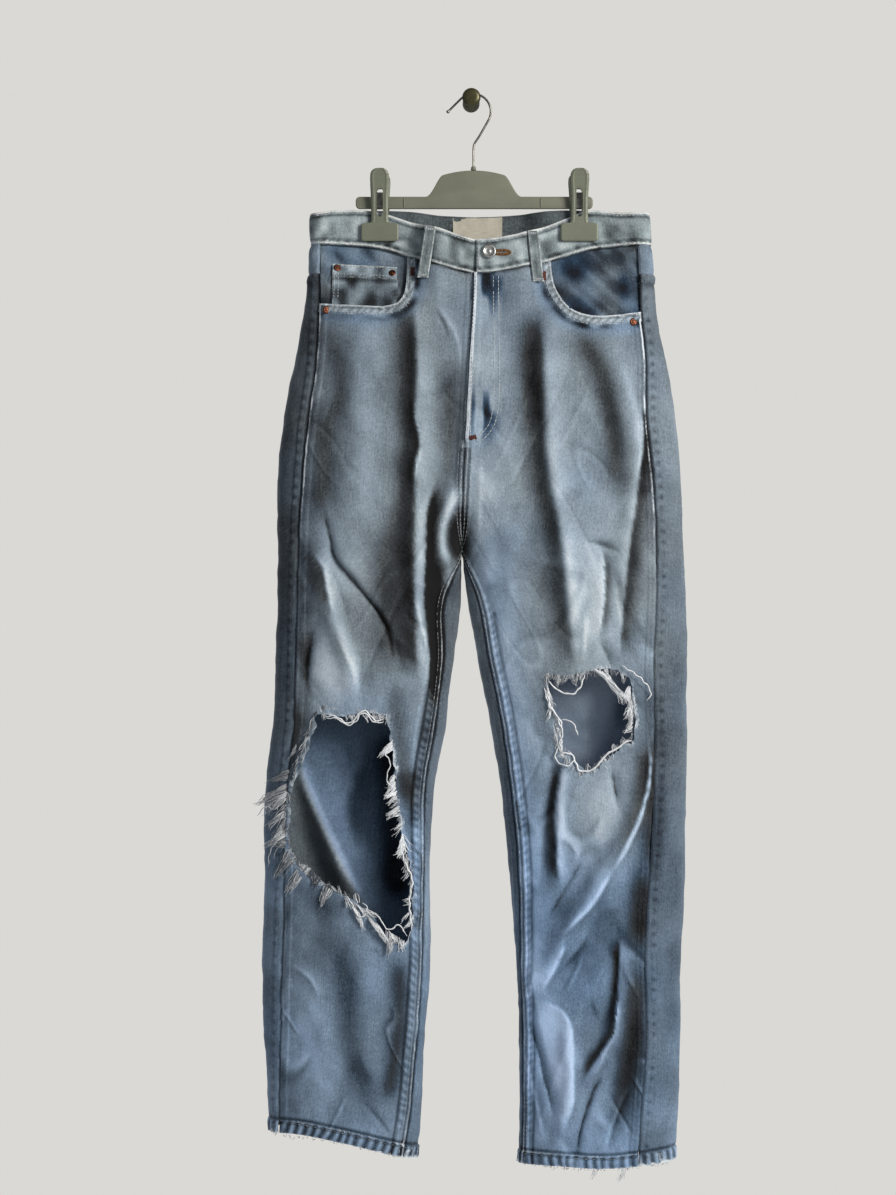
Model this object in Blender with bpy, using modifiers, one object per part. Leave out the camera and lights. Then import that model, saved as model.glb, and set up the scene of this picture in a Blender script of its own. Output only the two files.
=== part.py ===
"""Ripped jeans hanging flat from a clip hanger, whose wire hook hangs on a wall knob.

Units are metres and +Z is up. The origin is the centre of the knob's back face, on the wall plane
y = 0, and everything lies at y < 0. The front faces -Y, and +X is the wearer's left.
"""

import math

import bmesh
import bpy
import numpy as np
from mathutils import Vector
from mathutils.bvhtree import BVHTree

# ---------------------------------------------------------------- driving dimensions

HANG_Y = -0.023  # plane of the hook, the hanger bar and the pinched waist
CLOTH = 0.0018  # thickness of a denim wall
BAND = 0.0030  # thickness of the waistband, folded over its seam
LAYER = 0.0010  # thickness of a thin piece laid on a panel
GAP = 0.0003  # clearance between neighbouring pieces

TOP_LEVEL = -0.125  # waistband's top edge where it is level
SEAM_LEVEL = -0.160  # waistband's lower edge
HEM_LEVEL = -1.155
CROTCH_LEVEL = -0.494
WAIST_FADE_LEVEL = -0.320  # from here down the cloth no longer follows the dipping waist
HEM_FADE_LEVEL = -0.900

ROUNDNESS = 2.2  # exponent of a leg's flattened oval section
CLIP_X = {"left": 0.118, "right": -0.100}
PINCH_FLAT = 0.032  # half width of the flat place under a clip
PINCH_OUTWARD, PINCH_INWARD = 0.078, 0.066  # from a clip's middle to where the cloth is free
PINCH_LEVEL, PINCH_FADE_LEVEL = -0.155, -0.235  # the pinch is whole above the first
LEGS = ("left", "right")

# Level cuts through each leg. x of the two silhouette edges and of the two seams on the front.
# Above the crotch the inner edge and the inner seam are the centre seam.
LEG_COLUMNS = ("level", "outer", "outer_seam", "inner_seam", "inner")
LEG_ROWS = {
    "left": (
        (-0.125, 0.1945, 0.1800, 0.0037, 0.0037),
        (-0.180, 0.1990, 0.1820, 0.0027, 0.0027),
        (-0.230, 0.2015, 0.1830, 0.0007, 0.0007),
        (-0.290, 0.2125, 0.1880, -0.0018, -0.0018),
        (-0.350, 0.2215, 0.1880, -0.0043, -0.0043),
        (-0.420, 0.2265, 0.1950, -0.0088, -0.0088),
        (-0.460, 0.2280, 0.1970, -0.0096, -0.0096),
        (-0.494, 0.2300, 0.1980, -0.0094, -0.0094),
        (-0.550, 0.2327, 0.1980, 0.0085, -0.0035),
        (-0.610, 0.2338, 0.1950, 0.0190, 0.0070),
        (-0.680, 0.2338, 0.1960, 0.0330, 0.0205),
        (-0.745, 0.2330, 0.1960, 0.0425, 0.0310),
        (-0.840, 0.2318, 0.1905, 0.0510, 0.0405),
        (-0.940, 0.2275, 0.1860, 0.0540, 0.0483),
        (-1.030, 0.2265, 0.1870, 0.0560, 0.0520),
        (-1.100, 0.2243, 0.1820, 0.0560, 0.0525),
        (-1.155, 0.2210, 0.1780, 0.0540, 0.0500),
    ),
    "right": (
        (-0.125, -0.1763, -0.1640, 0.0033, 0.0033),
        (-0.180, -0.1774, -0.1650, 0.0023, 0.0023),
        (-0.230, -0.1817, -0.1655, 0.0003, 0.0003),
        (-0.290, -0.1925, -0.1680, -0.0022, -0.0022),
        (-0.350, -0.2040, -0.1755, -0.0047, -0.0047),
        (-0.420, -0.2095, -0.1820, -0.0092, -0.0092),
        (-0.460, -0.2100, -0.1845, -0.0106, -0.0106),
        (-0.494, -0.2110, -0.1860, -0.0114, -0.0114),
        (-0.550, -0.2110, -0.1875, -0.0295, -0.0125),
        (-0.610, -0.2121, -0.1885, -0.0300, -0.0190),
        (-0.680, -0.2154, -0.1910, -0.0390, -0.0277),
        (-0.745, -0.2235, -0.1980, -0.0500, -0.0396),
        (-0.840, -0.2252, -0.2010, -0.0520, -0.0450),
        (-0.940, -0.2273, -0.2040, -0.0540, -0.0445),
        (-1.030, -0.2253, -0.2055, -0.0600, -0.0510),
        (-1.100, -0.2219, -0.2075, -0.0660, -0.0537),
        (-1.155, -0.2200, -0.2075, -0.0740, -0.0590),
    ),
}

# Depth of the same cuts: the middle plane, the reach to the front and to the back, and the
# share of each reach that is left at the centre seam, which closes to nothing at the crotch.
DEPTH_COLUMNS = ("level", "middle", "front", "back", "centre_front", "centre_back")
DEPTH_ROWS = (
    (-0.125, -0.0230, 0.0200, 0.0110, 1.00, 1.00),
    (-0.170, -0.0232, 0.0220, 0.0120, 1.00, 1.00),
    (-0.230, -0.0305, 0.0290, 0.0180, 0.99, 0.99),
    (-0.290, -0.0380, 0.0340, 0.0260, 0.97, 0.97),
    (-0.350, -0.0420, 0.0365, 0.0300, 0.93, 0.95),
    (-0.400, -0.0440, 0.0375, 0.0320, 0.85, 0.90),
    (-0.440, -0.0450, 0.0375, 0.0330, 0.68, 0.78),
    (-0.470, -0.0450, 0.0370, 0.0330, 0.42, 0.52),
    (-0.494, -0.0450, 0.0370, 0.0330, 0.01, 0.01),
    (-0.610, -0.0445, 0.0360, 0.0330, 0.00, 0.00),
    (-0.745, -0.0430, 0.0350, 0.0320, 0.00, 0.00),
    (-0.940, -0.0420, 0.0340, 0.0310, 0.00, 0.00),
    (-1.155, -0.0410, 0.0330, 0.0300, 0.00, 0.00),
)

# The waistband's edges, which dip between the clips: x, z of the top edge, z of the lower edge.
WAIST_COLUMNS = ("x", "top", "seam")
WAIST_ROWS = {
    "front": (
        (-0.170, -0.1255, -0.1592),
        (-0.140, -0.1213, -0.1590),
        (-0.100, -0.1240, -0.1625),
        (-0.065, -0.1350, -0.1727),
        (-0.035, -0.1435, -0.1830),
        (0.000, -0.1550, -0.1920),
        (0.045, -0.1510, -0.1875),
        (0.075, -0.1420, -0.1800),
        (0.100, -0.1320, -0.1725),
        (0.125, -0.1225, -0.1650),
        (0.165, -0.1245, -0.1600),
    ),
    "back": (
        (-0.170, -0.1255, -0.1592),
        (-0.100, -0.1215, -0.1570),
        (0.005, -0.1265, -0.1620),
        (0.118, -0.1210, -0.1570),
        (0.165, -0.1245, -0.1600),
    ),
}

# The hem's edge: x, z.
HEM_COLUMNS = ("x", "edge")
HEM_ROWS = {
    "left": ((0.050, -1.156), (0.090, -1.155), (0.135, -1.157), (0.180, -1.155), (0.222, -1.152)),
    "right": ((-0.220, -1.122), (-0.190, -1.121), (-0.145, -1.128), (-0.092, -1.142), (-0.060, -1.152)),
}

# Largest folds. height is above the panel, or below it when negative; width is half the fold's own.
# Each runs through three places, as x, z.
FRONT_FOLDS = (
    # height, width, start, middle, end
    (0.0060, 0.020, (-0.105, -0.275), (-0.109, -0.370), (-0.122, -0.500)),
    (-0.0080, 0.013, (-0.070, -0.270), (-0.072, -0.440), (-0.082, -0.650)),
    (0.0075, 0.014, (-0.048, -0.250), (-0.050, -0.430), (-0.046, -0.620)),
    (-0.0060, 0.011, (-0.022, -0.260), (-0.024, -0.400), (-0.040, -0.590)),
    (0.0050, 0.008, (-0.016, -0.438), (-0.025, -0.472), (-0.028, -0.504)),
    (-0.0060, 0.009, (-0.153, -0.470), (-0.130, -0.528), (-0.078, -0.606)),
    (0.0060, 0.010, (-0.168, -0.500), (-0.143, -0.560), (-0.117, -0.645)),
    (0.0060, 0.016, (0.026, -0.270), (0.027, -0.440), (0.045, -0.640)),
    (-0.0075, 0.013, (0.062, -0.275), (0.072, -0.440), (0.096, -0.625)),
    (0.0080, 0.014, (0.094, -0.280), (0.104, -0.430), (0.121, -0.610)),
    (-0.0065, 0.012, (0.112, -0.280), (0.146, -0.365), (0.157, -0.460)),
    (0.0050, 0.009, (0.164, -0.310), (0.182, -0.370), (0.170, -0.452)),
    (-0.0060, 0.010, (0.139, -0.495), (0.155, -0.538), (0.159, -0.586)),
    (-0.0060, 0.010, (0.090, -0.722), (0.083, -0.790), (0.077, -0.845)),
    (0.0060, 0.012, (0.186, -0.750), (0.150, -0.835), (0.082, -0.950)),
    (-0.0060, 0.011, (0.158, -0.920), (0.145, -0.992), (0.118, -1.064)),
    (0.0050, 0.010, (0.103, -0.990), (0.109, -1.060), (0.094, -1.125)),
    (-0.0045, 0.010, (0.142, -1.058), (0.122, -1.095), (0.112, -1.140)),
    (0.0035, 0.014, (-0.170, -0.960), (-0.157, -1.002), (-0.143, -1.045)),
    (-0.0035, 0.013, (-0.082, -0.950), (-0.084, -1.030), (-0.090, -1.110)),
)
BACK_FOLDS = (
    (0.0060, 0.020, (0.100, -0.420), (0.096, -0.560), (0.110, -0.720)),
    (-0.0070, 0.015, (0.052, -0.500), (0.066, -0.640), (0.080, -0.780)),
    (-0.0060, 0.015, (0.160, -0.560), (0.150, -0.700), (0.120, -0.820)),
    (0.0060, 0.014, (0.080, -0.880), (0.118, -0.950), (0.170, -1.000)),
    (-0.0050, 0.014, (0.150, -0.960), (0.120, -1.040), (0.100, -1.100)),
    (0.0060, 0.020, (-0.100, -0.420), (-0.092, -0.580), (-0.104, -0.740)),
    (-0.0070, 0.015, (-0.055, -0.520), (-0.066, -0.660), (-0.080, -0.800)),
    (-0.0060, 0.015, (-0.150, -0.520), (-0.150, -0.640), (-0.130, -0.760)),
    (0.0060, 0.014, (-0.190, -0.800), (-0.140, -0.860), (-0.090, -0.890)),
    (-0.0050, 0.014, (-0.150, -0.920), (-0.125, -1.000), (-0.110, -1.080)),
)
FOLD_STEPS = 41  # places along a fold where its distance is measured

# Torn holes and pocket mouths, as x, z of the places that give their outlines.
KNEE_HOLES = {
    "right": (
        (-0.165, -0.669), (-0.125, -0.672), (-0.090, -0.671), (-0.085, -0.720), (-0.078, -0.785),
        (-0.066, -0.850), (-0.064, -0.898), (-0.075, -0.917), (-0.098, -0.896), (-0.130, -0.866),
        (-0.172, -0.846), (-0.193, -0.824), (-0.197, -0.795), (-0.194, -0.757), (-0.176, -0.710),
    ),
    "left": (
        (0.080, -0.630), (0.116, -0.628), (0.140, -0.621), (0.166, -0.630), (0.173, -0.660),
        (0.173, -0.697), (0.155, -0.708), (0.136, -0.724), (0.120, -0.731), (0.108, -0.715),
        (0.094, -0.712), (0.089, -0.670),
    ),
}
POCKET_MOUTHS = {
    "right": (
        (-0.070, -0.172), (-0.070, -0.204), (-0.073, -0.220), (-0.081, -0.228), (-0.096, -0.231),
        (-0.130, -0.229), (-0.172, -0.226),
    ),
    "left": (
        (0.087, -0.176), (0.089, -0.200), (0.094, -0.216), (0.103, -0.230), (0.116, -0.238),
        (0.133, -0.242), (0.156, -0.240), (0.194, -0.234),
    ),
}
MOUTH_OUTSIDE = {"right": -0.300, "left": 0.300}  # x beyond the panel, where a mouth's cutter ends
MOUTH_ABOVE = -0.100  # z above the panel, where it ends
CUT_NEAR, CUT_FAR = -0.200, 0.050  # y between which a cutter passes through everything
TRIM_SIDE, TRIM_ABOVE, TRIM_BELOW = 0.300, 0.0, -1.300  # a trimming cutter's half width and its far ends
RIGHT_SPLIT = -0.640  # z where the right front panel is two solids
KNEE_CUT_FAR = -0.046  # y where the torn knees' cutters end, inside the leg

# Rows and columns of the cloth's grids.
FRONT_COLUMNS = BACK_COLUMNS = 14
YOKE_ROWS = 3
LEG_ROW_COUNT = 29  # from the yoke's seam to the hem
BAND_ROWS, BAND_COLUMNS = 3, 30
YOKE_SIDE_LEVEL = -0.193
YOKE_FALL = 0.040  # how much lower its seam lies at the centre back
YOKE_FADE = (1.0, 0.75, 0.45, 0.20, 0.05)  # share of that fall in the rows below the seam

BAND_END = 0.0057  # x of the waistband's lapped left end
UNDERLAP = 0.030  # how far its right end runs on under the left one
UNDERLAP_COLUMNS = 4
UNDERLAP_TURN = 0.06  # where the right half's own section stops and the underlap starts

FACING_BOTTOM = -0.262
FACING_INNER_COLUMN = 5  # the facings use the front panels' columns from here to the outseam
COIN_POCKET = (-0.151, -0.080, -0.1800, -0.1840, -0.258)  # outer x, inner x, z at each, bottom
SHIELD_COLUMNS = 4
ZIP_COLUMNS = 2
FLY_BOTTOM_LEVEL = -0.350
BACK_POCKET = {"near": 0.036, "far": 0.156, "top": -0.268, "side": -0.385, "point": -0.408}
BACK_POCKET_ROWS = 8  # rows of the back panel that the pocket is made from
BACK_POCKET_CUT_NEAR = -0.045

BELT_LOOP_WIDTH = 0.0125
BELT_LOOP_LIFT = 0.0016  # how far a loop bows off the waistband
BELT_LOOP_ROWS, BELT_LOOP_SIDES = 8, 4
BELT_LOOP_SEAT = 0.0006  # clearance at its two ends
BELT_LOOP_TOP = 0.0020  # how far below the waistband's top edge a loop starts
BELT_LOOP_REACH = 0.021  # how far a loop runs on below the waistband
BELT_LOOPS = (  # name, x of its top, x of its foot, whether it is on the front
    ("belt_loop_front_right", -0.0445, -0.0530, True),
    ("belt_loop_front_left", 0.0665, 0.0725, True),
    ("belt_loop_side_right", -0.1480, -0.1480, False),
    ("belt_loop_side_left", 0.1640, 0.1640, False),
    ("belt_loop_back", 0.0030, 0.0030, False),
)
LABEL = {"left": -0.020, "right": 0.034, "below_edge": 0.0015, "height": 0.026, "cloth": 0.0008}

BUTTON_PLACE = (0.0190, -0.1700)
BUTTON_RADIUS = 0.0080
BUTTON_HEIGHT = 0.0036
BUTTON_PROFILE = (  # shares of its radius and height: a dished face inside a rounded rim
    (0.00, 0.62), (0.45, 0.66), (0.62, 0.82), (0.74, 1.00), (0.92, 0.92), (1.00, 0.62),
    (0.94, 0.35), (0.55, 0.00), (0.00, 0.00),
)
RIVET_RADIUS = 0.0042
RIVET_HEIGHT = 0.0016
RIVET_PROFILE = ((0.0, 1.0), (0.5, 0.92), (0.9, 0.6), (1.0, 0.0), (0.0, 0.0))
RIVETS = (  # name, x, z, and the piece it sits on
    ("rivet_coin_outer", -0.1460, -0.1860, "coin_pocket"),
    ("rivet_coin_inner", -0.0865, -0.1915, "coin_pocket"),
    ("rivet_left", 0.1745, -0.2475, "front_left"),
    ("rivet_right", -0.1570, -0.2345, "front_right"),
)

# Holder. The knob's profile: radius, distance from the wall, from its front to its back.
KNOB_PROFILE = (
    (0.0000, 0.0400), (0.0060, 0.0398), (0.0085, 0.0388), (0.0098, 0.0370), (0.0100, 0.0345),
    (0.0096, 0.0315), (0.0080, 0.0290), (0.0048, 0.0270), (0.0048, 0.0190), (0.0072, 0.0165),
    (0.0088, 0.0110), (0.0094, 0.0040), (0.0094, 0.0000), (0.0000, 0.0000),
)
KNOB_NECK = 0.0048
WIRE_RADIUS = 0.0012
HOOK_RADIUS = 0.0193
HOOK_X = 0.0020
HOOK_TIP_LENGTH = 0.0216
HOOK_TIP_STEPS = (1.0, 0.93, 0.86, 0.55, 0.25)  # shares of that length
HOOK_TIP_RADII = (0.9, 1.6, 1.5, 1.0)  # the tip's bead, as shares of the wire's radius
HOOK_ARC = (135, -28)  # degrees round the arc, from the tip's end to the shank's
HOOK_SHANK = (  # x, z
    (0.0093, -0.0391), (0.0043, -0.0468), (0.0030, -0.0500), (0.0024, -0.0545),
    (0.0024, -0.0650), (0.0024, -0.0769),
)
COLLAR_RADIUS = 0.0030
COLLAR_HEIGHT = 0.0040
COLLAR_FOOT = 0.0004  # how far the collar starts below the wire's end

BAR_TOP, BAR_BOTTOM = -0.1065, -0.1197
BAR_LEFT, BAR_RIGHT = 0.1330, -0.1265
BAR_THICKNESS = 0.0050
BAR_CORNER = 0.0045
HUMP_X = 0.0025
HUMP_HEIGHT = 0.0287
HUMP_CROWN = 0.0035  # fall of the hump's top at HUMP_SHOULDER from its middle
HUMP_SHOULDER = 0.0280
HUMP_OUTER, HUMP_INNER = 0.0525, 0.0335  # the hump's sides rise between these distances

CLIP_BOTTOM = -0.1558
CLIP_THICKNESS = 0.0036
CLIP_BACK_WIDER = 0.0008  # the back half's extra half width
CLIP_COLUMNS = ("height", "half_width", "lean")
CLIP_ROWS = (
    (0.0000, 0.0192, 0.0000),
    (0.0012, 0.0205, 0.0000),
    (0.0185, 0.0207, 0.0000),
    (0.0198, 0.0196, 0.0000),
    (0.0201, 0.0096, 0.0000),
    (0.0290, 0.0094, 0.0008),
    (0.0360, 0.0093, 0.0020),
    (0.0480, 0.0094, 0.0036),
    (0.0560, 0.0098, 0.0050),
    (0.0660, 0.0104, 0.0074),
    (0.0720, 0.0100, 0.0090),
    (0.0755, 0.0085, 0.0098),
    (0.0775, 0.0058, 0.0102),
    (0.0781, 0.0020, 0.0103),
)
CLIP_SLOT = (0.0035, 0.0270, 0.0600)  # half width, and the heights it runs between
SPRING_THICKNESS = 0.0010
SPRING_HALF_WIDTH = 0.0045
SPRING_SPREAD = 0.0019  # how far each foot flares out to its lever
SPRING_FOOT = -0.1192
SPRING_RISE = 0.0012  # how far above the bar's top the spring's bend is centred
SPRING_STEPS = 10

MATERIALS = {  # colour, roughness, metallic
    "denim": ((0.20, 0.27, 0.36), 0.90, 0.0),
    "denim_pale": ((0.30, 0.36, 0.43), 0.90, 0.0),
    "denim_facing": ((0.06, 0.09, 0.14), 0.90, 0.0),
    "label_cloth": ((0.75, 0.72, 0.65), 0.85, 0.0),
    "zip_tape": ((0.05, 0.07, 0.10), 0.80, 0.0),
    "button_metal": ((0.45, 0.46, 0.48), 0.40, 1.0),
    "rivet_copper": ((0.35, 0.16, 0.09), 0.40, 1.0),
    "hanger_plastic": ((0.18, 0.18, 0.14), 0.45, 0.0),
    "hook_steel": ((0.25, 0.25, 0.24), 0.30, 1.0),
    "knob_bronze": ((0.06, 0.05, 0.03), 0.35, 0.8),
}


# ---------------------------------------------------------------- curves and form


def table(columns, rows):
    """A short table as one array for each named column, sorted by its first column."""
    return dict(zip(columns, np.array(sorted(rows)).T))


LEG_TABLE = {side: table(LEG_COLUMNS, LEG_ROWS[side]) for side in LEGS}
DEPTH_TABLE = table(DEPTH_COLUMNS, DEPTH_ROWS)
WAIST_TABLE = {face: table(WAIST_COLUMNS, WAIST_ROWS[face]) for face in WAIST_ROWS}
HEM_TABLE = {side: table(HEM_COLUMNS, HEM_ROWS[side]) for side in LEGS}


def curve(rows, column, at):
    """A smooth curve through one column of a table, held level past the table's ends."""
    knots = next(iter(rows.values()))
    values = rows[column]
    slopes = np.gradient(values, knots)
    at = np.clip(at, knots[0], knots[-1])
    left = np.clip(np.searchsorted(knots, at, side="right") - 1, 0, len(knots) - 2)
    step = knots[left + 1] - knots[left]
    t = (at - knots[left]) / step
    start = values[left] * (1 + 2 * t) * (1 - t) ** 2 + slopes[left] * step * t * (1 - t) ** 2
    end = values[left + 1] * t**2 * (3 - 2 * t) - slopes[left + 1] * step * t**2 * (1 - t)
    return start + end


def smoothstep(low, high, value):
    """0 at low, 1 at high, with soft ends. low may be above high."""
    t = np.clip((value - low) / (high - low), 0, 1)
    return t * t * (3 - 2 * t)


def fold_height(folds, x, z):
    """Height of the folds over the panel. Each fades along its own run and to both its sides."""
    along = np.linspace(0, 1, FOLD_STEPS)[:, None]
    fade = np.sqrt(np.sin(np.linspace(0.02, 0.98, FOLD_STEPS) * math.pi))
    total = np.zeros(np.broadcast(x, z).shape)
    for height, width, start, middle, end in folds:
        route = (1 - along) * (1 - 2 * along) * np.array(start)
        route = route + 4 * along * (1 - along) * np.array(middle)
        route = route + along * (2 * along - 1) * np.array(end)
        away = np.hypot(x[..., None] - route[:, 0], z[..., None] - route[:, 1])
        nearest = away.argmin(-1)
        total += height * fade[nearest] * np.exp(-((away.min(-1) / width) ** 2))
    return total


def pinch(x, level):
    """1 where a clip presses the front and back waistbands together, 0 where the cloth is free."""
    total = np.zeros(np.broadcast(x, level).shape)
    for side, clip_x in CLIP_X.items():
        outward = (x - clip_x) * (1 if side == "left" else -1)
        free = np.where(outward > 0, PINCH_OUTWARD, PINCH_INWARD)
        total += 1 - smoothstep(PINCH_FLAT, free, np.abs(outward))
    return total * smoothstep(PINCH_FADE_LEVEL, PINCH_LEVEL, level)


def drop(side, x, level, on_front):
    """How far a point hangs from its level, because the waist's edges dip and the hem slants."""
    result = np.zeros(np.broadcast(x, level).shape)
    for face, chosen in (("front", on_front), ("back", ~on_front)):
        top = curve(WAIST_TABLE[face], "top", x) - TOP_LEVEL
        seam = curve(WAIST_TABLE[face], "seam", x) - SEAM_LEVEL
        up_band = np.clip((level - SEAM_LEVEL) / (TOP_LEVEL - SEAM_LEVEL), 0, 1)
        fade = smoothstep(WAIST_FADE_LEVEL, SEAM_LEVEL, level)
        result = np.where(chosen, (seam + (top - seam) * up_band) * fade, result)
    hem = curve(HEM_TABLE[side], "edge", x) - HEM_LEVEL
    return result + hem * smoothstep(HEM_FADE_LEVEL, HEM_LEVEL, level)


def reach(x, level, on_front):
    """Full depth of a section in front of its middle plane, or behind it, folds included."""
    slack = 1 - pinch(x, level)
    front = curve(DEPTH_TABLE, "front", level) * slack + fold_height(FRONT_FOLDS, x, level)
    back = curve(DEPTH_TABLE, "back", level) * slack + fold_height(BACK_FOLDS, x, level)
    return BAND + GAP + np.where(on_front, front, back)


def section_measure(side, x, y, level, on_front):
    """1 on a leg's face, less inside it and more outside it. It gives the face its normals."""
    leg = LEG_TABLE[side]
    outer, inner = curve(leg, "outer", level), curve(leg, "inner", level)
    across = (2 * x - outer - inner) / (inner - outer)
    away = (y - curve(DEPTH_TABLE, "middle", level)) * np.where(on_front, -1, 1)
    return closing(across, level, on_front) * np.abs(across) ** ROUNDNESS + (
        np.abs(away / reach(x, level, on_front)) ** ROUNDNESS
    )


def closing(across, level, on_front):
    """1 where a section closes at its edge, and less at the centre seam above the crotch."""
    left = np.where(
        on_front,
        curve(DEPTH_TABLE, "centre_front", level),
        curve(DEPTH_TABLE, "centre_back", level),
    )
    return np.where(across > 0, 1 - np.clip(left, 0, 1) ** ROUNDNESS, 1)


def leg_face(side, level, turn):
    """Points and outward normals of a leg's outer face.

    turn goes round the section: 0 at the inner edge, pi at the outer edge by way of the front,
    and 2 pi at the inner edge again by way of the back.
    """
    level, turn = np.broadcast_arrays(np.asarray(level, float), np.asarray(turn, float))
    leg = LEG_TABLE[side]
    outer, inner = curve(leg, "outer", level), curve(leg, "inner", level)
    across = np.cos(turn)
    x = (outer + inner) / 2 + across * (inner - outer) / 2
    on_front = np.sin(turn) >= 0
    share = np.clip(1 - closing(across, level, on_front) * np.abs(across) ** ROUNDNESS, 0, 1)
    away = share ** (1 / ROUNDNESS) * reach(x, level, on_front)
    y = curve(DEPTH_TABLE, "middle", level) + away * np.where(on_front, -1, 1)
    h = 1e-5
    normal = np.stack(
        [
            section_measure(side, x + h, y, level, on_front)
            - section_measure(side, x - h, y, level, on_front),
            section_measure(side, x, y + h, level, on_front)
            - section_measure(side, x, y - h, level, on_front),
            section_measure(side, x, y, level + h, on_front)
            - section_measure(side, x, y, level - h, on_front),
        ],
        -1,
    )
    normal /= np.linalg.norm(normal, axis=-1, keepdims=True)
    points = np.stack([x, y, level + drop(side, x, level, on_front)], -1)
    return points, normal


def seam_turn(side, level, seam):
    """The turn of a seam, from its x in the leg's table."""
    leg = LEG_TABLE[side]
    outer, inner = curve(leg, "outer", level), curve(leg, "inner", level)
    across = (2 * curve(leg, seam, level) - outer - inner) / (inner - outer)
    return np.arccos(np.clip(across, -1, 1))


def clear_of_seam(side, level, turn, direction):
    """The turn moved along the face by half a gap, in the given direction."""
    h = 1e-3
    ahead, _ = leg_face(side, level, turn + h)
    behind, _ = leg_face(side, level, turn - h)
    speed = np.linalg.norm(ahead - behind, axis=-1) / (2 * h)
    return turn + direction * np.clip(GAP / 2 / np.maximum(speed, 1e-9), 0, 0.06)


def face_at(x, level, front):
    """Points and normals of the garment's front or back face at given x, above the crotch."""
    x, level = np.broadcast_arrays(np.asarray(x, float), np.asarray(level, float))
    centre = curve(LEG_TABLE["left"], "inner", level)
    points, normals = np.empty(x.shape + (3,)), np.empty(x.shape + (3,))
    for side in LEGS:
        leg = LEG_TABLE[side]
        outer, inner = curve(leg, "outer", level), curve(leg, "inner", level)
        turn = np.arccos(np.clip((2 * x - outer - inner) / (inner - outer), -1, 1))
        found, outward = leg_face(side, level, turn if front else 2 * math.pi - turn)
        mine = x >= centre if side == "left" else x < centre
        points[mine], normals[mine] = found[mine], outward[mine]
    return points, normals


def level_at(x, z, front):
    """The level whose point at x lies at height z."""
    level = np.array(z, float)
    for _ in range(12):
        points, _ = face_at(x, level, front)
        level = level + (z - points[..., 2])
    return level


# ---------------------------------------------------------------- building objects


def clear_scene():
    for obj in list(bpy.data.objects):
        bpy.data.objects.remove(obj, do_unlink=True)


def new_collection(name):
    collection = bpy.data.collections.new(name)
    bpy.context.scene.collection.children.link(collection)
    return collection


def plain_material(name, colour, roughness, metallic):
    material = bpy.data.materials.new(name)
    material.use_nodes = True
    shader = material.node_tree.nodes["Principled BSDF"]
    shader.inputs["Base Color"].default_value = (*colour, 1.0)
    shader.inputs["Roughness"].default_value = roughness
    shader.inputs["Metallic"].default_value = metallic
    return material


def add_object(name, mesh, collection, material=None, smooth=True):
    """Links a mesh as a named object, with its material and its shading."""
    obj = bpy.data.objects.new(name, mesh)
    collection.objects.link(obj)
    if material:
        mesh.materials.append(material)
    if smooth:
        mesh.shade_smooth()
        mesh.set_sharp_from_angle(angle=math.radians(35))
    return obj


def wall(name, outer, inner, collection, material):
    """A closed sheet between two grids of points, outer and inner, of the same rows and columns.

    Every sheet splits its grid's squares along the same diagonal, so that layers lie parallel.
    """
    rows, columns = outer.shape[:2]
    index = np.arange(rows * columns).reshape(rows, columns)
    a, b, c, d = index[:-1, :-1], index[1:, :-1], index[1:, 1:], index[:-1, 1:]
    near = np.concatenate([np.stack([a, b, c], -1), np.stack([a, c, d], -1)]).reshape(-1, 3)
    border = np.concatenate([index[0, :-1], index[:-1, -1], index[-1, :0:-1], index[:0:-1, 0]])
    rim = np.stack([border, np.roll(border, -1)], -1)
    rim = np.concatenate([rim, rim[:, ::-1] + index.size], -1)
    faces = [*near.tolist(), *(near[:, ::-1] + index.size).tolist(), *rim.tolist()]
    mesh = bpy.data.meshes.new(name)
    points = np.concatenate([outer.reshape(-1, 3), inner.reshape(-1, 3)])
    mesh.from_pydata(points.tolist(), [], faces)
    body = bmesh.new()
    body.from_mesh(mesh)
    bmesh.ops.recalc_face_normals(body, faces=body.faces)
    body.to_mesh(mesh)
    body.free()
    return add_object(name, mesh, collection, material)


def layer(name, points, normals, near, far, collection, material):
    """A sheet that follows a face, from near to far below it. Negative distances lie above it."""
    return wall(name, points - normals * near, points - normals * far, collection, material)


def smooth_loop(outline, steps=3):
    """A closed smooth curve through an outline's places."""
    places = np.array(outline)
    before, after, later = (np.roll(places, n, axis=0) for n in (1, -1, -2))
    result = []
    for t in np.arange(steps) / steps:
        result.append(
            0.5
            * (
                2 * places
                + (after - before) * t
                + (2 * before - 5 * places + 4 * after - later) * t**2
                + (3 * places - before - 3 * after + later) * t**3
            )
        )
    return np.stack(result, 1).reshape(-1, 2)


def prism(name, outline, near_y, far_y, collection):
    """A cutter: an outline in x and z, drawn out from near_y to far_y."""
    body = bmesh.new()
    corners = [body.verts.new((x, near_y, z)) for x, z in outline]
    face = body.faces.new(corners)
    moved = bmesh.ops.extrude_face_region(body, geom=[face])
    drawn = [item for item in moved["geom"] if isinstance(item, bmesh.types.BMVert)]
    bmesh.ops.translate(body, verts=drawn, vec=(0, far_y - near_y, 0))
    bmesh.ops.recalc_face_normals(body, faces=body.faces)
    mesh = bpy.data.meshes.new(name)
    body.to_mesh(mesh)
    body.free()
    cutter = add_object(name, mesh, collection, smooth=False)
    cutter.hide_render = True
    cutter.display_type = "WIRE"
    return cutter


def boolean(obj, cutter, operation="DIFFERENCE"):
    """Cuts an object by a cutter, or keeps only what lies inside it."""
    modifier = obj.modifiers.new(cutter.name, "BOOLEAN")
    modifier.operation = operation
    modifier.solver = "EXACT"
    modifier.object = cutter


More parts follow.
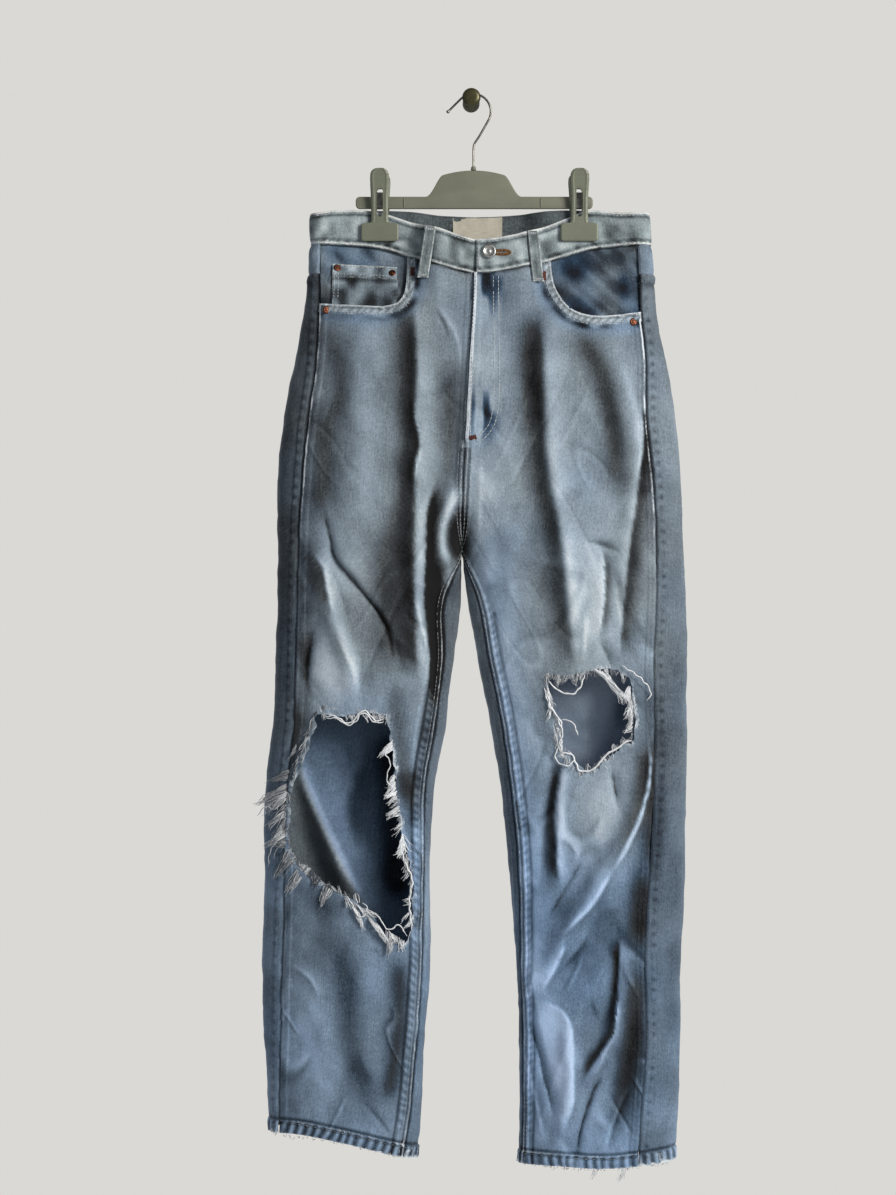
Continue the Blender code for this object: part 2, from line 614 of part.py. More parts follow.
def turned(name, profile, segments, collection, material):
    """A turned piece on its own +Z, from a profile of radius and height, top to bottom."""
    mesh = bpy.data.meshes.new(name)
    points = [(radius, 0, height) for radius, height in profile]
    mesh.from_pydata(points, [(i, i + 1) for i in range(len(points) - 1)], [])
    obj = add_object(name, mesh, collection, material, smooth=False)
    screw = obj.modifiers.new("turn", "SCREW")
    screw.steps = screw.render_steps = segments
    screw.use_merge_vertices = True
    screw.merge_threshold = 0.00005
    screw.use_smooth_shade = True
    return obj


def face_out(obj, place, normal):
    """Stands a turned piece on a face, its own +Z along the face's normal."""
    x, y, z = normal
    obj.location = place
    obj.rotation_euler = (math.acos(z), 0, math.atan2(x, -y))


def seat(carriers, x, z, front=True):
    """Where a line along Y first meets the carriers, and the face's normal there."""
    bpy.context.view_layer.update()
    graph = bpy.context.evaluated_depsgraph_get()
    start, way = (Vector((x, -1, z)), Vector((0, 1, 0))) if front else (
        Vector((x, 1, z)), Vector((0, -1, 0))
    )
    found = []
    for obj in carriers:
        place, normal, _, distance = BVHTree.FromObject(obj, graph).ray_cast(start, way)
        if place:
            found.append((distance, place, normal))
    _, place, normal = min(found, key=lambda item: item[0])
    return place, normal


# ---------------------------------------------------------------- panels


def leg_levels():
    """Row levels that the front and back pieces share, so that their seams meet row for row."""
    yoke = np.linspace(SEAM_LEVEL - GAP / 2, YOKE_SIDE_LEVEL, YOKE_ROWS)
    return np.concatenate([yoke, np.linspace(YOKE_SIDE_LEVEL, HEM_LEVEL, LEG_ROW_COUNT)[1:]])


def front_grid(side):
    """The front panel's face: rows from the waist seam to the hem, columns from the inner seam."""
    level = leg_levels()[:, None]
    inner = clear_of_seam(side, level, seam_turn(side, level, "inner_seam"), 1)
    outer = clear_of_seam(side, level, seam_turn(side, level, "outer_seam"), -1)
    return leg_face(side, level, inner + (outer - inner) * np.linspace(0, 1, FRONT_COLUMNS))


def back_grid(side, levels, fall):
    """A back piece's face, from the outseam round the outer edge and the back to the inseam.

    Each row is level on the front and falls towards the centre back by its own share.
    """
    level = np.repeat(levels[:, None], BACK_COLUMNS, 1)
    for _ in range(3):
        inseam = seam_turn(side, level, "inner_seam") * (level < CROTCH_LEVEL)
        start = clear_of_seam(side, level, seam_turn(side, level, "outer_seam"), 1)
        end = clear_of_seam(side, level, 2 * math.pi + inseam, -1)
        turn = start + (end - start) * np.linspace(0, 1, BACK_COLUMNS)
        share = np.clip((turn - math.pi) / math.pi, 0, 1)
        level = levels[:, None] - YOKE_FALL * fall[:, None] * share
    return leg_face(side, level, turn)


def split(upper, lower, z, cutters):
    """Keeps one copy of a panel above a height and the other below it, a gap apart.

    The cloth is one piece. Two solids let collision pieces follow its hollow past the large tear.
    """
    ends = ((upper, z, TRIM_BELOW), (lower, z - GAP, TRIM_ABOVE))
    for panel, near, far in ends:
        outline = ((-TRIM_SIDE, near), (TRIM_SIDE, near), (TRIM_SIDE, far), (-TRIM_SIDE, far))
        boolean(panel, prism(f"cut_{panel.name}_end", outline, CUT_NEAR, CUT_FAR, cutters))


def build_fronts(cloth, cutters, denim):
    """Both front panels, with their pocket mouths and torn knees."""
    grids = {}
    for side in LEGS:
        points, normals = grids[side] = front_grid(side)
        panel = layer(f"front_{side}", points, normals, 0, CLOTH, cloth, denim)
        torn = panel
        if side == "right":
            torn = layer("front_right_lower", points, normals, 0, CLOTH, cloth, denim)
            split(panel, torn, RIGHT_SPLIT, cutters)
        hole = prism(
            f"cut_knee_{side}", smooth_loop(KNEE_HOLES[side]), CUT_NEAR, KNEE_CUT_FAR, cutters
        )
        boolean(torn, hole)
        outside = MOUTH_OUTSIDE[side]
        line = POCKET_MOUTHS[side]
        mouth = [*line, (outside, line[-1][1]), (outside, MOUTH_ABOVE), (line[0][0], MOUTH_ABOVE)]
        boolean(panel, prism(f"cut_mouth_{side}", mouth, CUT_NEAR, CUT_FAR, cutters))
    return grids


def build_backs(cloth, cutters, denim):
    """Both back panels and yokes, and the patch pockets made from the back panels' points."""
    for side in LEGS:
        levels = leg_levels()
        below = levels[YOKE_ROWS - 1 :].copy()
        below[0] -= GAP / 2
        fall = np.zeros(len(below))
        fall[: len(YOKE_FADE)] = YOKE_FADE
        points, normals = back_grid(side, below, fall)
        layer(f"back_{side}", points, normals, 0, CLOTH, cloth, denim)
        near, far = (BACK_POCKET[end] * (1 if side == "left" else -1) for end in ("near", "far"))
        outline = (
            (near, BACK_POCKET["top"]),
            (far, BACK_POCKET["top"]),
            (far, BACK_POCKET["side"]),
            ((near + far) / 2, BACK_POCKET["point"]),
            (near, BACK_POCKET["side"]),
        )
        rows = slice(0, BACK_POCKET_ROWS)
        pocket = layer(
            f"back_pocket_{side}",
            points[rows],
            normals[rows],
            -2 * GAP,
            -2 * GAP - LAYER,
            cloth,
            denim,
        )
        keep = prism(f"keep_pocket_{side}", outline, BACK_POCKET_CUT_NEAR, CUT_FAR, cutters)
        boolean(pocket, keep, "INTERSECT")
        above = levels[:YOKE_ROWS].copy()
        above[-1] += GAP / 2
        points, normals = back_grid(side, above, np.linspace(0, YOKE_FADE[0], YOKE_ROWS))
        layer(f"yoke_{side}", points, normals, 0, CLOTH, cloth, denim)


def build_waistband(cloth, denim):
    """Two halves from the centre back round the sides to the front, the left lapped over."""
    level = np.linspace(TOP_LEVEL, SEAM_LEVEL + GAP / 2, BAND_ROWS)[:, None]
    for side in LEGS:
        start = clear_of_seam(side, level, np.full_like(level, 2 * math.pi), -1)
        leg = LEG_TABLE[side]
        outer, inner = curve(leg, "outer", level), curve(leg, "inner", level)
        across = (2 * BAND_END - outer - inner) / (inner - outer)
        end = np.full_like(level, UNDERLAP_TURN)
        if side == "left":
            end = np.arccos(np.clip(across, -1, 1))
        turn = start + (end - start) * np.linspace(0, 1, BAND_COLUMNS)
        points, normals = leg_face(side, level, turn)
        sunk = np.zeros((1, BAND_COLUMNS, 1))
        if side == "right":
            last_x = points[0, -1, 0]
            beyond = np.linspace(last_x, BAND_END + UNDERLAP, UNDERLAP_COLUMNS + 1)[1:]
            more_points, more_normals = face_at(beyond[None, :], level, True)
            points = np.concatenate([points, more_points], 1)
            normals = np.concatenate([normals, more_normals], 1)
            sunk = np.concatenate([sunk, np.full((1, UNDERLAP_COLUMNS, 1), BAND + GAP)], 1)
            sunk[:, BAND_COLUMNS - 1] = BAND + GAP
        points = points - normals * sunk
        layer(f"waistband_{side}", points, normals, 0, BAND, cloth, denim)


def build_front_pockets(grids, cloth, cutters, facing, denim):
    """The facings behind the mouths, and the coin pocket between the right one and its panel."""
    for side in LEGS:
        points, normals = grids[side]
        rows = 1 + int(np.argmax(points[:, -1, 2] < FACING_BOTTOM))
        part = (slice(0, rows), slice(FACING_INNER_COLUMN, None))
        near = CLOTH + GAP + (LAYER + GAP if side == "right" else 0)
        layer(
            f"pocket_facing_{side}", points[part], normals[part], near, near + LAYER, cloth, facing
        )
        if side == "right":
            near = CLOTH + GAP
            coin = layer(
                "coin_pocket", points[part], normals[part], near, near + LAYER, cloth, denim
            )
    outer, inner, outer_z, inner_z, bottom = COIN_POCKET
    outline = ((outer, outer_z), (inner, inner_z), (inner, bottom), (outer, bottom))
    boolean(coin, prism("keep_coin_pocket", outline, CUT_NEAR, CUT_FAR, cutters), "INTERSECT")


def build_fly(grids, cloth, denim, zip_tape):
    """The zip tape and the shield, in that order behind the left front's inner columns."""
    points, normals = grids["left"]
    rows = int(np.argmax(points[:, 0, 2] < FLY_BOTTOM_LEVEL))
    near = CLOTH + GAP
    part = (slice(0, rows), slice(0, ZIP_COLUMNS))
    layer("fly_zip", points[part], normals[part], near, near + LAYER, cloth, zip_tape)
    near += LAYER + GAP
    part = (slice(0, rows), slice(0, SHIELD_COLUMNS))
    layer("fly_shield", points[part], normals[part], near, near + LAYER, cloth, denim)


# ---------------------------------------------------------------- loops, label and trims


def belt_loop(name, top_x, bottom_x, front, carriers, cloth, denim):
    """A strip from the waistband's top edge to just below its seam, bowed off it in the middle."""
    face = "front" if front else "back"
    toward = -1 if front else 1
    outer = np.empty((BELT_LOOP_ROWS, BELT_LOOP_SIDES, 3))
    for row, down in enumerate(np.linspace(0, 1, BELT_LOOP_ROWS)):
        for column, share in enumerate(np.linspace(-0.5, 0.5, BELT_LOOP_SIDES)):
            x = top_x + (bottom_x - top_x) * down + share * BELT_LOOP_WIDTH
            top = float(curve(WAIST_TABLE[face], "top", x)) - BELT_LOOP_TOP
            bottom = float(curve(WAIST_TABLE[face], "seam", x)) - BELT_LOOP_REACH
            z = top + (bottom - top) * down
            place, _ = seat(carriers, x, z, front)
            lift = BELT_LOOP_SEAT + BELT_LOOP_LIFT * math.sin(down * math.pi)
            outer[row, column] = (x, place.y + toward * (lift + LAYER), z)
    inner = outer - np.array([0, toward * LAYER, 0])
    return wall(name, outer, inner, cloth, denim)


def build_belt_loops(cloth, denim):
    """The five belt loops, each laid on whatever lies below it."""
    objects = cloth.objects
    fronts = [objects[n] for n in ("waistband_left", "waistband_right", "front_left", "front_right")]
    backs = [objects[n] for n in ("waistband_left", "waistband_right", "yoke_left", "yoke_right")]
    for name, top_x, bottom_x, front in BELT_LOOPS:
        belt_loop(name, top_x, bottom_x, front, fronts if front else backs, cloth, denim)


def build_label(cloth, tape):
    """A bare cloth label on the inside of the back waistband."""
    x = np.linspace(LABEL["left"], LABEL["right"], 6)[None, :]
    top = level_at(x, curve(WAIST_TABLE["back"], "top", x) - LABEL["below_edge"], False)
    level = top - np.linspace(0, LABEL["height"], 3)[:, None]
    points, normals = face_at(x, level, False)
    near = BAND + 2 * GAP
    layer("waist_label", points, normals, near, near + LABEL["cloth"], cloth, tape)


def build_trims(cloth, metal, copper):
    """The waist button and the pocket rivets, each seated on the face below it."""
    x, z = BUTTON_PLACE
    place, normal = seat([cloth.objects["waistband_left"]], x, z)
    profile = np.array(BUTTON_PROFILE) * (BUTTON_RADIUS, BUTTON_HEIGHT)
    button = turned("button", profile, 24, cloth, metal)
    face_out(button, place + normal * 2 * GAP, normal)
    for name, x, z, carrier in RIVETS:
        place, normal = seat([cloth.objects[carrier]], x, z)
        profile = np.array(RIVET_PROFILE) * (RIVET_RADIUS, RIVET_HEIGHT)
        rivet = turned(name, profile, 16, cloth, copper)
        face_out(rivet, place + normal * 2 * GAP, normal)


# ---------------------------------------------------------------- holder


def hook_route():
    """The wire's route: a straight tip, an arc over the knob's neck, and a bend down to its foot."""
    centre_z = KNOB_NECK + GAP + WIRE_RADIUS - HOOK_RADIUS
    turns = np.radians(np.linspace(*HOOK_ARC, 22))
    arc = [(HOOK_X + HOOK_RADIUS * math.cos(t), centre_z + HOOK_RADIUS * math.sin(t)) for t in turns]
    slope = HOOK_TIP_LENGTH / math.sqrt(2)
    start_x, start_z = arc[0]
    tip = [(start_x - slope * share, start_z - slope * share) for share in HOOK_TIP_STEPS]
    return tip + arc + list(HOOK_SHANK)


def build_hook(holder, wire, grey):
    """The wire hook, whose bead-ended tip is bare, and the collar round its foot."""
    route = hook_route()
    data = bpy.data.curves.new("hook", "CURVE")
    data.dimensions = "3D"
    data.bevel_depth = WIRE_RADIUS
    data.bevel_resolution = 2
    data.use_fill_caps = True
    spline = data.splines.new("POLY")
    spline.points.add(len(route) - 1)
    for point, (x, z) in zip(spline.points, route):
        point.co = (x, HANG_Y, z, 1)
    for point, radius in zip(spline.points, HOOK_TIP_RADII):
        point.radius = radius
    data.materials.append(wire)
    hook = bpy.data.objects.new("hook", data)
    holder.objects.link(hook)
    foot_x, foot_z = HOOK_SHANK[-1]
    bore = WIRE_RADIUS + GAP
    profile = (
        (bore, COLLAR_HEIGHT), (COLLAR_RADIUS * 0.8, COLLAR_HEIGHT),
        (COLLAR_RADIUS, COLLAR_HEIGHT * 0.15), (COLLAR_RADIUS, 0.0), (bore, 0.0),
        (bore, COLLAR_HEIGHT),
    )
    collar = turned("hook_collar", profile, 20, holder, grey)
    collar.location = (foot_x, HANG_Y, foot_z - COLLAR_FOOT)


def hanger_outline():
    """The bar with rounded ends and the hump that carries the hook, in x and z."""
    corner_turns = np.radians(np.linspace(0, 90, 5))
    ends = []
    for x, direction in ((BAR_LEFT, -1), (BAR_RIGHT, 1)):
        centre_x = x + direction * BAR_CORNER
        low = [
            (centre_x - direction * BAR_CORNER * math.sin(t), BAR_BOTTOM + BAR_CORNER * (1 - math.cos(t)))
            for t in corner_turns
        ]
        high = [
            (centre_x - direction * BAR_CORNER * math.cos(t), BAR_TOP - BAR_CORNER * (1 - math.sin(t)))
            for t in corner_turns
        ]
        ends.append(low + high)
    away = np.linspace(HUMP_OUTER, -HUMP_OUTER, 33)
    shape = smoothstep(HUMP_OUTER, HUMP_INNER, np.abs(away))
    rise = (HUMP_HEIGHT - HUMP_CROWN * (away / HUMP_SHOULDER) ** 2) * shape
    hump = list(zip(HUMP_X + away, BAR_TOP + rise))
    left, right = ends
    return left + hump + right[::-1]


def build_hanger(holder, grey):
    """The hanger's flat bar and hump, one moulded piece."""
    half = BAR_THICKNESS / 2
    body = prism("hanger_body", hanger_outline(), HANG_Y - half, HANG_Y + half, holder)
    body.hide_render = False
    body.display_type = "TEXTURED"
    body.data.materials.append(grey)


def clip_half(name, clip_x, facing, extra_width, holder, cutters, grey):
    """One half of a clip: a wide jaw plate below, and a slotted lever that leans off above."""
    rows = table(CLIP_COLUMNS, CLIP_ROWS)
    height = rows["height"][:, None]
    half_width = rows["half_width"][:, None] + extra_width
    x = clip_x + half_width * np.array([-1.0, -1 / 3, 1 / 3, 1.0])
    near = HANG_Y + facing * (BAND + 3 * GAP + rows["lean"][:, None]) * np.ones_like(x)
    z = CLIP_BOTTOM + height * np.ones_like(x)
    inner = np.stack([x, near, z], -1)
    outer = np.stack([x, near + facing * CLIP_THICKNESS, z], -1)
    half = wall(name, outer, inner, holder, grey)
    slot_half, low, high = CLIP_SLOT
    outline = (
        (clip_x - slot_half, CLIP_BOTTOM + low), (clip_x + slot_half, CLIP_BOTTOM + low),
        (clip_x + slot_half, CLIP_BOTTOM + high), (clip_x - slot_half, CLIP_BOTTOM + high),
    )
    boolean(half, prism(f"cut_{name}", outline, CUT_NEAR, CUT_FAR, cutters))


def clip_spring(name, clip_x, holder, steel):
    """A sprung strip bent over the bar, its feet against the two levers."""
    turns = np.radians(np.linspace(180, 0, SPRING_STEPS))
    top = BAR_TOP + SPRING_RISE
    faces = []
    for radius in (BAR_THICKNESS / 2 + GAP + SPRING_THICKNESS, BAR_THICKNESS / 2 + GAP):
        arc = [(radius * math.cos(t), top + radius * math.sin(t)) for t in turns]
        foot = radius + SPRING_SPREAD
        route = [(-foot, SPRING_FOOT), *arc, (foot, SPRING_FOOT)]
        faces.append(
            np.array(
                [
                    [(clip_x + side * SPRING_HALF_WIDTH, HANG_Y + y, z) for side in (-1, 1)]
                    for y, z in route
                ]
            )
        )
    wall(name, faces[0], faces[1], holder, steel)


def build_clips(holder, cutters, grey, steel):
    """Two clips on the bar, each of two halves and a spring."""
    for side, clip_x in CLIP_X.items():
        clip_half(f"clip_front_{side}", clip_x, -1, 0.0, holder, cutters, grey)
        clip_half(f"clip_back_{side}", clip_x, 1, CLIP_BACK_WIDER, holder, cutters, grey)
        clip_spring(f"clip_spring_{side}", clip_x, holder, steel)


def build_knob(holder, bronze):
    """The wall knob, its foot flat on the wall and its neck under the hook."""
    knob = turned("wall_knob", KNOB_PROFILE, 32, holder, bronze)
    knob.rotation_euler = (math.pi / 2, 0, 0)


def main():
    clear_scene()
    jeans = new_collection("ripped_jeans")
    cutters = new_collection("cutters")
    made = {name: plain_material(name, *values) for name, values in MATERIALS.items()}
    denim, pale, facing = made["denim"], made["denim_pale"], made["denim_facing"]
    grey, steel = made["hanger_plastic"], made["hook_steel"]

    grids = build_fronts(jeans, cutters, denim)
    build_backs(jeans, cutters, denim)
    build_waistband(jeans, pale)
    build_front_pockets(grids, jeans, cutters, facing, pale)
    build_fly(grids, jeans, facing, made["zip_tape"])
    build_belt_loops(jeans, pale)
    build_label(jeans, made["label_cloth"])
    build_trims(jeans, made["button_metal"], made["rivet_copper"])
    build_hook(jeans, steel, grey)
    build_hanger(jeans, grey)
    build_clips(jeans, cutters, grey, steel)
    build_knob(jeans, made["knob_bronze"])


main()
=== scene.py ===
"""The visual model of ripped jeans that hang flat from a clip hanger on a wall knob.

Lengths are metres and +Z is up. The wall is the plane y = 0 and the jeans' front faces -Y, so +X is
the wearer's left. Every cloth piece is a grid of points on the garment's hanging form, folded and
puckered, given a thickness and cut where it is torn. Seams, threads and hardware are laid on it.
"""

import logging
import math
from dataclasses import dataclass, field
from enum import Enum, StrEnum
from typing import ClassVar, Iterable, Mapping, NamedTuple, Sequence

import bpy
import numpy as np
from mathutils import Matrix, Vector
from mathutils.bvhtree import BVHTree


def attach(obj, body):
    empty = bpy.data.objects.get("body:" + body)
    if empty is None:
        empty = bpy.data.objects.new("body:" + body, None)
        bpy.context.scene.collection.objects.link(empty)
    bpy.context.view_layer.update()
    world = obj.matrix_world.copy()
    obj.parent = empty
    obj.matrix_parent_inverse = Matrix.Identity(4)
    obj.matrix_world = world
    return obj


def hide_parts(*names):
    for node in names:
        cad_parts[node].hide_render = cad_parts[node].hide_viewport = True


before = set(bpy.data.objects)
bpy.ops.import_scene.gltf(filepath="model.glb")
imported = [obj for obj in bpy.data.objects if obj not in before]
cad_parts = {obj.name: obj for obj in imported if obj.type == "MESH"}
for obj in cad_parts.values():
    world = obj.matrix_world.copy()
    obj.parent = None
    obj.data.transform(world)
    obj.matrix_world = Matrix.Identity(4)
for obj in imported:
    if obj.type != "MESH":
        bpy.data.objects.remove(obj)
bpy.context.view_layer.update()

LOG = logging.getLogger("ripped_jeans")
Array = np.ndarray
Place = tuple[float, float]
Piece = bpy.types.Object
Tree, Socket = bpy.types.NodeTree, bpy.types.NodeSocket
Value = Socket | float


class Side(StrEnum):
    """The wearer's side."""

    LEFT = "left"
    RIGHT = "right"


def metres(places: Sequence[Place]) -> Array:
    """Places written in millimetres, as rows of metres."""
    return np.array(places) / 1000


# ------------------------------------------------------------------ sizes of the hanging form

HANG_Y = -0.023  # plane of the hook, the hanger bar and the pinched waist
BAND = 0.0033  # half depth of the waist where a clip presses it flat
TOP_LEVEL, SEAM_LEVEL, HEM_LEVEL, CROTCH_LEVEL = -0.125, -0.160, -1.155, -0.494
WAIST_FADE_LEVEL, HEM_FADE_LEVEL = -0.320, -0.900
ROUNDNESS = 2.2
CLIP_X = {Side.LEFT: 0.118, Side.RIGHT: -0.100}
BAR_TOP, BAR_HALF_DEPTH = -0.1065, 0.0025  # of the hanger
PINCH_FLAT, PINCH_OUTWARD, PINCH_INWARD = 0.032, 0.078, 0.066
PINCH_LEVEL, PINCH_FADE_LEVEL = -0.155, -0.235
YOKE_SIDE_LEVEL, YOKE_FALL, YOKE_FADE_LENGTH = -0.193, 0.040, 0.150
CELL = 0.0025  # spacing of a front panel's grid
BACK_CELL = 0.0037
DENIM_THICKNESS = 0.0012
HEM_HEIGHT = 0.0125
CREASE_HEIGHT = 0.0034  # how far a crease of tone 1 stands off
FELL_WIDTH = 0.0095
ROPE_PITCH = 0.0098

LEG_COLUMNS = ("level", "outer", "outer_seam", "inner_seam", "inner")
LEG_ROWS = {
    Side.LEFT: (
        (-0.125, 0.1945, 0.1800, 0.0037, 0.0037),
        (-0.180, 0.1990, 0.1820, 0.0027, 0.0027),
        (-0.230, 0.2015, 0.1830, 0.0007, 0.0007),
        (-0.290, 0.2125, 0.1880, -0.0018, -0.0018),
        (-0.350, 0.2215, 0.1880, -0.0043, -0.0043),
        (-0.420, 0.2265, 0.1950, -0.0088, -0.0088),
        (-0.460, 0.2280, 0.1970, -0.0096, -0.0096),
        (-0.494, 0.2300, 0.1980, -0.0094, -0.0094),
        (-0.550, 0.2327, 0.1980, 0.0085, -0.0035),
        (-0.610, 0.2338, 0.1950, 0.0190, 0.0070),
        (-0.680, 0.2338, 0.1960, 0.0330, 0.0205),
        (-0.745, 0.2330, 0.1960, 0.0425, 0.0310),
        (-0.840, 0.2318, 0.1905, 0.0510, 0.0405),
        (-0.940, 0.2275, 0.1860, 0.0540, 0.0483),
        (-1.030, 0.2265, 0.1870, 0.0560, 0.0520),
        (-1.100, 0.2243, 0.1820, 0.0560, 0.0525),
        (-1.155, 0.2210, 0.1780, 0.0540, 0.0500),
    ),
    Side.RIGHT: (
        (-0.125, -0.1763, -0.1640, 0.0033, 0.0033),
        (-0.180, -0.1774, -0.1650, 0.0023, 0.0023),
        (-0.230, -0.1817, -0.1655, 0.0003, 0.0003),
        (-0.290, -0.1925, -0.1680, -0.0022, -0.0022),
        (-0.350, -0.2040, -0.1755, -0.0047, -0.0047),
        (-0.420, -0.2095, -0.1820, -0.0092, -0.0092),
        (-0.460, -0.2100, -0.1845, -0.0106, -0.0106),
        (-0.494, -0.2110, -0.1860, -0.0114, -0.0114),
        (-0.550, -0.2110, -0.1875, -0.0295, -0.0125),
        (-0.610, -0.2121, -0.1885, -0.0300, -0.0190),
        (-0.680, -0.2154, -0.1910, -0.0390, -0.0277),
        (-0.745, -0.2235, -0.1980, -0.0500, -0.0396),
        (-0.840, -0.2252, -0.2010, -0.0520, -0.0450),
        (-0.940, -0.2273, -0.2040, -0.0540, -0.0445),
        (-1.030, -0.2253, -0.2055, -0.0600, -0.0510),
        (-1.100, -0.2219, -0.2075, -0.0660, -0.0537),
        (-1.155, -0.2200, -0.2075, -0.0740, -0.0590),
    ),
}
DEPTH_COLUMNS = ("level", "middle", "front", "back", "centre_front", "centre_back")
DEPTH_ROWS = (
    (-0.125, -0.0230, 0.0200, 0.0110, 1.00, 1.00),
    (-0.170, -0.0232, 0.0220, 0.0120, 1.00, 1.00),
    (-0.230, -0.0305, 0.0290, 0.0180, 0.99, 0.99),
    (-0.290, -0.0380, 0.0340, 0.0260, 0.97, 0.97),
    (-0.350, -0.0420, 0.0365, 0.0300, 0.93, 0.95),
    (-0.400, -0.0440, 0.0375, 0.0320, 0.85, 0.90),
    (-0.440, -0.0450, 0.0375, 0.0330, 0.68, 0.78),
    (-0.470, -0.0450, 0.0370, 0.0330, 0.42, 0.52),
    (-0.494, -0.0450, 0.0370, 0.0330, 0.01, 0.01),
    (-0.610, -0.0445, 0.0360, 0.0330, 0.00, 0.00),
    (-0.745, -0.0430, 0.0350, 0.0320, 0.00, 0.00),
    (-0.940, -0.0420, 0.0340, 0.0310, 0.00, 0.00),
    (-1.155, -0.0410, 0.0330, 0.0300, 0.00, 0.00),
)
WAIST_COLUMNS = ("x", "top", "seam")
WAIST_ROWS = {
    "front": (
        (-0.170, -0.1255, -0.1592),
        (-0.140, -0.1213, -0.1590),
        (-0.100, -0.1240, -0.1625),
        (-0.065, -0.1350, -0.1727),
        (-0.035, -0.1435, -0.1830),
        (0.000, -0.1550, -0.1920),
        (0.045, -0.1510, -0.1875),
        (0.075, -0.1420, -0.1800),
        (0.100, -0.1320, -0.1725),
        (0.125, -0.1225, -0.1650),
        (0.165, -0.1245, -0.1600),
    ),
    "back": (
        (-0.170, -0.1255, -0.1592),
        (-0.100, -0.1215, -0.1570),
        (0.005, -0.1265, -0.1620),
        (0.118, -0.1210, -0.1570),
        (0.165, -0.1245, -0.1600),
    ),
}
HEM_COLUMNS = ("x", "edge")
HEM_ROWS = {
    Side.LEFT: ((0.050, -1.156), (0.090, -1.155), (0.135, -1.157), (0.180, -1.155), (0.222, -1.152)),
    Side.RIGHT: ((-0.220, -1.122), (-0.190, -1.121), (-0.145, -1.128), (-0.092, -1.142), (-0.060, -1.152)),
}


class Fold(NamedTuple):
    """A fold, in millimetres: its height off the face, the widths of its two flanks and its route."""

    height: float
    left: float
    right: float
    route: tuple[Place, ...]


class Crease(NamedTuple):
    """A crease: the tone of its line, the tones and reaches of its two sides, and its route.

    Reaches and route are in millimetres. The tones are mostly painted highlight and painted shade of
    folds lit from the right: the flank towards the light painted paler, the other flank and the valley
    painted darker, with a painted pale line on a lit crest. A positive tone is painted paler and, on
    the front, stands proud. Left is towards -X of a route that runs down.
    """

    line: float
    left: float
    right: float
    left_reach: float
    right_reach: float
    route: tuple[Place, ...]


def patch(tone: float, reach: float, *route: Place) -> Crease:
    """A soft patch along a route: a crease without a line, whose two sides are alike."""
    return Crease(0, tone, tone, reach, reach, route)


# Routes are x and z in millimetres and run downwards, as do the outlines after them.
FRONT_FOLDS = (
    Fold(5, 16, 18, ((-118, -250), (-121, -370), (-136, -510))),
    Fold(7.5, 12, 12, ((-58, -238), (-60, -380), (-63, -500), (-60, -610))),
    Fold(7, 14, 24, ((0, -235), (0, -340), (-12, -440), (-22, -520))),
    Fold(8.5, 13, 13, ((78, -262), (83, -370), (96, -486), (107, -560), (111, -630))),
    Fold(6.5, 10, 13, ((119, -262), (146, -296), (162, -360), (168, -415), (165, -462))),
    Fold(3.5, 6, 6, ((-20, -438), (-28, -458), (-36, -478), (-32, -506))),
    Fold(-2.2, 4, 5, ((-59, -345), (-55, -395))),
    Fold(6, 10, 8, ((-176, -492), (-165, -516), (-155, -557), (-137, -600), (-126, -655))),
    Fold(-5.5, 9, 5, ((-153, -468), (-147, -505), (-125, -532), (-107, -553), (-88, -585), (-77, -608))),
    Fold(-4, 6, 7, ((-168, -575), (-176, -624), (-163, -658))),
    Fold(-4.5, 6, 8, ((171, -470), (168, -520))),
    Fold(-3, 6, 6, ((122, -482), (139, -489), (158, -495))),
    Fold(-6, 10, 7, ((139, -495), (155, -538), (160, -590))),
    Fold(-3, 6, 8, ((134, -582), (150, -620))),
    Fold(-6, 9, 7, ((90, -720), (85, -768), (78, -842))),
    Fold(5, 7, 10, ((98, -728), (90, -785), (90, -850))),
    Fold(-3.5, 5, 6, ((150, -724), (158, -772))),
    Fold(7.5, 10, 9, ((188, -700), (181, -758), (166, -798), (139, -836), (122, -868), (96, -911), (72, -956))),
    Fold(-4.5, 7, 6, ((128, -916), (105, -932), (80, -951))),
    Fold(4.5, 8, 7, ((66, -945), (52, -985))),
    Fold(-6.5, 10, 8, ((158, -915), (153, -963), (143, -996), (131, -1036), (117, -1066))),
    Fold(4.5, 6, 6, ((161, -965), (153, -998), (148, -1020))),
    Fold(5, 8, 6, ((100, -986), (103, -1033), (105, -1067), (91, -1128))),
    Fold(-4.5, 7, 6, ((142, -1055), (125, -1085), (116, -1116), (111, -1142))),
    Fold(-5, 12, 10, ((168, -1026), (162, -1071), (154, -1118))),
    Fold(4.5, 10, 9, ((206, -915), (193, -980), (186, -1020))),
    Fold(-3.5, 8, 8, ((60, -1004), (77, -1050), (89, -1090))),
    Fold(3.5, 11, 14, ((-178, -955), (-165, -1000), (-150, -1045))),
    Fold(4, 13, 13, ((-118, -935), (-119, -1010), (-124, -1090))),
    Fold(-3, 10, 10, ((-90, -935), (-91, -1010), (-96, -1080))),
)
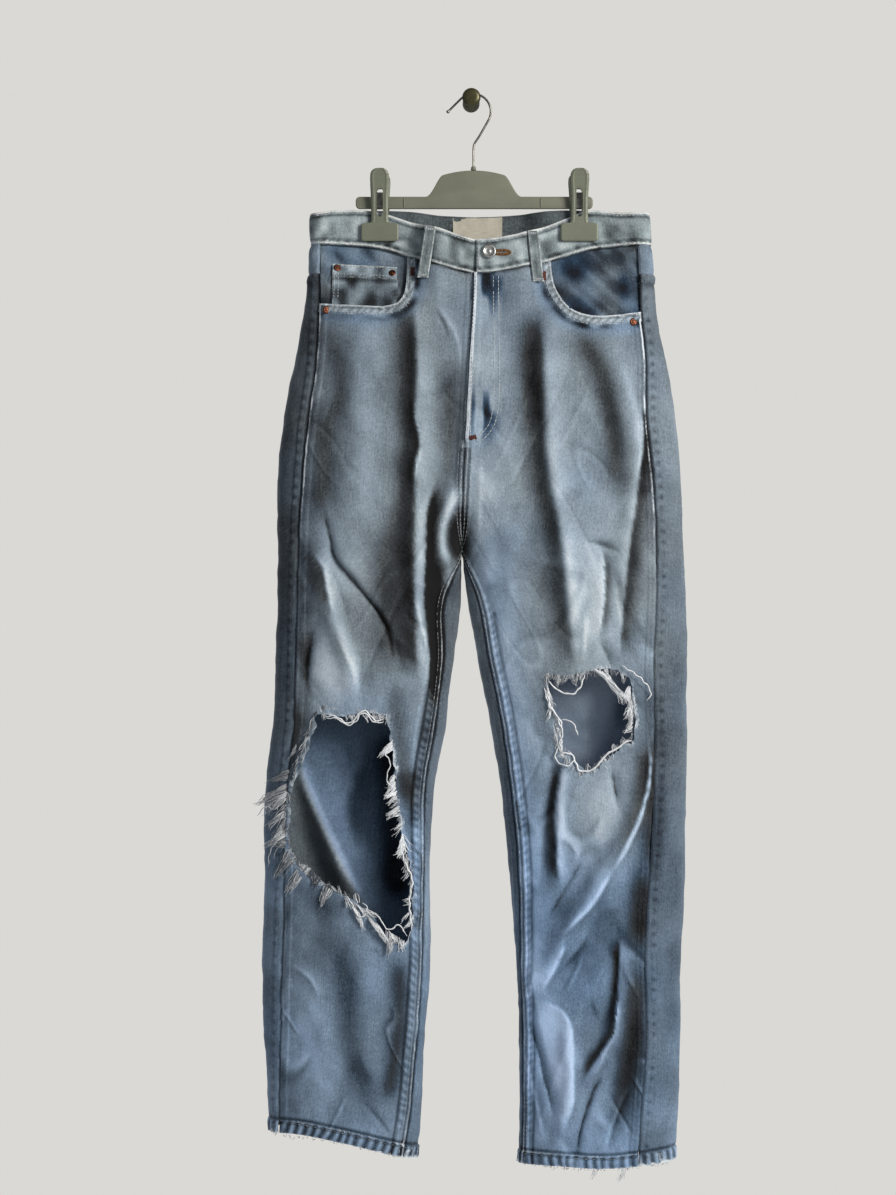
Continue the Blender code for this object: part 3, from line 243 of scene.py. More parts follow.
# Painted highlight and shade of the front's folds and creases under the light from the right, with the crotch's
# valleys painted near black; some pale crests are also rubbed wear.
FRONT_CREASE_SHADING = (
    Crease(0, -0.6, 0.08, 22, 12, ((-63, -215), (-62, -260), (-60, -300), (-61, -345), (-57, -368), (-55, -384),
        (-59, -398), (-61, -430), (-62, -480), (-62, -530), (-60, -580), (-58, -640))),
    patch(-0.16, 20, (-88, -430), (-90, -500), (-92, -560), (-96, -640)),
    patch(-0.3, 13, (-24, -285), (-24, -340), (-24, -400), (-30, -440)),
    Crease(0.16, 0, 0.08, 6, 10, ((-40, -226), (-28, -243), (-18, -262), (-13, -285), (-11, -305))),
    Crease(0, 0.1, -0.95, 10, 15, ((-36, -416), (-44, -436), (-49, -465), (-50, -500), (-50, -545), (-47, -580),
        (-45, -622), (-44, -665))),
    patch(-0.9, 13, (-14, -440), (-15, -470), (-14, -500), (-20, -520)),
    patch(-0.3, 14, (-40, -620), (-50, -680), (-60, -740), (-66, -800)),
    patch(0.55, 5, (-14, -424), (-24, -448), (-31, -470), (-31, -492), (-24, -512)),
    Crease(-0.5, 0.06, 0.08, 8, 10, ((-158, -448), (-154, -470), (-150, -485), (-148, -498), (-142, -509),
        (-132, -520), (-123, -530), (-112, -545), (-99, -561), (-91, -576), (-86, -595), (-84, -615))),
    Crease(-0.25, 0, 0, 4, 4, ((-82, -588), (-79, -600), (-76, -612))),
    Crease(0.45, -0.46, 0.22, 12, 13, ((-172, -494), (-165, -503), (-158, -515), (-155, -532), (-150, -556),
        (-146, -572))),
    Crease(-0.1, -0.05, 0.24, 8, 10, ((-148, -568), (-143, -588), (-136, -606), (-129, -625), (-124, -650))),
    Crease(-0.12, 0, 0, 4, 4, ((-153, -508), (-145, -525), (-138, -545), (-131, -570))),
    Crease(0.1, -0.7, 0.2, 9, 18, ((-166, -570), (-170, -598), (-174, -622), (-172, -642), (-162, -660))),
    patch(-0.3, 13, (-156, -236), (-146, -280), (-140, -318), (-146, -366)),
    patch(-0.36, 19, (-160, -322), (-158, -380), (-160, -430), (-170, -480)),
    patch(-0.26, 12, (-176, -470), (-176, -520), (-180, -570), (-184, -630)),
    Crease(0, 0.06, -0.2, 16, 16, ((-122, -600), (-121, -630), (-120, -662))),
    patch(-0.3, 12, (-84, -630), (-80, -670), (-76, -720), (-72, -780)),
    Crease(0.1, 0.1, 0.16, 6, 6, ((-44, -600), (-52, -640), (-60, -690), (-66, -740))),
    patch(-0.42, 15, (-186, -640), (-190, -690), (-204, -740), (-212, -790)),
    patch(-0.22, 16, (-196, -850), (-150, -880), (-135, -900)),
    patch(-0.18, 13, (-142, -900), (-138, -945), (-132, -1000), (-124, -1050), (-112, -1095)),
    patch(0.12, 20, (-182, -950), (-172, -1000), (-160, -1050), (-140, -1095)),
    patch(-0.38, 10, (-80, -925), (-77, -980), (-82, -1040), (-94, -1095)),
    patch(-0.26, 13, (66, -222), (63, -275), (64, -330), (68, -380)),
    Crease(0, -0.44, 0.12, 22, 14, ((74, -236), (76, -285), (77, -350), (79, -400), (85, -435), (91, -465),
        (97, -500), (100, -535), (103, -570), (109, -622))),
    patch(0.14, 11, (126, -470), (131, -520), (132, -560), (124, -606)),
    patch(-0.36, 15, (100, -250), (122, -276), (138, -302), (147, -340), (153, -390), (155, -445)),
    patch(0.14, 5, (160, -290), (171, -326), (178, -356), (179, -392), (175, -430), (168, -470)),
    Crease(-0.15, 0.1, -0.46, 8, 14, ((181, -335), (184, -375), (181, -412), (176, -445), (171, -478), (167, -512),
        (164, -548), (161, -580), (160, -612))),
    Crease(0.35, 0.14, -0.52, 8, 8, ((137, -490), (141, -508), (141, -535), (139, -562), (135, -588))),
    Crease(0, 0, 0.22, 3, 7, ((139, -492), (147, -511), (152, -532), (156, -560), (159, -588))),
    Crease(-0.4, 0, -0.05, 3, 6, ((120, -483), (133, -486), (147, -490), (160, -498))),
    Crease(-0.35, 0.05, -0.1, 6, 8, ((134, -586), (141, -599), (147, -611), (151, -624))),
    Crease(0.14, 0, 0, 5, 5, ((10, -395), (9, -440), (8, -480))),
    patch(-0.08, 9, (32, -460), (34, -520), (31, -570)),
    Crease(0.2, -0.66, 0.34, 11, 8, ((98, -716), (93, -750), (90, -778), (90, -805), (92, -832), (96, -856))),
    Crease(0, 0.1, 0, 9, 5, ((87, -716), (82, -758), (79, -795), (75, -822), (72, -856))),
    Crease(-0.5, 0, 0.06, 3, 7, ((149, -722), (151, -740), (154, -757), (157, -774))),
    Crease(0.85, -0.34, -0.2, 15, 8, ((187, -696), (191, -716), (189, -745), (182, -773), (171, -799), (158, -823),
        (147, -840))),
    Crease(0.6, 0.2, -0.2, 7, 10, ((150, -834), (141, -851), (133, -866), (122, -880), (108, -894), (96, -908))),
    Crease(-0.26, 0, 0, 6, 6, ((120, -822), (107, -846), (94, -868), (82, -890))),
    patch(-0.18, 12, (112, -850), (96, -880), (88, -905)),
    Crease(0.5, 0.22, -0.1, 9, 6, ((98, -906), (97, -922), (90, -940), (80, -958), (74, -972))),
    patch(0.2, 11, (62, -900), (66, -945), (72, -970)),
    Crease(0.5, -0.1, 0.24, 5, 10, ((68, -948), (62, -966), (56, -985))),
    Crease(0.26, 0.42, -0.12, 18, 9, ((66, -976), (84, -982), (99, -991), (106, -1010), (108, -1040), (108, -1070),
        (104, -1095), (93, -1124))),
    Crease(-0.1, 0.05, -0.4, 4, 7, ((60, -998), (66, -1018), (72, -1036), (76, -1058), (82, -1080), (88, -1104))),
    Crease(0.2, -0.6, 0.24, 7, 7, ((159, -908), (158, -945), (155, -982), (152, -1010), (141, -1029), (129, -1047),
        (119, -1066))),
    Crease(-0.5, -0.06, 0.16, 5, 9, ((142, -1056), (134, -1069), (127, -1086), (121, -1104), (116, -1124),
        (113, -1146))),
    patch(-0.28, 12, (176, -940), (173, -1000), (168, -1045), (160, -1085), (152, -1130)),
    patch(-0.34, 13, (184, -830), (180, -880), (174, -930)),
    Crease(0.2, 0.34, 0.34, 5, 5, ((215, -892), (209, -925), (205, -952), (199, -985), (193, -1012))),
    Crease(-0.3, -0.1, 0, 6, 3, ((213, -893), (205, -914), (196, -928), (188, -936))),
    Crease(-0.2, 0, -0.16, 3, 6, ((222, -918), (214, -946), (208, -972), (203, -1002))),
    Crease(-0.2, 0, 0, 4, 4, ((127, -972), (132, -988), (139, -1000))),
    Crease(-0.26, 0.05, -0.05, 5, 6, ((126, -904), (118, -920), (106, -934), (94, -947))),
    patch(-0.26, 14, (197, -690), (199, -760), (196, -850)),
    Crease(0.1, 0, 0, 3, 3, ((207, -628), (214, -648), (220, -670))),
    patch(0.1, 16, (134, -735), (128, -795)),
    patch(-0.2, 26, (186, -600), (190, -700), (192, -800), (186, -900), (182, -1000), (180, -1130)),
    patch(-0.1, 40, (120, -800), (130, -900), (140, -1000), (140, -1130)),
    patch(0.12, 14, (28, -560), (38, -640), (54, -760), (62, -880), (64, -980)),
    Crease(0.4, -0.2, 0.05, 7, 5, ((-61, -330), (-61, -352), (-56, -372), (-56, -388), (-60, -406), (-61, -430))),
    Crease(0.3, -0.16, 0.05, 5, 5, ((-62, -540), (-55, -574), (-48, -600), (-43, -626))),
    Crease(-0.3, 0.06, 0, 4, 3, ((-40, -232), (-30, -250), (-24, -268))),
    Crease(0.25, -0.1, 0.04, 5, 6, ((122, -560), (120, -590), (118, -616))),
    Crease(0.22, 0.05, -0.14, 6, 6, ((178, -340), (183, -368), (181, -398), (175, -424))),
    Crease(-0.22, 0.06, -0.08, 5, 8, ((150, -640), (172, -655), (186, -668))),
    Crease(0.22, -0.12, 0.05, 6, 6, ((206, -1040), (200, -1065), (197, -1100))),
    patch(-0.62, 9, (-38, -500), (-40, -560), (-38, -610), (-40, -650)),
    patch(0.26, 20, (-148, -584), (-148, -625), (-146, -672)),
    patch(0.14, 15, (12, -388), (11, -440), (14, -500)),
    patch(0.12, 18, (24, -480), (30, -560), (46, -660), (60, -740)),
    patch(-0.16, 14, (-96, -470), (-92, -540), (-90, -620)),
    patch(0.16, 20, (78, -950), (90, -1000), (96, -1070)),
    patch(0.12, 22, (-184, -950), (-180, -1020), (-168, -1080)),
    patch(0.14, 14, (92, -470), (100, -530), (112, -590)),
    Crease(0.28, 0, -0.1, 6, 8, ((55, -1028), (62, -1060), (70, -1092), (78, -1132))),
    patch(0.2, 15, (64, -978), (76, -1004), (90, -1044), (92, -1080)),
    patch(0.22, 12, (52, -966), (56, -1000), (60, -1040), (68, -1090)),
    Crease(0.26, -0.12, 0.06, 7, 7, ((-205, -556), (-200, -576), (-196, -592))),
    Crease(0.26, -0.12, 0.1, 7, 7, ((-196, -938), (-182, -946), (-170, -958), (-163, -977))),
    Crease(-0.2, 0, 0.1, 5, 7, ((-116, -924), (-104, -922), (-93, -930))),
    Crease(-0.22, 0.08, 0, 5, 5, ((-118, -1082), (-106, -1096), (-94, -1112))),
    Crease(-0.22, 0.08, 0, 5, 5, ((-106, -1096), (-95, -1110), (-84, -1126))),
    Crease(0.2, 0.06, -0.12, 7, 7, ((150, -962), (156, -985), (150, -1012), (140, -1040), (130, -1062))),
    patch(-0.08, 24, (-150, -880), (-130, -960), (-110, -1060), (-100, -1120)),
)
# Painted highlight and shade inside the tears: a painted pale line along the fold's ridge, and painted shade beside it
# and in the hollows.
LINING_CREASE_SHADING = (
    Crease(1.1, -0.16, 0.06, 10, 24, ((-187, -716), (-182, -742), (-171, -770), (-159, -796), (-147, -821),
        (-134, -848), (-118, -878))),
    Crease(0, 0.05, -0.26, 20, 26, ((-117, -680), (-121, -725), (-134, -762), (-132, -795), (-120, -840))),
    patch(-0.46, 15, (-92, -680), (-88, -760), (-84, -880)),
    patch(-0.35, 16, (-110, -840), (-84, -850), (-70, -900)),
    Crease(0.9, 0.14, -0.26, 14, 16, ((134, -636), (124, -662), (116, -688), (110, -712))),
    Crease(0.4, 0, -0.12, 6, 8, ((112, -668), (128, -676), (146, -684), (158, -684))),
    Crease(-0.3, 0.06, 0, 8, 6, ((96, -652), (108, -660), (120, -664))),
    patch(-0.35, 12, (162, -640), (165, -670), (161, -700)),
)
FACING_CREASES = (
    patch(-0.3, 14, (84, -196), (104, -182), (136, -176)),
    patch(0.22, 15, (118, -198), (140, -210), (156, -226)),
    patch(-0.24, 12, (96, -214), (108, -232), (132, -246)),
    patch(-0.26, 6, (164, -184), (167, -230)),
    patch(0.26, 9, (-160, -176), (-158, -208)),
    patch(-0.22, 6, (-164, -216), (-158, -250)),
)
BACK_FOLDS = (
    Fold(6, 20, 20, ((100, -400), (96, -560), (112, -700))),
    Fold(-6, 14, 16, ((52, -470), (66, -620), (82, -760))),
    Fold(-5, 14, 14, ((165, -520), (150, -680), (124, -800))),
    Fold(5.5, 12, 12, ((75, -860), (118, -945), (176, -1000))),
    Fold(-5, 12, 13, ((155, -950), (120, -1040), (98, -1110))),
    Fold(6, 20, 20, ((-100, -400), (-92, -520), (-100, -620))),
    Fold(-6, 14, 16, ((-55, -480), (-60, -580), (-62, -660))),
    Fold(-5, 14, 14, ((-155, -480), (-156, -580), (-150, -660))),
    Fold(-19, 16, 46, ((-186, -715), (-166, -780), (-142, -840), (-112, -905))),
    Fold(-11, 40, 40, ((-130, -660), (-132, -760), (-110, -880))),
    Fold(-6, 20, 8, ((-98, -770), (-102, -800), (-94, -845))),
    Fold(-26, 34, 36, ((118, -610), (122, -670), (126, -750))),
    Fold(5, 12, 12, ((-185, -930), (-145, -980), (-90, -1010))),
    Fold(-5, 12, 13, ((-155, -985), (-128, -1050), (-110, -1110))),
)
# Painted highlight and shade along the back's folds: one flank painted paler, the other darker.
BACK_CREASE_SHADING = (
    patch(0.12, 30, (98, -420), (96, -560), (112, -720)),
    patch(0.12, 30, (-98, -420), (-94, -560), (-104, -720)),
    Crease(-0.16, 0.1, -0.14, 9, 9, ((56, -600), (84, -622), (120, -640), (170, -648))),
    Crease(-0.16, 0.1, -0.14, 9, 9, ((-70, -566), (-104, -584), (-140, -616), (-182, -622))),
    Crease(-0.12, 0.1, -0.16, 10, 12, ((150, -655), (120, -690), (90, -735), (70, -790))),
    Crease(-0.12, -0.16, 0.1, 12, 10, ((-196, -676), (-158, -694), (-112, -742), (-88, -810))),
    patch(-0.2, 16, (60, -470), (70, -620), (86, -760)),
    patch(-0.2, 16, (-78, -440), (-84, -560), (-74, -680)),
    Crease(0, -0.18, 0.1, 18, 14, ((165, -520), (150, -680), (124, -800))),
    Crease(0, 0.1, -0.18, 14, 18, ((-158, -480), (-158, -580), (-150, -680))),
    Crease(0.1, 0.12, -0.16, 12, 12, ((70, -850), (118, -945), (176, -1000))),
    Crease(0.1, 0.12, -0.16, 12, 12, ((-190, -930), (-145, -980), (-88, -1010))),
    patch(-0.18, 13, (155, -950), (120, -1040), (98, -1110)),
    patch(-0.18, 13, (-155, -985), (-128, -1050), (-110, -1110)),
)

KNEE_HOLES = {
    Side.RIGHT: (
        (-165, -669), (-148, -671), (-125, -671), (-104, -669), (-91, -673), (-87, -700), (-83, -730), (-80, -765),
        (-74, -800), (-67, -832), (-64, -866), (-64, -898), (-73, -916), (-84, -913), (-99, -896), (-118, -875),
        (-137, -862), (-158, -853), (-180, -840), (-194, -822), (-197, -795), (-195, -768), (-190, -745),
        (-181, -723), (-173, -700), (-168, -684),
    ),
    Side.LEFT: (
        (80, -631), (96, -634), (116, -629), (138, -620), (158, -625), (168, -634), (172, -655), (174, -676),
        (172, -696), (158, -706), (138, -723), (121, -731), (110, -715), (96, -713), (91, -697), (89, -676),
        (83, -655),
    ),
}
POCKET_MOUTHS = {
    Side.RIGHT: (
        (-70, -172), (-70.3, -190), (-71, -205), (-73.5, -217), (-79, -225.5), (-87, -229.5), (-100, -231),
        (-130, -229.5), (-172, -226.2),
    ),
    Side.LEFT: (
        (87, -176), (88, -193), (91, -208), (96.5, -220), (104, -230.5), (115, -237.5), (133, -241.5), (156, -240.2),
        (194, -234.5),
    ),
}
MOUTH_OUTSIDE = {Side.RIGHT: -0.30, Side.LEFT: 0.30}
MOUTH_ABOVE = -0.10
COIN_POCKET = (-0.151, -0.080, -0.1810, -0.1845, -0.258)
FLY_EDGE = ((2, -190), (-2, -258), (-5, -376))
FLY_STITCH = ((29, -194), (29, -320), (27.5, -345), (22.5, -363), (10, -378), (0, -383))
BAND_END, UNDERLAP = 0.0057, 0.030
LABEL_LEFT, LABEL_RIGHT, LABEL_HEIGHT = -0.020, 0.034, 0.026


# ------------------------------------------------------------------ curves, noise and distances


def table(columns: Sequence[str], rows: Iterable[Sequence[float]]) -> dict[str, Array]:
    """A short table as one array for each named column, sorted by its first column."""
    return dict(zip(columns, np.array(sorted(rows)).T))


LEG_TABLE = {side: table(LEG_COLUMNS, rows) for side, rows in LEG_ROWS.items()}
DEPTH_TABLE = table(DEPTH_COLUMNS, DEPTH_ROWS)
WAIST_TABLE = {face: table(WAIST_COLUMNS, rows) for face, rows in WAIST_ROWS.items()}
HEM_TABLE = {side: table(HEM_COLUMNS, rows) for side, rows in HEM_ROWS.items()}


def curve(rows: Mapping[str, Array], column: str, at: Array) -> Array:
    """A smooth curve through one column of a table.

    Cubic pieces between the table's rows, whose slopes at a row are those of its neighbours.

    Args:
        rows: The table, from `table`.
        column: The column to read.
        at: Where to read it, along the table's first column.

    Returns:
        The column's value at each place, held level past the table's ends.
    """
    knots, values = next(iter(rows.values())), rows[column]
    slopes = np.gradient(values, knots)
    at = np.clip(at, knots[0], knots[-1])
    left = np.clip(np.searchsorted(knots, at, side="right") - 1, 0, len(knots) - 2)
    step = knots[left + 1] - knots[left]
    t = (at - knots[left]) / step
    start = values[left] * (1 + 2 * t) * (1 - t) ** 2 + slopes[left] * step * t * (1 - t) ** 2
    return start + values[left + 1] * t**2 * (3 - 2 * t) - slopes[left + 1] * step * t**2 * (1 - t)


def smoothstep(low: float, high: float, value: Array) -> Array:
    """0 at low, 1 at high, with soft ends. low may be above high."""
    t = np.clip((value - low) / (high - low), 0, 1)
    return t * t * (3 - 2 * t)


def bell(distance: Array, width: Array | float) -> Array:
    """1 at a distance of nothing, falling off on both sides as a Gaussian of that width."""
    return np.exp(-((distance / width) ** 2))


def lengths_along(places: Array) -> Array:
    """The length travelled from the first place to each."""
    return np.concatenate([[0], np.cumsum(np.linalg.norm(np.diff(places, axis=0), axis=1))])


def smoothed(values: Array, reach: int) -> Array:
    """Each value as the mean of itself and its neighbours, so many on each side."""
    window = 2 * reach + 1
    return np.convolve(np.pad(values, reach, mode="edge"), np.ones(window) / window, "valid")


def spline(places: Sequence[Sequence[float]], spacing: float, closed: bool = False) -> Array:
    """A Catmull-Rom curve through places, as points an equal distance apart.

    Args:
        places: The places it goes through, of two or three coordinates.
        spacing: The distance between the points that are returned.
        closed: Whether it comes back to its first place.

    Returns:
        The points, one row each. A closed curve doesn't repeat its first point.
    """
    knots = np.array(places, float)
    knots = np.concatenate([knots[-1:], knots, knots[:2]]) if closed else np.concatenate(
        [2 * knots[:1] - knots[1:2], knots, 2 * knots[-1:] - knots[-2:-1]]
    )
    t = np.linspace(0, 1, 24, endpoint=False)[:, None, None]
    before, here, after, later = knots[:-3], knots[1:-2], knots[2:-1], knots[3:]
    fine = 0.5 * (
        2 * here
        + (after - before) * t
        + (2 * before - 5 * here + 4 * after - later) * t**2
        + (3 * here - before - 3 * after + later) * t**3
    )
    fine = np.concatenate([fine.transpose(1, 0, 2).reshape(-1, knots.shape[1]), knots[-2:-1]])
    travelled = lengths_along(fine)
    at = np.linspace(0, travelled[-1], max(int(round(travelled[-1] / spacing)), 2) + 1)
    points = np.stack([np.interp(at, travelled, column) for column in fine.T], -1)
    return points[:-1] if closed else points


LATTICE = (97, 89)  # random values along each side; two primes, so that no row of it soon repeats


def cloud(a: Array, b: Array, size: float, seed: int) -> Array:
    """Smooth random heights between -1 and 1.

    Random values stand on a square lattice of that size and are blended with soft steps.

    Args:
        a: First coordinate, in metres.
        b: Second coordinate.
        size: The lattice's spacing.
        seed: Which lattice to use.

    Returns:
        The height at each place.
    """
    lattice = np.random.default_rng(seed).uniform(-1, 1, LATTICE)
    a, b = np.broadcast_arrays(a / size, b / size)
    i, j = np.floor(a).astype(int), np.floor(b).astype(int)
    s, t = (w * w * (3 - 2 * w) for w in (a - i, b - j))

    def value(di: int, dj: int) -> Array:
        """The lattice's values at one corner of each place's square."""
        return lattice[(i + di) % LATTICE[0], (j + dj) % LATTICE[1]]

    return (value(0, 0) * (1 - s) + value(1, 0) * s) * (1 - t) + (
        value(0, 1) * (1 - s) + value(1, 1) * s
    ) * t


def nearest_on(route: Array, x: Array, z: Array) -> tuple[Array, Array, Array]:
    """The distance from places to a route of close points.

    Args:
        route: The route's points, as x, z.
        x: The places' x, in one row.
        z: Their z.

    Returns:
        The distances, the index of each nearest point, and on which side of the route each place
        lies: positive is to the right of a route that runs downwards.
    """
    dx, dz = x[:, None] - route[:, 0], z[:, None] - route[:, 1]
    squared = dx * dx + dz * dz
    nearest = squared.argmin(1)
    rows = np.arange(len(x))
    along = np.gradient(route, axis=0)[nearest]
    side = along[:, 0] * dz[rows, nearest] - along[:, 1] * dx[rows, nearest]
    return np.sqrt(squared[rows, nearest]), nearest, side


def around(route: Array, x: Array, z: Array, margin: float) -> Array:
    """Which places lie in the box round a route, widened by a margin."""
    low, high = route.min(0) - margin, route.max(0) + margin
    return (x > low[0]) & (x < high[0]) & (z > low[1]) & (z < high[1])


def relief(rows: Iterable[Fold], x: Array, z: Array) -> Array:
    """The sum of folds over a face.

    Each falls off from its route as a Gaussian with a width for each flank, and fades to its ends.

    Args:
        rows: The folds.
        x: The places' x, of any shape.
        z: Their z.

    Returns:
        The height at each place.
    """
    total = np.zeros(x.shape)
    for row in rows:
        route = spline(metres(row.route), 0.004)
        height, left, right = (size / 1000 for size in (row.height, row.left, row.right))
        near = around(route, x, z, 2.6 * max(left, right))
        if near.any():
            distance, nearest, side = nearest_on(route, x[near], z[near])
            fade = np.sqrt(np.sin(np.pi * np.clip(nearest / (len(route) - 1), 0.03, 0.97)))
            total[near] += height * fade * bell(distance, np.where(side > 0, right, left))
    return total


def tones(rows: Iterable[Crease], x: Array, z: Array, line_width: float = 0.0022) -> Array:
    """The sum of creases' tones over a face: on the legs, painted highlight and shade.

    Each side's tone falls off as a Gaussian from the route, changes to the other side's across a
    width that grows with its reach, and fades to the route's ends.

    Args:
        rows: The creases.
        x: The places' x, of any shape.
        z: Their z.
        line_width: How wide a crease's line is drawn; no finer than the grid can carry.

    Returns:
        The tone at each place.
    """
    total = np.zeros(x.shape)
    for row in rows:
        route = spline(metres(row.route), 0.003)
        near = around(route, x, z, 0.0025 * max(row.left_reach, row.right_reach, 2))
        if near.any():
            distance, nearest, side = nearest_on(route, x[near], z[near])
            broad = max(row.left_reach, row.right_reach) / 1000
            soft = 0.0016 + 0.16 * broad
            to_right = smoothstep(-soft, soft, distance * np.sign(side))
            tone = row.left + (row.right - row.left) * to_right
            reach = np.where(side > 0, row.right_reach, row.left_reach) / 1000
            end = np.minimum(nearest, len(route) - 1 - nearest) * 0.003
            total[near] += smoothstep(-0.002, 0.008 + 2.0 * broad, end) * (
                tone * bell(distance, reach) + row.line * bell(distance, line_width)
            )
    return total


def inside(outline: Array, x: Array, z: Array) -> Array:
    """Whether places lie inside a closed outline: a line to the right crosses it an odd number of times.

    Args:
        outline: The outline's points, as x, z.
        x: The places' x.
        z: Their z.

    Returns:
        True for each place inside.
    """
    after = np.roll(outline, -1, axis=0)
    count = np.zeros(x.shape, int)
    for (x0, z0), (x1, z1) in zip(outline, after):
        if z0 != z1:
            crosses = (z0 > z) != (z1 > z)
            count += crosses & (x < (x1 - x0) * (z - z0) / (z1 - z0) + x0)
    return count % 2 == 1


# ------------------------------------------------------------------ the hanging form


def pinch(x: Array, level: Array) -> Array:
    """1 where a clip presses the front and back waistbands together, 0 where the cloth is free.

    Args:
        x: The points' x.
        level: Height before the waist's dip and the hem's slant.

    Returns:
        The share that is pinched, from 0 to 1.
    """
    total = np.zeros(np.broadcast(x, level).shape)
    for side, clip_x in CLIP_X.items():
        outward = (x - clip_x) * (1 if side is Side.LEFT else -1)
        free = np.where(outward > 0, PINCH_OUTWARD, PINCH_INWARD)
        total += 1 - smoothstep(PINCH_FLAT, free, np.abs(outward))
    return total * smoothstep(PINCH_FADE_LEVEL, PINCH_LEVEL, level)


def drop(side: Side, x: Array, level: Array, on_front: Array) -> Array:
    """How far a point hangs from its level, because the waist's edges dip and the hem slants.

    Args:
        side: The wearer's side of the leg.
        x: The points' x.
        level: Height before the waist's dip and the hem's slant.
        on_front: Which points are on the front.

    Returns:
        What to add to each level to get its z.
    """
    result = np.zeros(np.broadcast(x, level).shape)
    for face, chosen in (("front", on_front), ("back", ~on_front)):
        top = curve(WAIST_TABLE[face], "top", x) - TOP_LEVEL
        seam = curve(WAIST_TABLE[face], "seam", x) - SEAM_LEVEL
        up_band = np.clip((level - SEAM_LEVEL) / (TOP_LEVEL - SEAM_LEVEL), 0, 1)
        fade = smoothstep(WAIST_FADE_LEVEL, SEAM_LEVEL, level)
        result = np.where(chosen, (seam + (top - seam) * up_band) * fade, result)
    hem = curve(HEM_TABLE[side], "edge", x) - HEM_LEVEL
    return result + hem * smoothstep(HEM_FADE_LEVEL, HEM_LEVEL, level)


def closing(across: Array, level: Array, on_front: Array) -> Array:
    """1 where a section closes at its edge, and less at the centre seam above the crotch.

    Args:
        across: -1 at the outer edge of the leg's section, 1 at its inner edge.
        level: Height before the waist's dip and the hem's slant.
        on_front: Which points are on the front.

    Returns:
        How far the section closes, from 0 to 1.
    """
    left = np.where(
        on_front, curve(DEPTH_TABLE, "centre_front", level), curve(DEPTH_TABLE, "centre_back", level)
    )
    return np.where(across > 0, 1 - np.clip(left, 0, 1) ** ROUNDNESS, 1)


def leg_face(side: Side, level: Array, turn: Array) -> Array:
    """Points of a leg's outer face.

    x runs between the two silhouettes as the cosine of turn. y leaves the middle plane by the
    section's reach, folds included, times (1 - |across|^n)^(1/n), a flattened oval.

    Args:
        side: The wearer's side of the leg.
        level: Height before the waist's dip and the hem's slant.
        turn: 0 at the inner edge, pi at the outer edge by way of the front, 2 pi back at the inner.

    Returns:
        The points, with x, y, z along the last axis.
    """
    level, turn = np.broadcast_arrays(np.asarray(level, float), np.asarray(turn, float))
    leg = LEG_TABLE[side]
    outer, inner = curve(leg, "outer", level), curve(leg, "inner", level)
    across = np.cos(turn)
    x = (outer + inner) / 2 + across * (inner - outer) / 2
    on_front = np.sin(turn) >= 0
    z = level + drop(side, x, level, on_front)
    slack = 1 - pinch(x, level)
    free = smoothstep(0.0, 0.035, SEAM_LEVEL - level)
    creases = 1.2 * relief(FRONT_FOLDS, x, z) + CREASE_HEIGHT * tones(FRONT_CREASE_SHADING, x, z)
    front = curve(DEPTH_TABLE, "front", level) * slack + creases * free
    back = curve(DEPTH_TABLE, "back", level) * slack + relief(BACK_FOLDS, x, z) * free
    reach = BAND + np.where(on_front, front, back)
    share = np.clip(1 - closing(across, level, on_front) * np.abs(across) ** ROUNDNESS, 0, 1)
    y = curve(DEPTH_TABLE, "middle", level) + share ** (1 / ROUNDNESS) * reach * np.where(
        on_front, -1, 1
    )
    return np.stack([x, y, z], -1)


def seam_turn(side: Side, level: Array, seam: str) -> Array:
    """The turn of a seam, from its x in the leg's table.

    Args:
        side: The wearer's side of the leg.
        level: Height before the waist's dip and the hem's slant.
        seam: The seam's column in the table.

    Returns:
        The turn, as `leg_face` takes it.
    """
    leg = LEG_TABLE[side]
    outer, inner = curve(leg, "outer", level), curve(leg, "inner", level)
    across = (2 * curve(leg, seam, level) - outer - inner) / (inner - outer)
    return np.arccos(np.clip(across, -1, 1))


def turn_at(side: Side, x: Array, level: Array, front: bool = True) -> Array:
    """The turn of a point of given x on a leg's front or back.

    Args:
        side: The wearer's side of the leg.
        x: The points' x.
        level: Height before the waist's dip and the hem's slant.
        front: Whether they are on the front.

    Returns:
        The turn, as `leg_face` takes it.
    """
    leg = LEG_TABLE[side]
    outer, inner = curve(leg, "outer", level), curve(leg, "inner", level)
    turn = np.arccos(np.clip((2 * x - outer - inner) / (inner - outer), -1, 1))
    return turn if front else 2 * math.pi - turn


def front_depth(side: Side, x: Array, z: Array) -> Array:
    """The y of a leg's front at x and z, where level and height are the same, as at the knees."""
    return leg_face(side, z, turn_at(side, x, z))[..., 1]


# ------------------------------------------------------------------ meshes


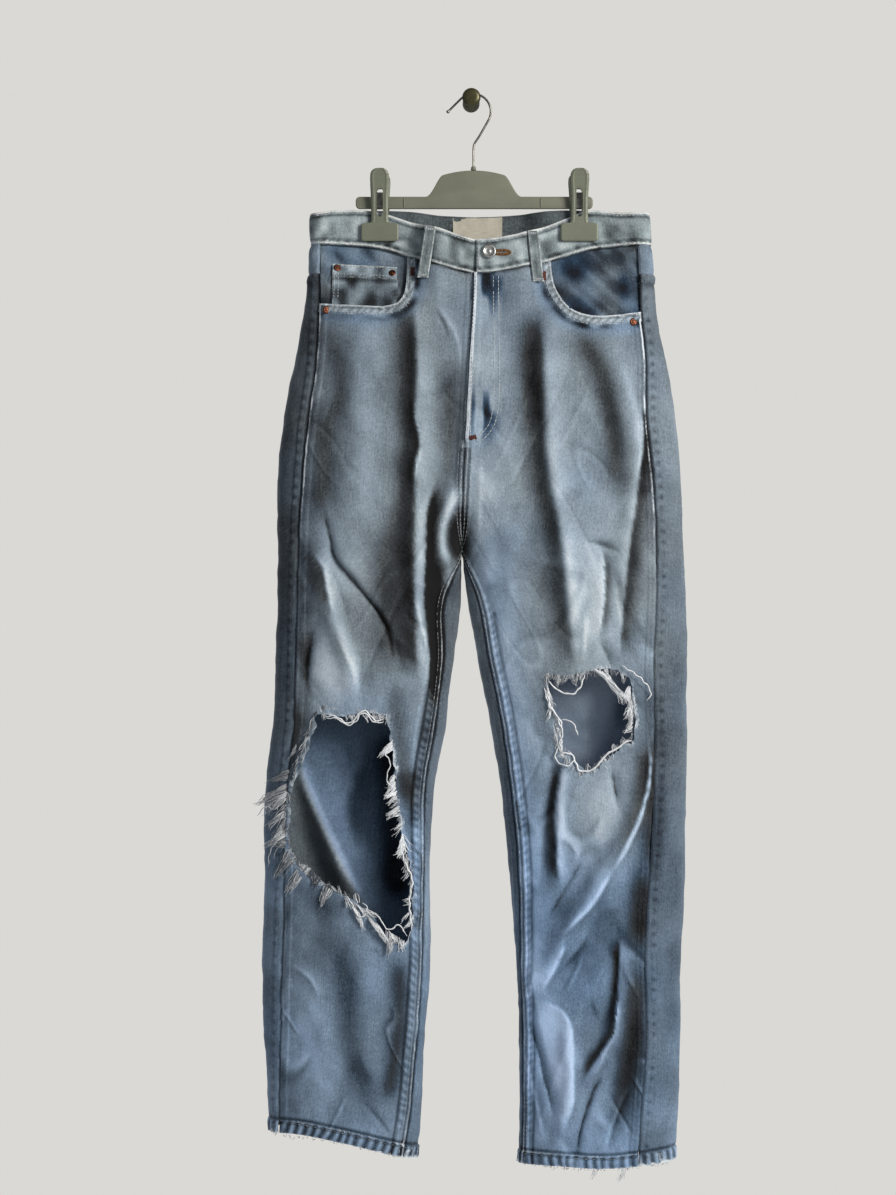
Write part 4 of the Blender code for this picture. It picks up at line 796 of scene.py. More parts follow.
def make_object(
    name: str,
    points: Array,
    polygons: Sequence[Array],
    uv: Array | None = None,
    fields: Mapping[str, Array] | None = None,
    sharp: float = 50.0,
) -> Piece:
    """A mesh object at the origin, smooth but for edges sharper than an angle.

    Args:
        name: The object's name.
        points: Its points, one row each.
        polygons: Arrays of point indices, one row for each face, a separate array for each size.
        uv: A pair of lengths along the surface for each point, stored as the UV map "cloth".
        fields: Values for each point, stored as attributes of those names.
        sharp: The angle in degrees past which an edge is sharp.

    Returns:
        The object, linked to the scene.
    """
    mesh = bpy.data.meshes.new(name)
    mesh.vertices.add(len(points))
    mesh.vertices.foreach_set("co", np.asarray(points, np.float32).ravel())
    loops = np.concatenate([faces.ravel() for faces in polygons]).astype(np.int32)
    sizes = np.concatenate([np.full(len(faces), faces.shape[1]) for faces in polygons])
    starts = np.concatenate([[0], np.cumsum(sizes)[:-1]]).astype(np.int32)
    mesh.loops.add(len(loops))
    mesh.loops.foreach_set("vertex_index", loops)
    mesh.polygons.add(len(starts))
    mesh.polygons.foreach_set("loop_start", starts)
    mesh.update(calc_edges=True)
    if uv is not None:
        layer = mesh.uv_layers.new(name="cloth")
        layer.data.foreach_set("uv", np.asarray(uv, np.float32)[loops].ravel())
    for key, values in (fields or {}).items():
        attribute = mesh.attributes.new(name=key, type="FLOAT", domain="POINT")
        attribute.data.foreach_set("value", np.asarray(values, np.float32).ravel())
    mesh.shade_smooth()
    mesh.set_sharp_from_angle(angle=math.radians(sharp))
    made = bpy.data.objects.new(name, mesh)
    bpy.context.scene.collection.objects.link(made)
    return made


@dataclass
class Shell:
    """A sheet of material on a grid of points: rows down, columns across, and two skins."""

    points: Array
    outward: tuple[float, float, float]
    thickness: Array | float = DENIM_THICKNESS
    fields: dict[str, Array] = field(default_factory=dict)
    lining: dict[str, Array | float] = field(default_factory=dict)
    facing: float = 0.0
    keep: Array = field(init=False)

    def __post_init__(self) -> None:
        """Keeps every square at first."""
        rows, columns = self.points.shape[:2]
        self.keep = np.ones((rows - 1, columns - 1), bool)

    def slopes(self) -> tuple[Array, Array]:
        """The grid's directions at each point: down its column and along its row."""
        return np.gradient(self.points, axis=0), np.gradient(self.points, axis=1)

    def normals(self) -> Array:
        """Unit normals on the outer side: the cross product of the grid's two directions.

        Returns:
            A normal for each point.
        """
        down, along = self.slopes()
        normal = np.cross(down, along)
        normal /= np.maximum(np.linalg.norm(normal, axis=-1, keepdims=True), 1e-12)
        return normal * (self.facing or np.sign((normal * self.outward).sum()))

    def track(self, away: Array, distance: float, points: Array | None = None) -> Array:
        """The points, one in each row, where a distance that grows along the row reaches a value.

        Args:
            away: The distance, for each point.
            distance: Its value to look for.
            points: The points to read, where they aren't the sheet's own.

        Returns:
            One point for each row.
        """
        points = self.points if points is None else points
        rows = np.arange(len(away))
        after = np.clip((away < distance).sum(1), 1, away.shape[1] - 1)
        low, high = away[rows, after - 1], away[rows, after]
        share = np.clip((distance - low) / np.maximum(high - low, 1e-9), 0, 1)[:, None]
        return points[rows, after - 1] * (1 - share) + points[rows, after] * share

    def track_level(self, distance: float, from_below: bool = False) -> Array:
        """The points, one in each column, at a distance down from the first row or up from the last.

        Args:
            distance: The distance along the cloth.
            from_below: Whether to measure it upwards.

        Returns:
            One point for each column.
        """
        way = -1 if from_below else 1
        fallen = self.spans()[1]
        away = fallen[-1:] - fallen if from_below else fallen
        return self.track(away[::way].T, distance, self.points[::way].transpose(1, 0, 2))

    def trim(self) -> None:
        """Drops the rows and columns in which nothing is kept."""
        rows, columns = (np.flatnonzero(self.keep.any(axis)) for axis in (1, 0))
        top, bottom, left, right = rows[0], rows[-1] + 1, columns[0], columns[-1] + 1
        part = (slice(top, bottom + 1), slice(left, right + 1))
        self.keep = self.keep[top:bottom, left:right]
        for key, value in self.fields.items():
            self.fields[key] = np.broadcast_to(value, self.points.shape[:2])[part]
        if np.ndim(self.thickness):
            self.thickness = self.thickness[part]
        self.points = self.points[part]

    def spans(self) -> tuple[Array, Array]:
        """Lengths along the cloth from its first column and from its first row.

        Returns:
            The two lengths, for each point.
        """
        across = np.linalg.norm(np.diff(self.points, axis=1), axis=-1).cumsum(1)
        down = np.linalg.norm(np.diff(self.points, axis=0), axis=-1).cumsum(0)
        return np.pad(across, ((0, 0), (1, 0))), np.pad(down, ((1, 0), (0, 0)))

    def lift(self, height: Array) -> None:
        """Moves the points off the face by a height."""
        self.points = self.points + self.normals() * height[..., None]

    def clearance(self, outline: Array) -> Array:
        """Distance of each point from a closed outline in x and z, negative inside it.

        Args:
            outline: Close points round it, as x, z.

        Returns:
            The distances; 1 m where it is far away.
        """
        x, z = self.points[..., 0].ravel(), self.points[..., 2].ravel()
        near = around(outline, x, z, 0.04)
        result = np.full(x.shape, 1.0)
        distance, _, _ = nearest_on(outline, x[near], z[near])
        result[near] = np.where(inside(outline, x[near], z[near]), -distance, distance)
        return result.reshape(self.points.shape[:2])

    def cut(self, outline: Array, snap: float, outside: bool = False) -> None:
        """Takes out the squares inside an outline of close points, and draws its edge clean.

        Points near the outline slide onto it within their own tangent plane.

        Args:
            outline: Close points round the cut, as x, z.
            snap: How near to the outline a point is drawn to it.
            outside: Whether to take out what lies outside instead.
        """
        signed = self.clearance(outline) * (-1 if outside else 1)
        close = np.abs(signed) < snap
        x, z = self.points[close][:, 0], self.points[close][:, 2]
        _, nearest, _ = nearest_on(outline, x, z)
        down, along = (direction[close] for direction in self.slopes())
        gap = outline[nearest] - np.stack([x, z], -1)
        scale = down[:, 0] * along[:, 2] - down[:, 2] * along[:, 0]
        scale = np.where(np.abs(scale) < 1e-9, np.inf, scale)
        a = (gap[:, 0] * along[:, 2] - gap[:, 1] * along[:, 0]) / scale
        b = (down[:, 0] * gap[:, 1] - down[:, 2] * gap[:, 0]) / scale
        moved = self.points[close] + a[:, None] * down + b[:, None] * along
        self.points = self.points.copy()
        self.points[close] = moved
        deep = signed <= -snap
        self.keep &= ~(deep[:-1, :-1] | deep[1:, :-1] | deep[1:, 1:] | deep[:-1, 1:])
        self.keep &= ~(close[:-1, :-1] & close[1:, :-1] & close[1:, 1:] & close[:-1, 1:])

    def build(self, name: str, sharp: float = 50.0) -> Piece:
        """The sheet as a closed mesh: its outer skin, its inner one, and a rim between them.

        Args:
            name: The object's name.
            sharp: The angle in degrees past which an edge is sharp.

        Returns:
            The object, with the sheet's fields as attributes.
        """
        rows, columns = self.points.shape[:2]
        count = rows * columns
        normals = self.normals()
        deep = np.broadcast_to(np.asarray(self.thickness, float), (rows, columns))
        inner = self.points - normals * deep[..., None]
        index = np.arange(count).reshape(rows, columns)
        quads = np.stack(
            [index[:-1, :-1], index[1:, :-1], index[1:, 1:], index[:-1, 1:]], -1
        )[self.keep]
        down, along = self.slopes()
        if (np.cross(down, along) * normals).sum() < 0:
            quads = quads[:, ::-1]
        edges = np.stack([quads, np.roll(quads, -1, axis=1)], -1).reshape(-1, 2)
        shared = np.isin(edges[:, 0] * count + edges[:, 1], edges[:, 1] * count + edges[:, 0])
        rim = edges[~shared]
        walls = np.stack([rim[:, 1], rim[:, 0], rim[:, 0] + count, rim[:, 1] + count], -1)
        faces = np.concatenate([quads, quads[:, ::-1] + count, walls])
        used, faces = np.unique(faces, return_inverse=True)
        faces = faces.reshape(-1, 4)
        points = np.concatenate([self.points.reshape(-1, 3), inner.reshape(-1, 3)])[used]
        across, fallen = self.spans()
        uv = np.tile(np.stack([across, fallen], -1).reshape(-1, 2), (2, 1))[used]
        fields = {}
        for key, values in self.fields.items():
            outer = np.broadcast_to(values, (rows, columns)).ravel()
            other = np.broadcast_to(self.lining.get(key, values), (rows, columns)).ravel()
            fields[key] = np.concatenate([outer, other])[used]
        return make_object(name, points, [faces], uv, fields, sharp)


def closed_skin(name: str, rings: Array, sharp: float = 40.0) -> Piece:
    """A closed skin through rings of points, with its first and last ring filled.

    Args:
        name: The object's name.
        rings: Points of shape (rings, corners, 3), each ring anticlockwise seen from the next one.
        sharp: The angle in degrees past which an edge is sharp.

    Returns:
        The object.
    """
    count, corners = rings.shape[:2]
    index = np.arange(count * corners).reshape(count, corners)
    after = np.roll(index, -1, axis=1)
    walls = np.stack([index[:-1], after[:-1], after[1:], index[1:]], -1).reshape(-1, 4)
    caps = np.stack([index[0, ::-1], index[-1]])
    return make_object(name, rings.reshape(-1, 3), [walls, caps], sharp=sharp)


def turned(name: str, profile: Sequence[Place], place: Array, axis: Array, segments: int,
           sharp: float = 40.0) -> Piece:
    """A turned piece: a profile of radius and height, bottom to top, carried round an axis.

    Args:
        name: The object's name.
        profile: Radius and height along the axis of each ring, from its foot to its top.
        place: Where its height 0 stands.
        axis: The way its height runs.
        segments: Points round it.
        sharp: The angle in degrees past which an edge is sharp.

    Returns:
        The object.
    """
    axis = np.asarray(axis, float) / np.linalg.norm(axis)
    side = np.cross(axis, (0.0, 0.0, 1.0) if abs(axis[2]) < 0.9 else (1.0, 0.0, 0.0))
    side /= np.linalg.norm(side)
    other = np.cross(axis, side)
    turns = np.linspace(0, 2 * np.pi, segments, endpoint=False)
    ring = np.cos(turns)[:, None] * side + np.sin(turns)[:, None] * other
    shape = np.array(profile, float)
    shape[:, 0] = np.maximum(shape[:, 0], 1e-5)
    rings = place + shape[:, :1, None] * ring + shape[:, 1:, None] * axis
    return closed_skin(name, rings, sharp)


def tube_mesh(paths: Array, radii: Array, sides: int) -> tuple[Array, list[Array]]:
    """Points and faces of many round threads at once.

    Each ring stands square to its path: one radius points across the path and a fixed direction,
    the other is square to both.

    Args:
        paths: Points of shape (threads, steps, 3).
        radii: Radii of shape (threads, steps).
        sides: Corners of each ring.

    Returns:
        The points, and the walls and end caps.
    """
    threads, steps = paths.shape[:2]
    along = np.gradient(paths, axis=1)
    along /= np.maximum(np.linalg.norm(along, axis=-1, keepdims=True), 1e-12)
    across = np.cross(along, (0.05, 1.0, 0.1))
    across /= np.maximum(np.linalg.norm(across, axis=-1, keepdims=True), 1e-9)
    up = np.cross(along, across)
    turns = np.arange(sides) * 2 * np.pi / sides
    ring = np.cos(turns)[:, None] * across[..., None, :] + np.sin(turns)[:, None] * up[..., None, :]
    points = paths[..., None, :] + radii[..., None, None] * ring
    index = np.arange(threads * steps * sides).reshape(threads, steps, sides)
    after = np.roll(index, -1, axis=2)
    walls = np.stack([index[:, :-1], after[:, :-1], after[:, 1:], index[:, 1:]], -1)
    caps = np.concatenate([index[:, 0, ::-1], index[:, -1]])
    return points.reshape(-1, 3), [walls.reshape(-1, 4), caps]


def thread_object(name: str, groups: Sequence[tuple[Array, Array, Array]], sides: int = 4) -> Piece:
    """One object of many threads.

    Args:
        name: The object's name.
        groups: For each group its paths, its radii and a tone for each thread, from 0 to 1.
        sides: Corners of each thread's section.

    Returns:
        The object, with the attribute "tone".
    """
    points, polygons, shades, start = [], {}, [], 0
    for paths, radii, tone in groups:
        made, faces = tube_mesh(paths, radii, sides)
        points.append(made)
        shades.append(np.repeat(tone, paths.shape[1] * sides))
        for block in faces:
            polygons.setdefault(block.shape[1], []).append(block + start)
        start += len(made)
    blocks = [np.concatenate(block) for block in polygons.values()]
    return make_object(name, np.concatenate(points), blocks, None, {"tone": np.concatenate(shades)}, 80.0)


class Ground:
    """Faces that threads and trims are laid on, met by straight lines from the front or the back."""

    def __init__(self, pieces: Iterable[Piece]) -> None:
        """Reads the pieces' faces once.

        Args:
            pieces: The objects whose outer faces count.
        """
        bpy.context.view_layer.update()
        graph = bpy.context.evaluated_depsgraph_get()
        self.trees = [BVHTree.FromObject(piece, graph) for piece in pieces]

    def meet(self, x: Array, z: Array, front: bool = True) -> tuple[Array, Array]:
        """Where lines along Y first meet the faces.

        Args:
            x: The lines' x, in one row.
            z: Their z.
            front: Whether the lines come from the front.

        Returns:
            The points met and the normals there. A line that meets nothing takes its neighbours' depth.
        """
        start, way = (-1.0, Vector((0, 1, 0))) if front else (1.0, Vector((0, -1, 0)))
        points = np.stack([x, np.full(len(x), np.nan), z], -1)
        normals = np.tile([0.0, -1.0 if front else 1.0, 0.0], (len(x), 1))
        for row, (px, pz) in enumerate(zip(x, z)):
            hits = [tree.ray_cast(Vector((px, start, pz)), way) for tree in self.trees]
            hits = [hit for hit in hits if hit[0] is not None]
            if hits:
                place, normal, _, _ = min(hits, key=lambda hit: hit[3])
                points[row, 1] = place.y
                normals[row] = normal
        missed = np.isnan(points[:, 1])
        if missed.any() and not missed.all():
            rows = np.arange(len(x))
            points[missed, 1] = np.interp(rows[missed], rows[~missed], points[~missed, 1])
        return points, normals


# ------------------------------------------------------------------ finishes

def linear(code: str) -> tuple[float, float, float, float]:
    """A colour written as sRGB hex, as linear light with an alpha of 1.

    Args:
        code: The colour, as #RRGGBB.

    Returns:
        Red, green, blue and alpha.
    """
    parts = (int(code[i : i + 2], 16) / 255 for i in (1, 3, 5))
    red, green, blue = (p / 12.92 if p <= 0.04045 else ((p + 0.055) / 1.055) ** 2.4 for p in parts)
    return red, green, blue, 1.0


def feed(tree: Tree, node: bpy.types.Node, inputs: Mapping[str | int, object]) -> None:
    """Fills a node's inputs, by name or index: a socket is linked and any other value is held.

    Args:
        tree: The node tree.
        node: The node.
        inputs: A socket or a value for each input.
    """
    for key, value in inputs.items():
        if isinstance(value, Socket):
            tree.links.new(value, node.inputs[key])
        else:
            node.inputs[key].default_value = value


def add(tree: Tree, kind: str, inputs: Mapping[str | int, object] | None = None,
        **settings: object) -> bpy.types.Node:
    """Adds a node with its settings and links.

    Args:
        tree: The node tree.
        kind: The node's type.
        inputs: For each socket, by name or index, a socket to link from or a value to hold.
        settings: The node's own properties.

    Returns:
        The node.
    """
    node = tree.nodes.new(kind)
    for key, value in settings.items():
        setattr(node, key, value)
    feed(tree, node, inputs or {})
    return node


def combine(tree: Tree, operation: str, *values: Value) -> Socket:
    """What a Math node makes of sockets and numbers."""
    return add(tree, "ShaderNodeMath", dict(enumerate(values)), operation=operation).outputs[0]


def mixed(tree: Tree, share: Socket, first: object, second: object) -> Socket:
    """The first colour turned into the second by a share."""
    return add(tree, "ShaderNodeMix", {"Factor": share, 6: first, 7: second}, data_type="RGBA").outputs[2]


def spread(tree: Tree, value: Socket, low: float, high: float, least: float = 0.0,
           most: float = 1.0, **settings: str) -> Socket:
    """A value whose range from low to high is drawn out from least to most."""
    limits = {"Value": value, "From Min": low, "From Max": high, "To Min": least, "To Max": most}
    return add(tree, "ShaderNodeMapRange", limits, **settings).outputs[0]


def bumped(tree: Tree, height: Socket, strength: float, distance: float = 0.0002) -> Socket:
    """Normals that follow a height."""
    bump = {"Strength": strength, "Distance": distance, "Height": height}
    return add(tree, "ShaderNodeBump", bump).outputs[0]


def attribute(tree: Tree, name: str) -> Socket:
    """The mesh's own attribute of that name."""
    return add(tree, "ShaderNodeAttribute", attribute_name=name).outputs["Fac"]


def along_cloth(tree: Tree) -> Socket:
    """Lengths along the cloth's own threads."""
    return add(tree, "ShaderNodeUVMap", uv_map="cloth").outputs[0]


def in_space(tree: Tree) -> Socket:
    """The place in space."""
    return add(tree, "ShaderNodeTexCoord").outputs["Object"]


def new_material(name: str) -> tuple[bpy.types.Material, Tree, bpy.types.Node]:
    """A material with only its Principled shader and its output.

    Args:
        name: The material's name.

    Returns:
        The material, its node tree and its shader.
    """
    material = bpy.data.materials.new(name)
    material.use_nodes = True
    return material, material.node_tree, material.node_tree.nodes["Principled BSDF"]


def ramp(tree: Tree, value: Socket, codes: Sequence[str]) -> Socket:
    """A colour ramp whose hex colours stand at equal steps from 0 to 1.

    Args:
        tree: The node tree.
        value: What to colour.
        codes: The colours, from 0 to 1.

    Returns:
        The colour.
    """
    node = add(tree, "ShaderNodeValToRGB", {0: value})
    stops = node.color_ramp.elements
    while len(stops) < len(codes):
        stops.new(0.5)
    for place, code in enumerate(codes):
        stops[place].position = place / (len(codes) - 1)
        stops[place].color = linear(code)
    return node.outputs["Color"]


def grain(tree: Tree, source: Socket, size: Sequence[float], turn: float = 0.0, detail: float = 2.0) -> Socket:
    """Noise whose grains have a real size in metres, turned in the plane by degrees.

    Args:
        tree: The node tree.
        source: The coordinates it is drawn on.
        size: The grains' size along each axis.
        turn: Degrees.
        detail: How many octaves finer it goes.

    Returns:
        The noise, about 0.5.
    """
    placed = add(tree, "ShaderNodeMapping", {"Vector": source, "Rotation": (0, 0, math.radians(turn)),
                                             "Scale": size}, vector_type="TEXTURE")
    noise = {"Vector": placed.outputs[0], "Scale": 1.0, "Detail": detail, "Roughness": 0.6}
    return add(tree, "ShaderNodeTexNoise", noise).outputs["Fac"]


def blend_in(tree: Tree, base: Socket, parts: Sequence[tuple[Socket, float]]) -> Socket:
    """A value plus noises about their middle, each times its own amount.

    Args:
        tree: The node tree.
        base: The value.
        parts: Each noise with its amount.

    Returns:
        The sum.
    """
    for noise, amount in parts:
        base = combine(tree, "ADD", base, combine(tree, "MULTIPLY_ADD", noise, amount, -amount / 2))
    return base


@dataclass(frozen=True)
class DenimTwill:
    """Stone-washed cotton denim: a ring-spun twill of indigo warp over white weft.

    The eye sees steep diagonal ribs, slubby streaks along the warp, and indigo that is rubbed off
    wherever the cloth stands proud. The attributes "fade", "cast" and "wear" say how far it is
    washed out, how grey the wash has left it, and where it is rubbed to white; "fade" and "cast"
    also carry painted highlight and shade of the folds, darker and greyer in their shaded valleys.
    "rope" says how strongly twisted hems and seams show bars, pale on each ridge, that repeat with
    "phase".
    """

    name: str
    blue: tuple[str, ...] = ("#070B15", "#2B4056", "#5C7490", "#86A3C8", "#AFCBF3")
    grey: tuple[str, ...] = ("#08090C", "#383D42", "#6A7379", "#98A5AE", "#CAD2D6")
    rubbed: str = "#CED8E2"
    rib: float = 0.0011  # twill ribs are 0.7 mm apart; drawn coarser, so that they show
    slub: float = 0.0013  # thick places in the warp yarn
    contrast: float = 1.0

    def material(self) -> bpy.types.Material:
        """The cloth's material, drawn along its own threads.

        Returns:
            The material.
        """
        material, tree, shader = new_material(self.name)
        cloth = along_cloth(tree)
        ribs = grain(tree, cloth, (self.rib, self.rib * 4.5, 1.0), -28.0)
        warp = grain(tree, cloth, (self.slub, self.slub * 22, 1.0))
        weft = grain(tree, cloth, (self.slub * 12, self.rib, 1.0))
        speck = grain(tree, cloth, (0.0022, 0.0026, 1.0), 0.0, 3.0)
        mottle = grain(tree, in_space(tree), (0.024,) * 3, 0.0, 4.0)
        turn = combine(tree, "MULTIPLY", attribute(tree, "phase"), 2 * math.pi)
        ladder = combine(tree, "MULTIPLY", combine(tree, "SINE", turn), attribute(tree, "rope"))
        noises = ((ribs, 0.32), (warp, 0.18), (weft, 0.12), (speck, 0.26), (mottle, 0.22))
        noises = [(noise, amount * self.contrast) for noise, amount in noises]
        worn = blend_in(tree, attribute(tree, "fade"), noises)
        worn = combine(tree, "MULTIPLY_ADD", ladder, 0.17, worn)
        colour = mixed(tree, attribute(tree, "cast"), ramp(tree, worn, self.blue), ramp(tree, worn, self.grey))
        rubbed = blend_in(tree, attribute(tree, "wear"), [(ribs, 0.5), (speck, 0.7), (warp, 0.35)])
        share = spread(tree, rubbed, 0.30, 0.85, interpolation_type="SMOOTHSTEP")
        height = blend_in(tree, ribs, [(warp, 0.8), (weft, 0.5), (speck, 0.5)])
        height = combine(tree, "MULTIPLY_ADD", ladder, 0.5, height)
        feed(tree, shader, {
            "Base Color": mixed(tree, share, colour, linear(self.rubbed)),
            "Normal": bumped(tree, height, 0.55, 0.0005), "Roughness": 0.88, "Specular IOR Level": 0.25,
            "Sheen Weight": 0.12, "Sheen Roughness": 0.5,
        })
        return material


@dataclass(frozen=True)
class CottonYarn:
    """Spun cotton thread: matt and slightly hairy, from one colour to another by its "tone"."""

    name: str
    pale: str
    deep: str
    twist: float = 0.0012  # the ply's twist along the thread

    def material(self) -> bpy.types.Material:
        """The yarn's material.

        Returns:
            The material.
        """
        material, tree, shader = new_material(self.name)
        fibre = grain(tree, in_space(tree), (self.twist,) * 3)
        value = blend_in(tree, attribute(tree, "tone"), [(fibre, 0.7)])
        feed(tree, shader, {
            "Base Color": ramp(tree, value, (self.deep, self.pale)), "Normal": bumped(tree, fibre, 0.5),
            "Roughness": 0.95, "Specular IOR Level": 0.2, "Sheen Weight": 0.15,
        })
        return material


@dataclass(frozen=True)
class WovenTape:
    """Tightly woven polyester tape or label: fine cross ribs and a soft, even sheen."""

    name: str
    pale: str
    deep: str
    rib: float = 0.0011

    def material(self) -> bpy.types.Material:
        """The tape's material, ribbed along its own threads.

        Returns:
            The material.
        """
        material, tree, shader = new_material(self.name)
        cloth = along_cloth(tree)
        ribs = grain(tree, cloth, (self.rib * 9, self.rib, 1.0))
        cross = grain(tree, cloth, (self.rib, self.rib * 6, 1.0))
        blotch = grain(tree, cloth, (0.012, 0.012, 1.0), 0.0, 3.0)
        value = blend_in(tree, ribs, [(cross, 0.6), (blotch, 0.8)])
        feed(tree, shader, {
            "Base Color": ramp(tree, value, (self.deep, self.pale)), "Normal": bumped(tree, ribs, 0.4),
            "Roughness": 0.7, "Sheen Weight": 0.1,
        })
        return material


@dataclass(frozen=True)
class MouldedPlastic:
    """Injection-moulded polystyrene: a fine spark-eroded grain with a dull, even gloss."""

    name: str
    pale: str
    deep: str
    roughness: float = 0.46
    spark: float = 0.0009  # the mould's grain is 0.2 mm; drawn coarser, so that it shows

    def material(self) -> bpy.types.Material:
        """The plastic's material.

        Returns:
            The material.
        """
        material, tree, shader = new_material(self.name)
        place = in_space(tree)
        fine = grain(tree, place, (self.spark,) * 3)
        broad = grain(tree, place, (0.030, 0.030, 0.018), 0.0, 3.0)
        value = blend_in(tree, broad, [(fine, 0.35)])
        feed(tree, shader, {
            "Base Color": ramp(tree, value, (self.deep, self.pale)), "Normal": bumped(tree, fine, 0.12),
            "Roughness": spread(tree, broad, 0.3, 0.7, self.roughness - 0.05, self.roughness + 0.07),
        })
        return material


@dataclass(frozen=True)
class WornMetal:
    """Plated or coated metal: even in its gloss but for fine scuffs and a darker tarnish."""

    name: str
    bright: str
    tarnished: str
    roughness: float
    metallic: float = 1.0
    patch: float = 0.004

    def material(self) -> bpy.types.Material:
        """The metal's material.

        Returns:
            The material.
        """
        material, tree, shader = new_material(self.name)
        place = in_space(tree)
        broad = grain(tree, place, (self.patch,) * 3, 0.0, 4.0)
        scuff = grain(tree, place, (0.0004, 0.0030, 0.0030), 35.0, 3.0)
        value = spread(tree, blend_in(tree, broad, [(scuff, 0.5)]), 0.25, 0.75)
        feed(tree, shader, {
            "Base Color": ramp(tree, value, (self.tarnished, self.bright)), "Metallic": self.metallic,
            "Roughness": spread(tree, scuff, 0.3, 0.7, self.roughness - 0.06, self.roughness + 0.10),
        })
        return material


FACING_BLUES = ("#060A17", "#22384F", "#526D8A", "#839BB6", "#AFCBF3")
BAND_GREYS = ("#08090B", "#363B3E", "#6B767A", "#9CA9AE", "#D0D8DB")


class Finish(Enum):
    """Every finish on the jeans and their holder, with the record's slot that it belongs to."""

    DENIM = ("denim", DenimTwill("washed denim twill"))
    BAND = ("denim_pale", DenimTwill("washed denim, waistband and trims", grey=BAND_GREYS, rubbed="#D3D7D8",
                                     contrast=1.1))
    FACING = ("denim_facing", DenimTwill("unwashed denim, pocket facing", blue=FACING_BLUES))
    TOPSTITCH = ("denim_pale", CottonYarn("topstitching, faded thread", "#CBD0D4", "#5C6670"))
    BARTACK = ("denim_pale", CottonYarn("bartack, rust thread", "#6B3F36", "#3A2320", 0.0008))
    BUTTONHOLE = ("denim_pale", CottonYarn("buttonhole, tobacco thread", "#8A6238", "#4E3822", 0.0008))
    FRAY = ("denim", CottonYarn("frayed weft, bleached cotton", "#EEF2F7", "#434B57"))
    LABEL = ("label_cloth", WovenTape("woven label, cream", "#CECABE", "#A9A393"))
    ZIP = ("zip_tape", WovenTape("zip tape, navy", "#1D2733", "#0E141C"))
    HANGER = ("hanger_plastic", MouldedPlastic("hanger, sage grey polystyrene", "#7B7D6E", "#6C6E60"))
    CLIP = ("hanger_plastic", MouldedPlastic("clip, sage grey polystyrene", "#7A7F6F", "#696E5F", 0.40))
    STEEL = ("hook_steel", WornMetal("zinc-plated steel wire", "#9B9A93", "#5F5E59", 0.32))
    KNOB = ("knob_bronze", WornMetal("knob, lacquered bronze", "#57543A", "#39361F", 0.36, 0.55, 0.010))
    NICKEL = ("button_metal", WornMetal("button, worn nickel", "#D2D2CF", "#8B8C8C", 0.34))
    COPPER = ("rivet_copper", WornMetal("rivet, dulled copper", "#7A4C3A", "#2C1C17", 0.40, 1.0, 0.002))

    @property
    def slot(self) -> str:
        """The record's material slot."""
        return self.value[0]

    @property
    def material(self) -> bpy.types.Material:
        """The finish's material, made when it is first asked for."""
        recipe = self.value[1]
        return bpy.data.materials.get(recipe.name) or recipe.material()


def dress(piece: Piece, finish: Finish, *replaced: str) -> Piece:
    """Gives a piece its finish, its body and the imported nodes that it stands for.

    Args:
        piece: The finished piece.
        finish: Its finish.
        replaced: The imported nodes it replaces.

    Returns:
        The same piece.
    """
    piece.data.materials.clear()
    piece.data.materials.append(finish.material)
    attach(piece, "root")
    if replaced:
        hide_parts(*replaced)
    LOG.info("%s: %d faces, %s", piece.name, len(piece.data.polygons), finish.name.lower())
    return piece


def declare_sheet(piece: Piece, shell: Shell) -> None:
    """Reads the lengths across and down a sheet's grid, and does nothing more with them.

    Args:
        piece: The piece; not used.
        shell: The sheet it was built from.
    """
    across, fallen = shell.spans()


# ------------------------------------------------------------------ form shared by every layer


def joined(height: Array, away: Array, level: Array) -> Array:
    """Heights drawn to 0.4 mm at the centre seam above the crotch, so that the two sides meet there."""
    free = smoothstep(0.0005, 0.0070, away) * (level > CROTCH_LEVEL - 0.010) + (level <= CROTCH_LEVEL - 0.010)
    return 0.0004 + (height - 0.0004) * free


def crumple(x: Array, z: Array, seed: int = 1) -> Array:
    """Unevenness that every layer shares, so that none comes through another.

    Clouds of 30, 13 and 6 mm, drawn out along the leg, whose heights are 1.0, 0.6 and 0.25 mm.

    Args:
        x: The places' x.
        z: Their z.
        seed: Which clouds: 1 on the front, 5 on the back.

    Returns:
        The height at each place.
    """
    return (
        0.0010 * cloud(x, z * 0.6, 0.030, seed)
        + 0.0006 * cloud(x + 0.4 * z, z * 0.8, 0.013, seed + 1)
        + 0.00025 * cloud(x - 0.3 * z, z, 0.006, seed + 2)
    )


def seam_relief(away: Array, along: Array, seed: int, width: float = FELL_WIDTH, height: float = 0.0010) -> Array:
    """Relief beside a sewn seam.

    A plateau as wide as the turned-in cloth, a groove on the seam itself, and slanting puckers
    along the plateau.

    Args:
        away: Distance from the seam.
        along: Distance along it.
        seed: Which puckers.
        width: Width of the turned-in cloth.
        height: Its height.

    Returns:
        The height at each place.
    """
    plateau = height * smoothstep(width + 0.0012, width - 0.0006, away)
    groove = -0.0014 * bell(away, 0.0013)
    pucker = 0.0008 * cloud(along + 0.8 * away, away * 0.35, 0.0085, seed)
    return plateau + groove + pucker * bell(away - width * 0.5, width * 0.9)


def seam_wear(away: Array, along: Array, seed: int, width: float = FELL_WIDTH) -> Array:
    """Rubbing beside a seam: on the plateau's shoulder, and on every second pucker.

    Args:
        away: Distance from the seam.
        along: Distance along it.
        seed: Which puckers.
        width: Width of the turned-in cloth.

    Returns:
        How far each place is rubbed to white.
    """
    patchy = 0.55 + 0.45 * cloud(along + 0.8 * away, away * 0.35, 0.0085, seed)
    return patchy * (0.50 * bell(away - width, 0.0013) + 0.30 * bell(away - width * 0.45, width * 0.35)) + (
        0.25 * bell(away - 0.0022, 0.0010)
    )


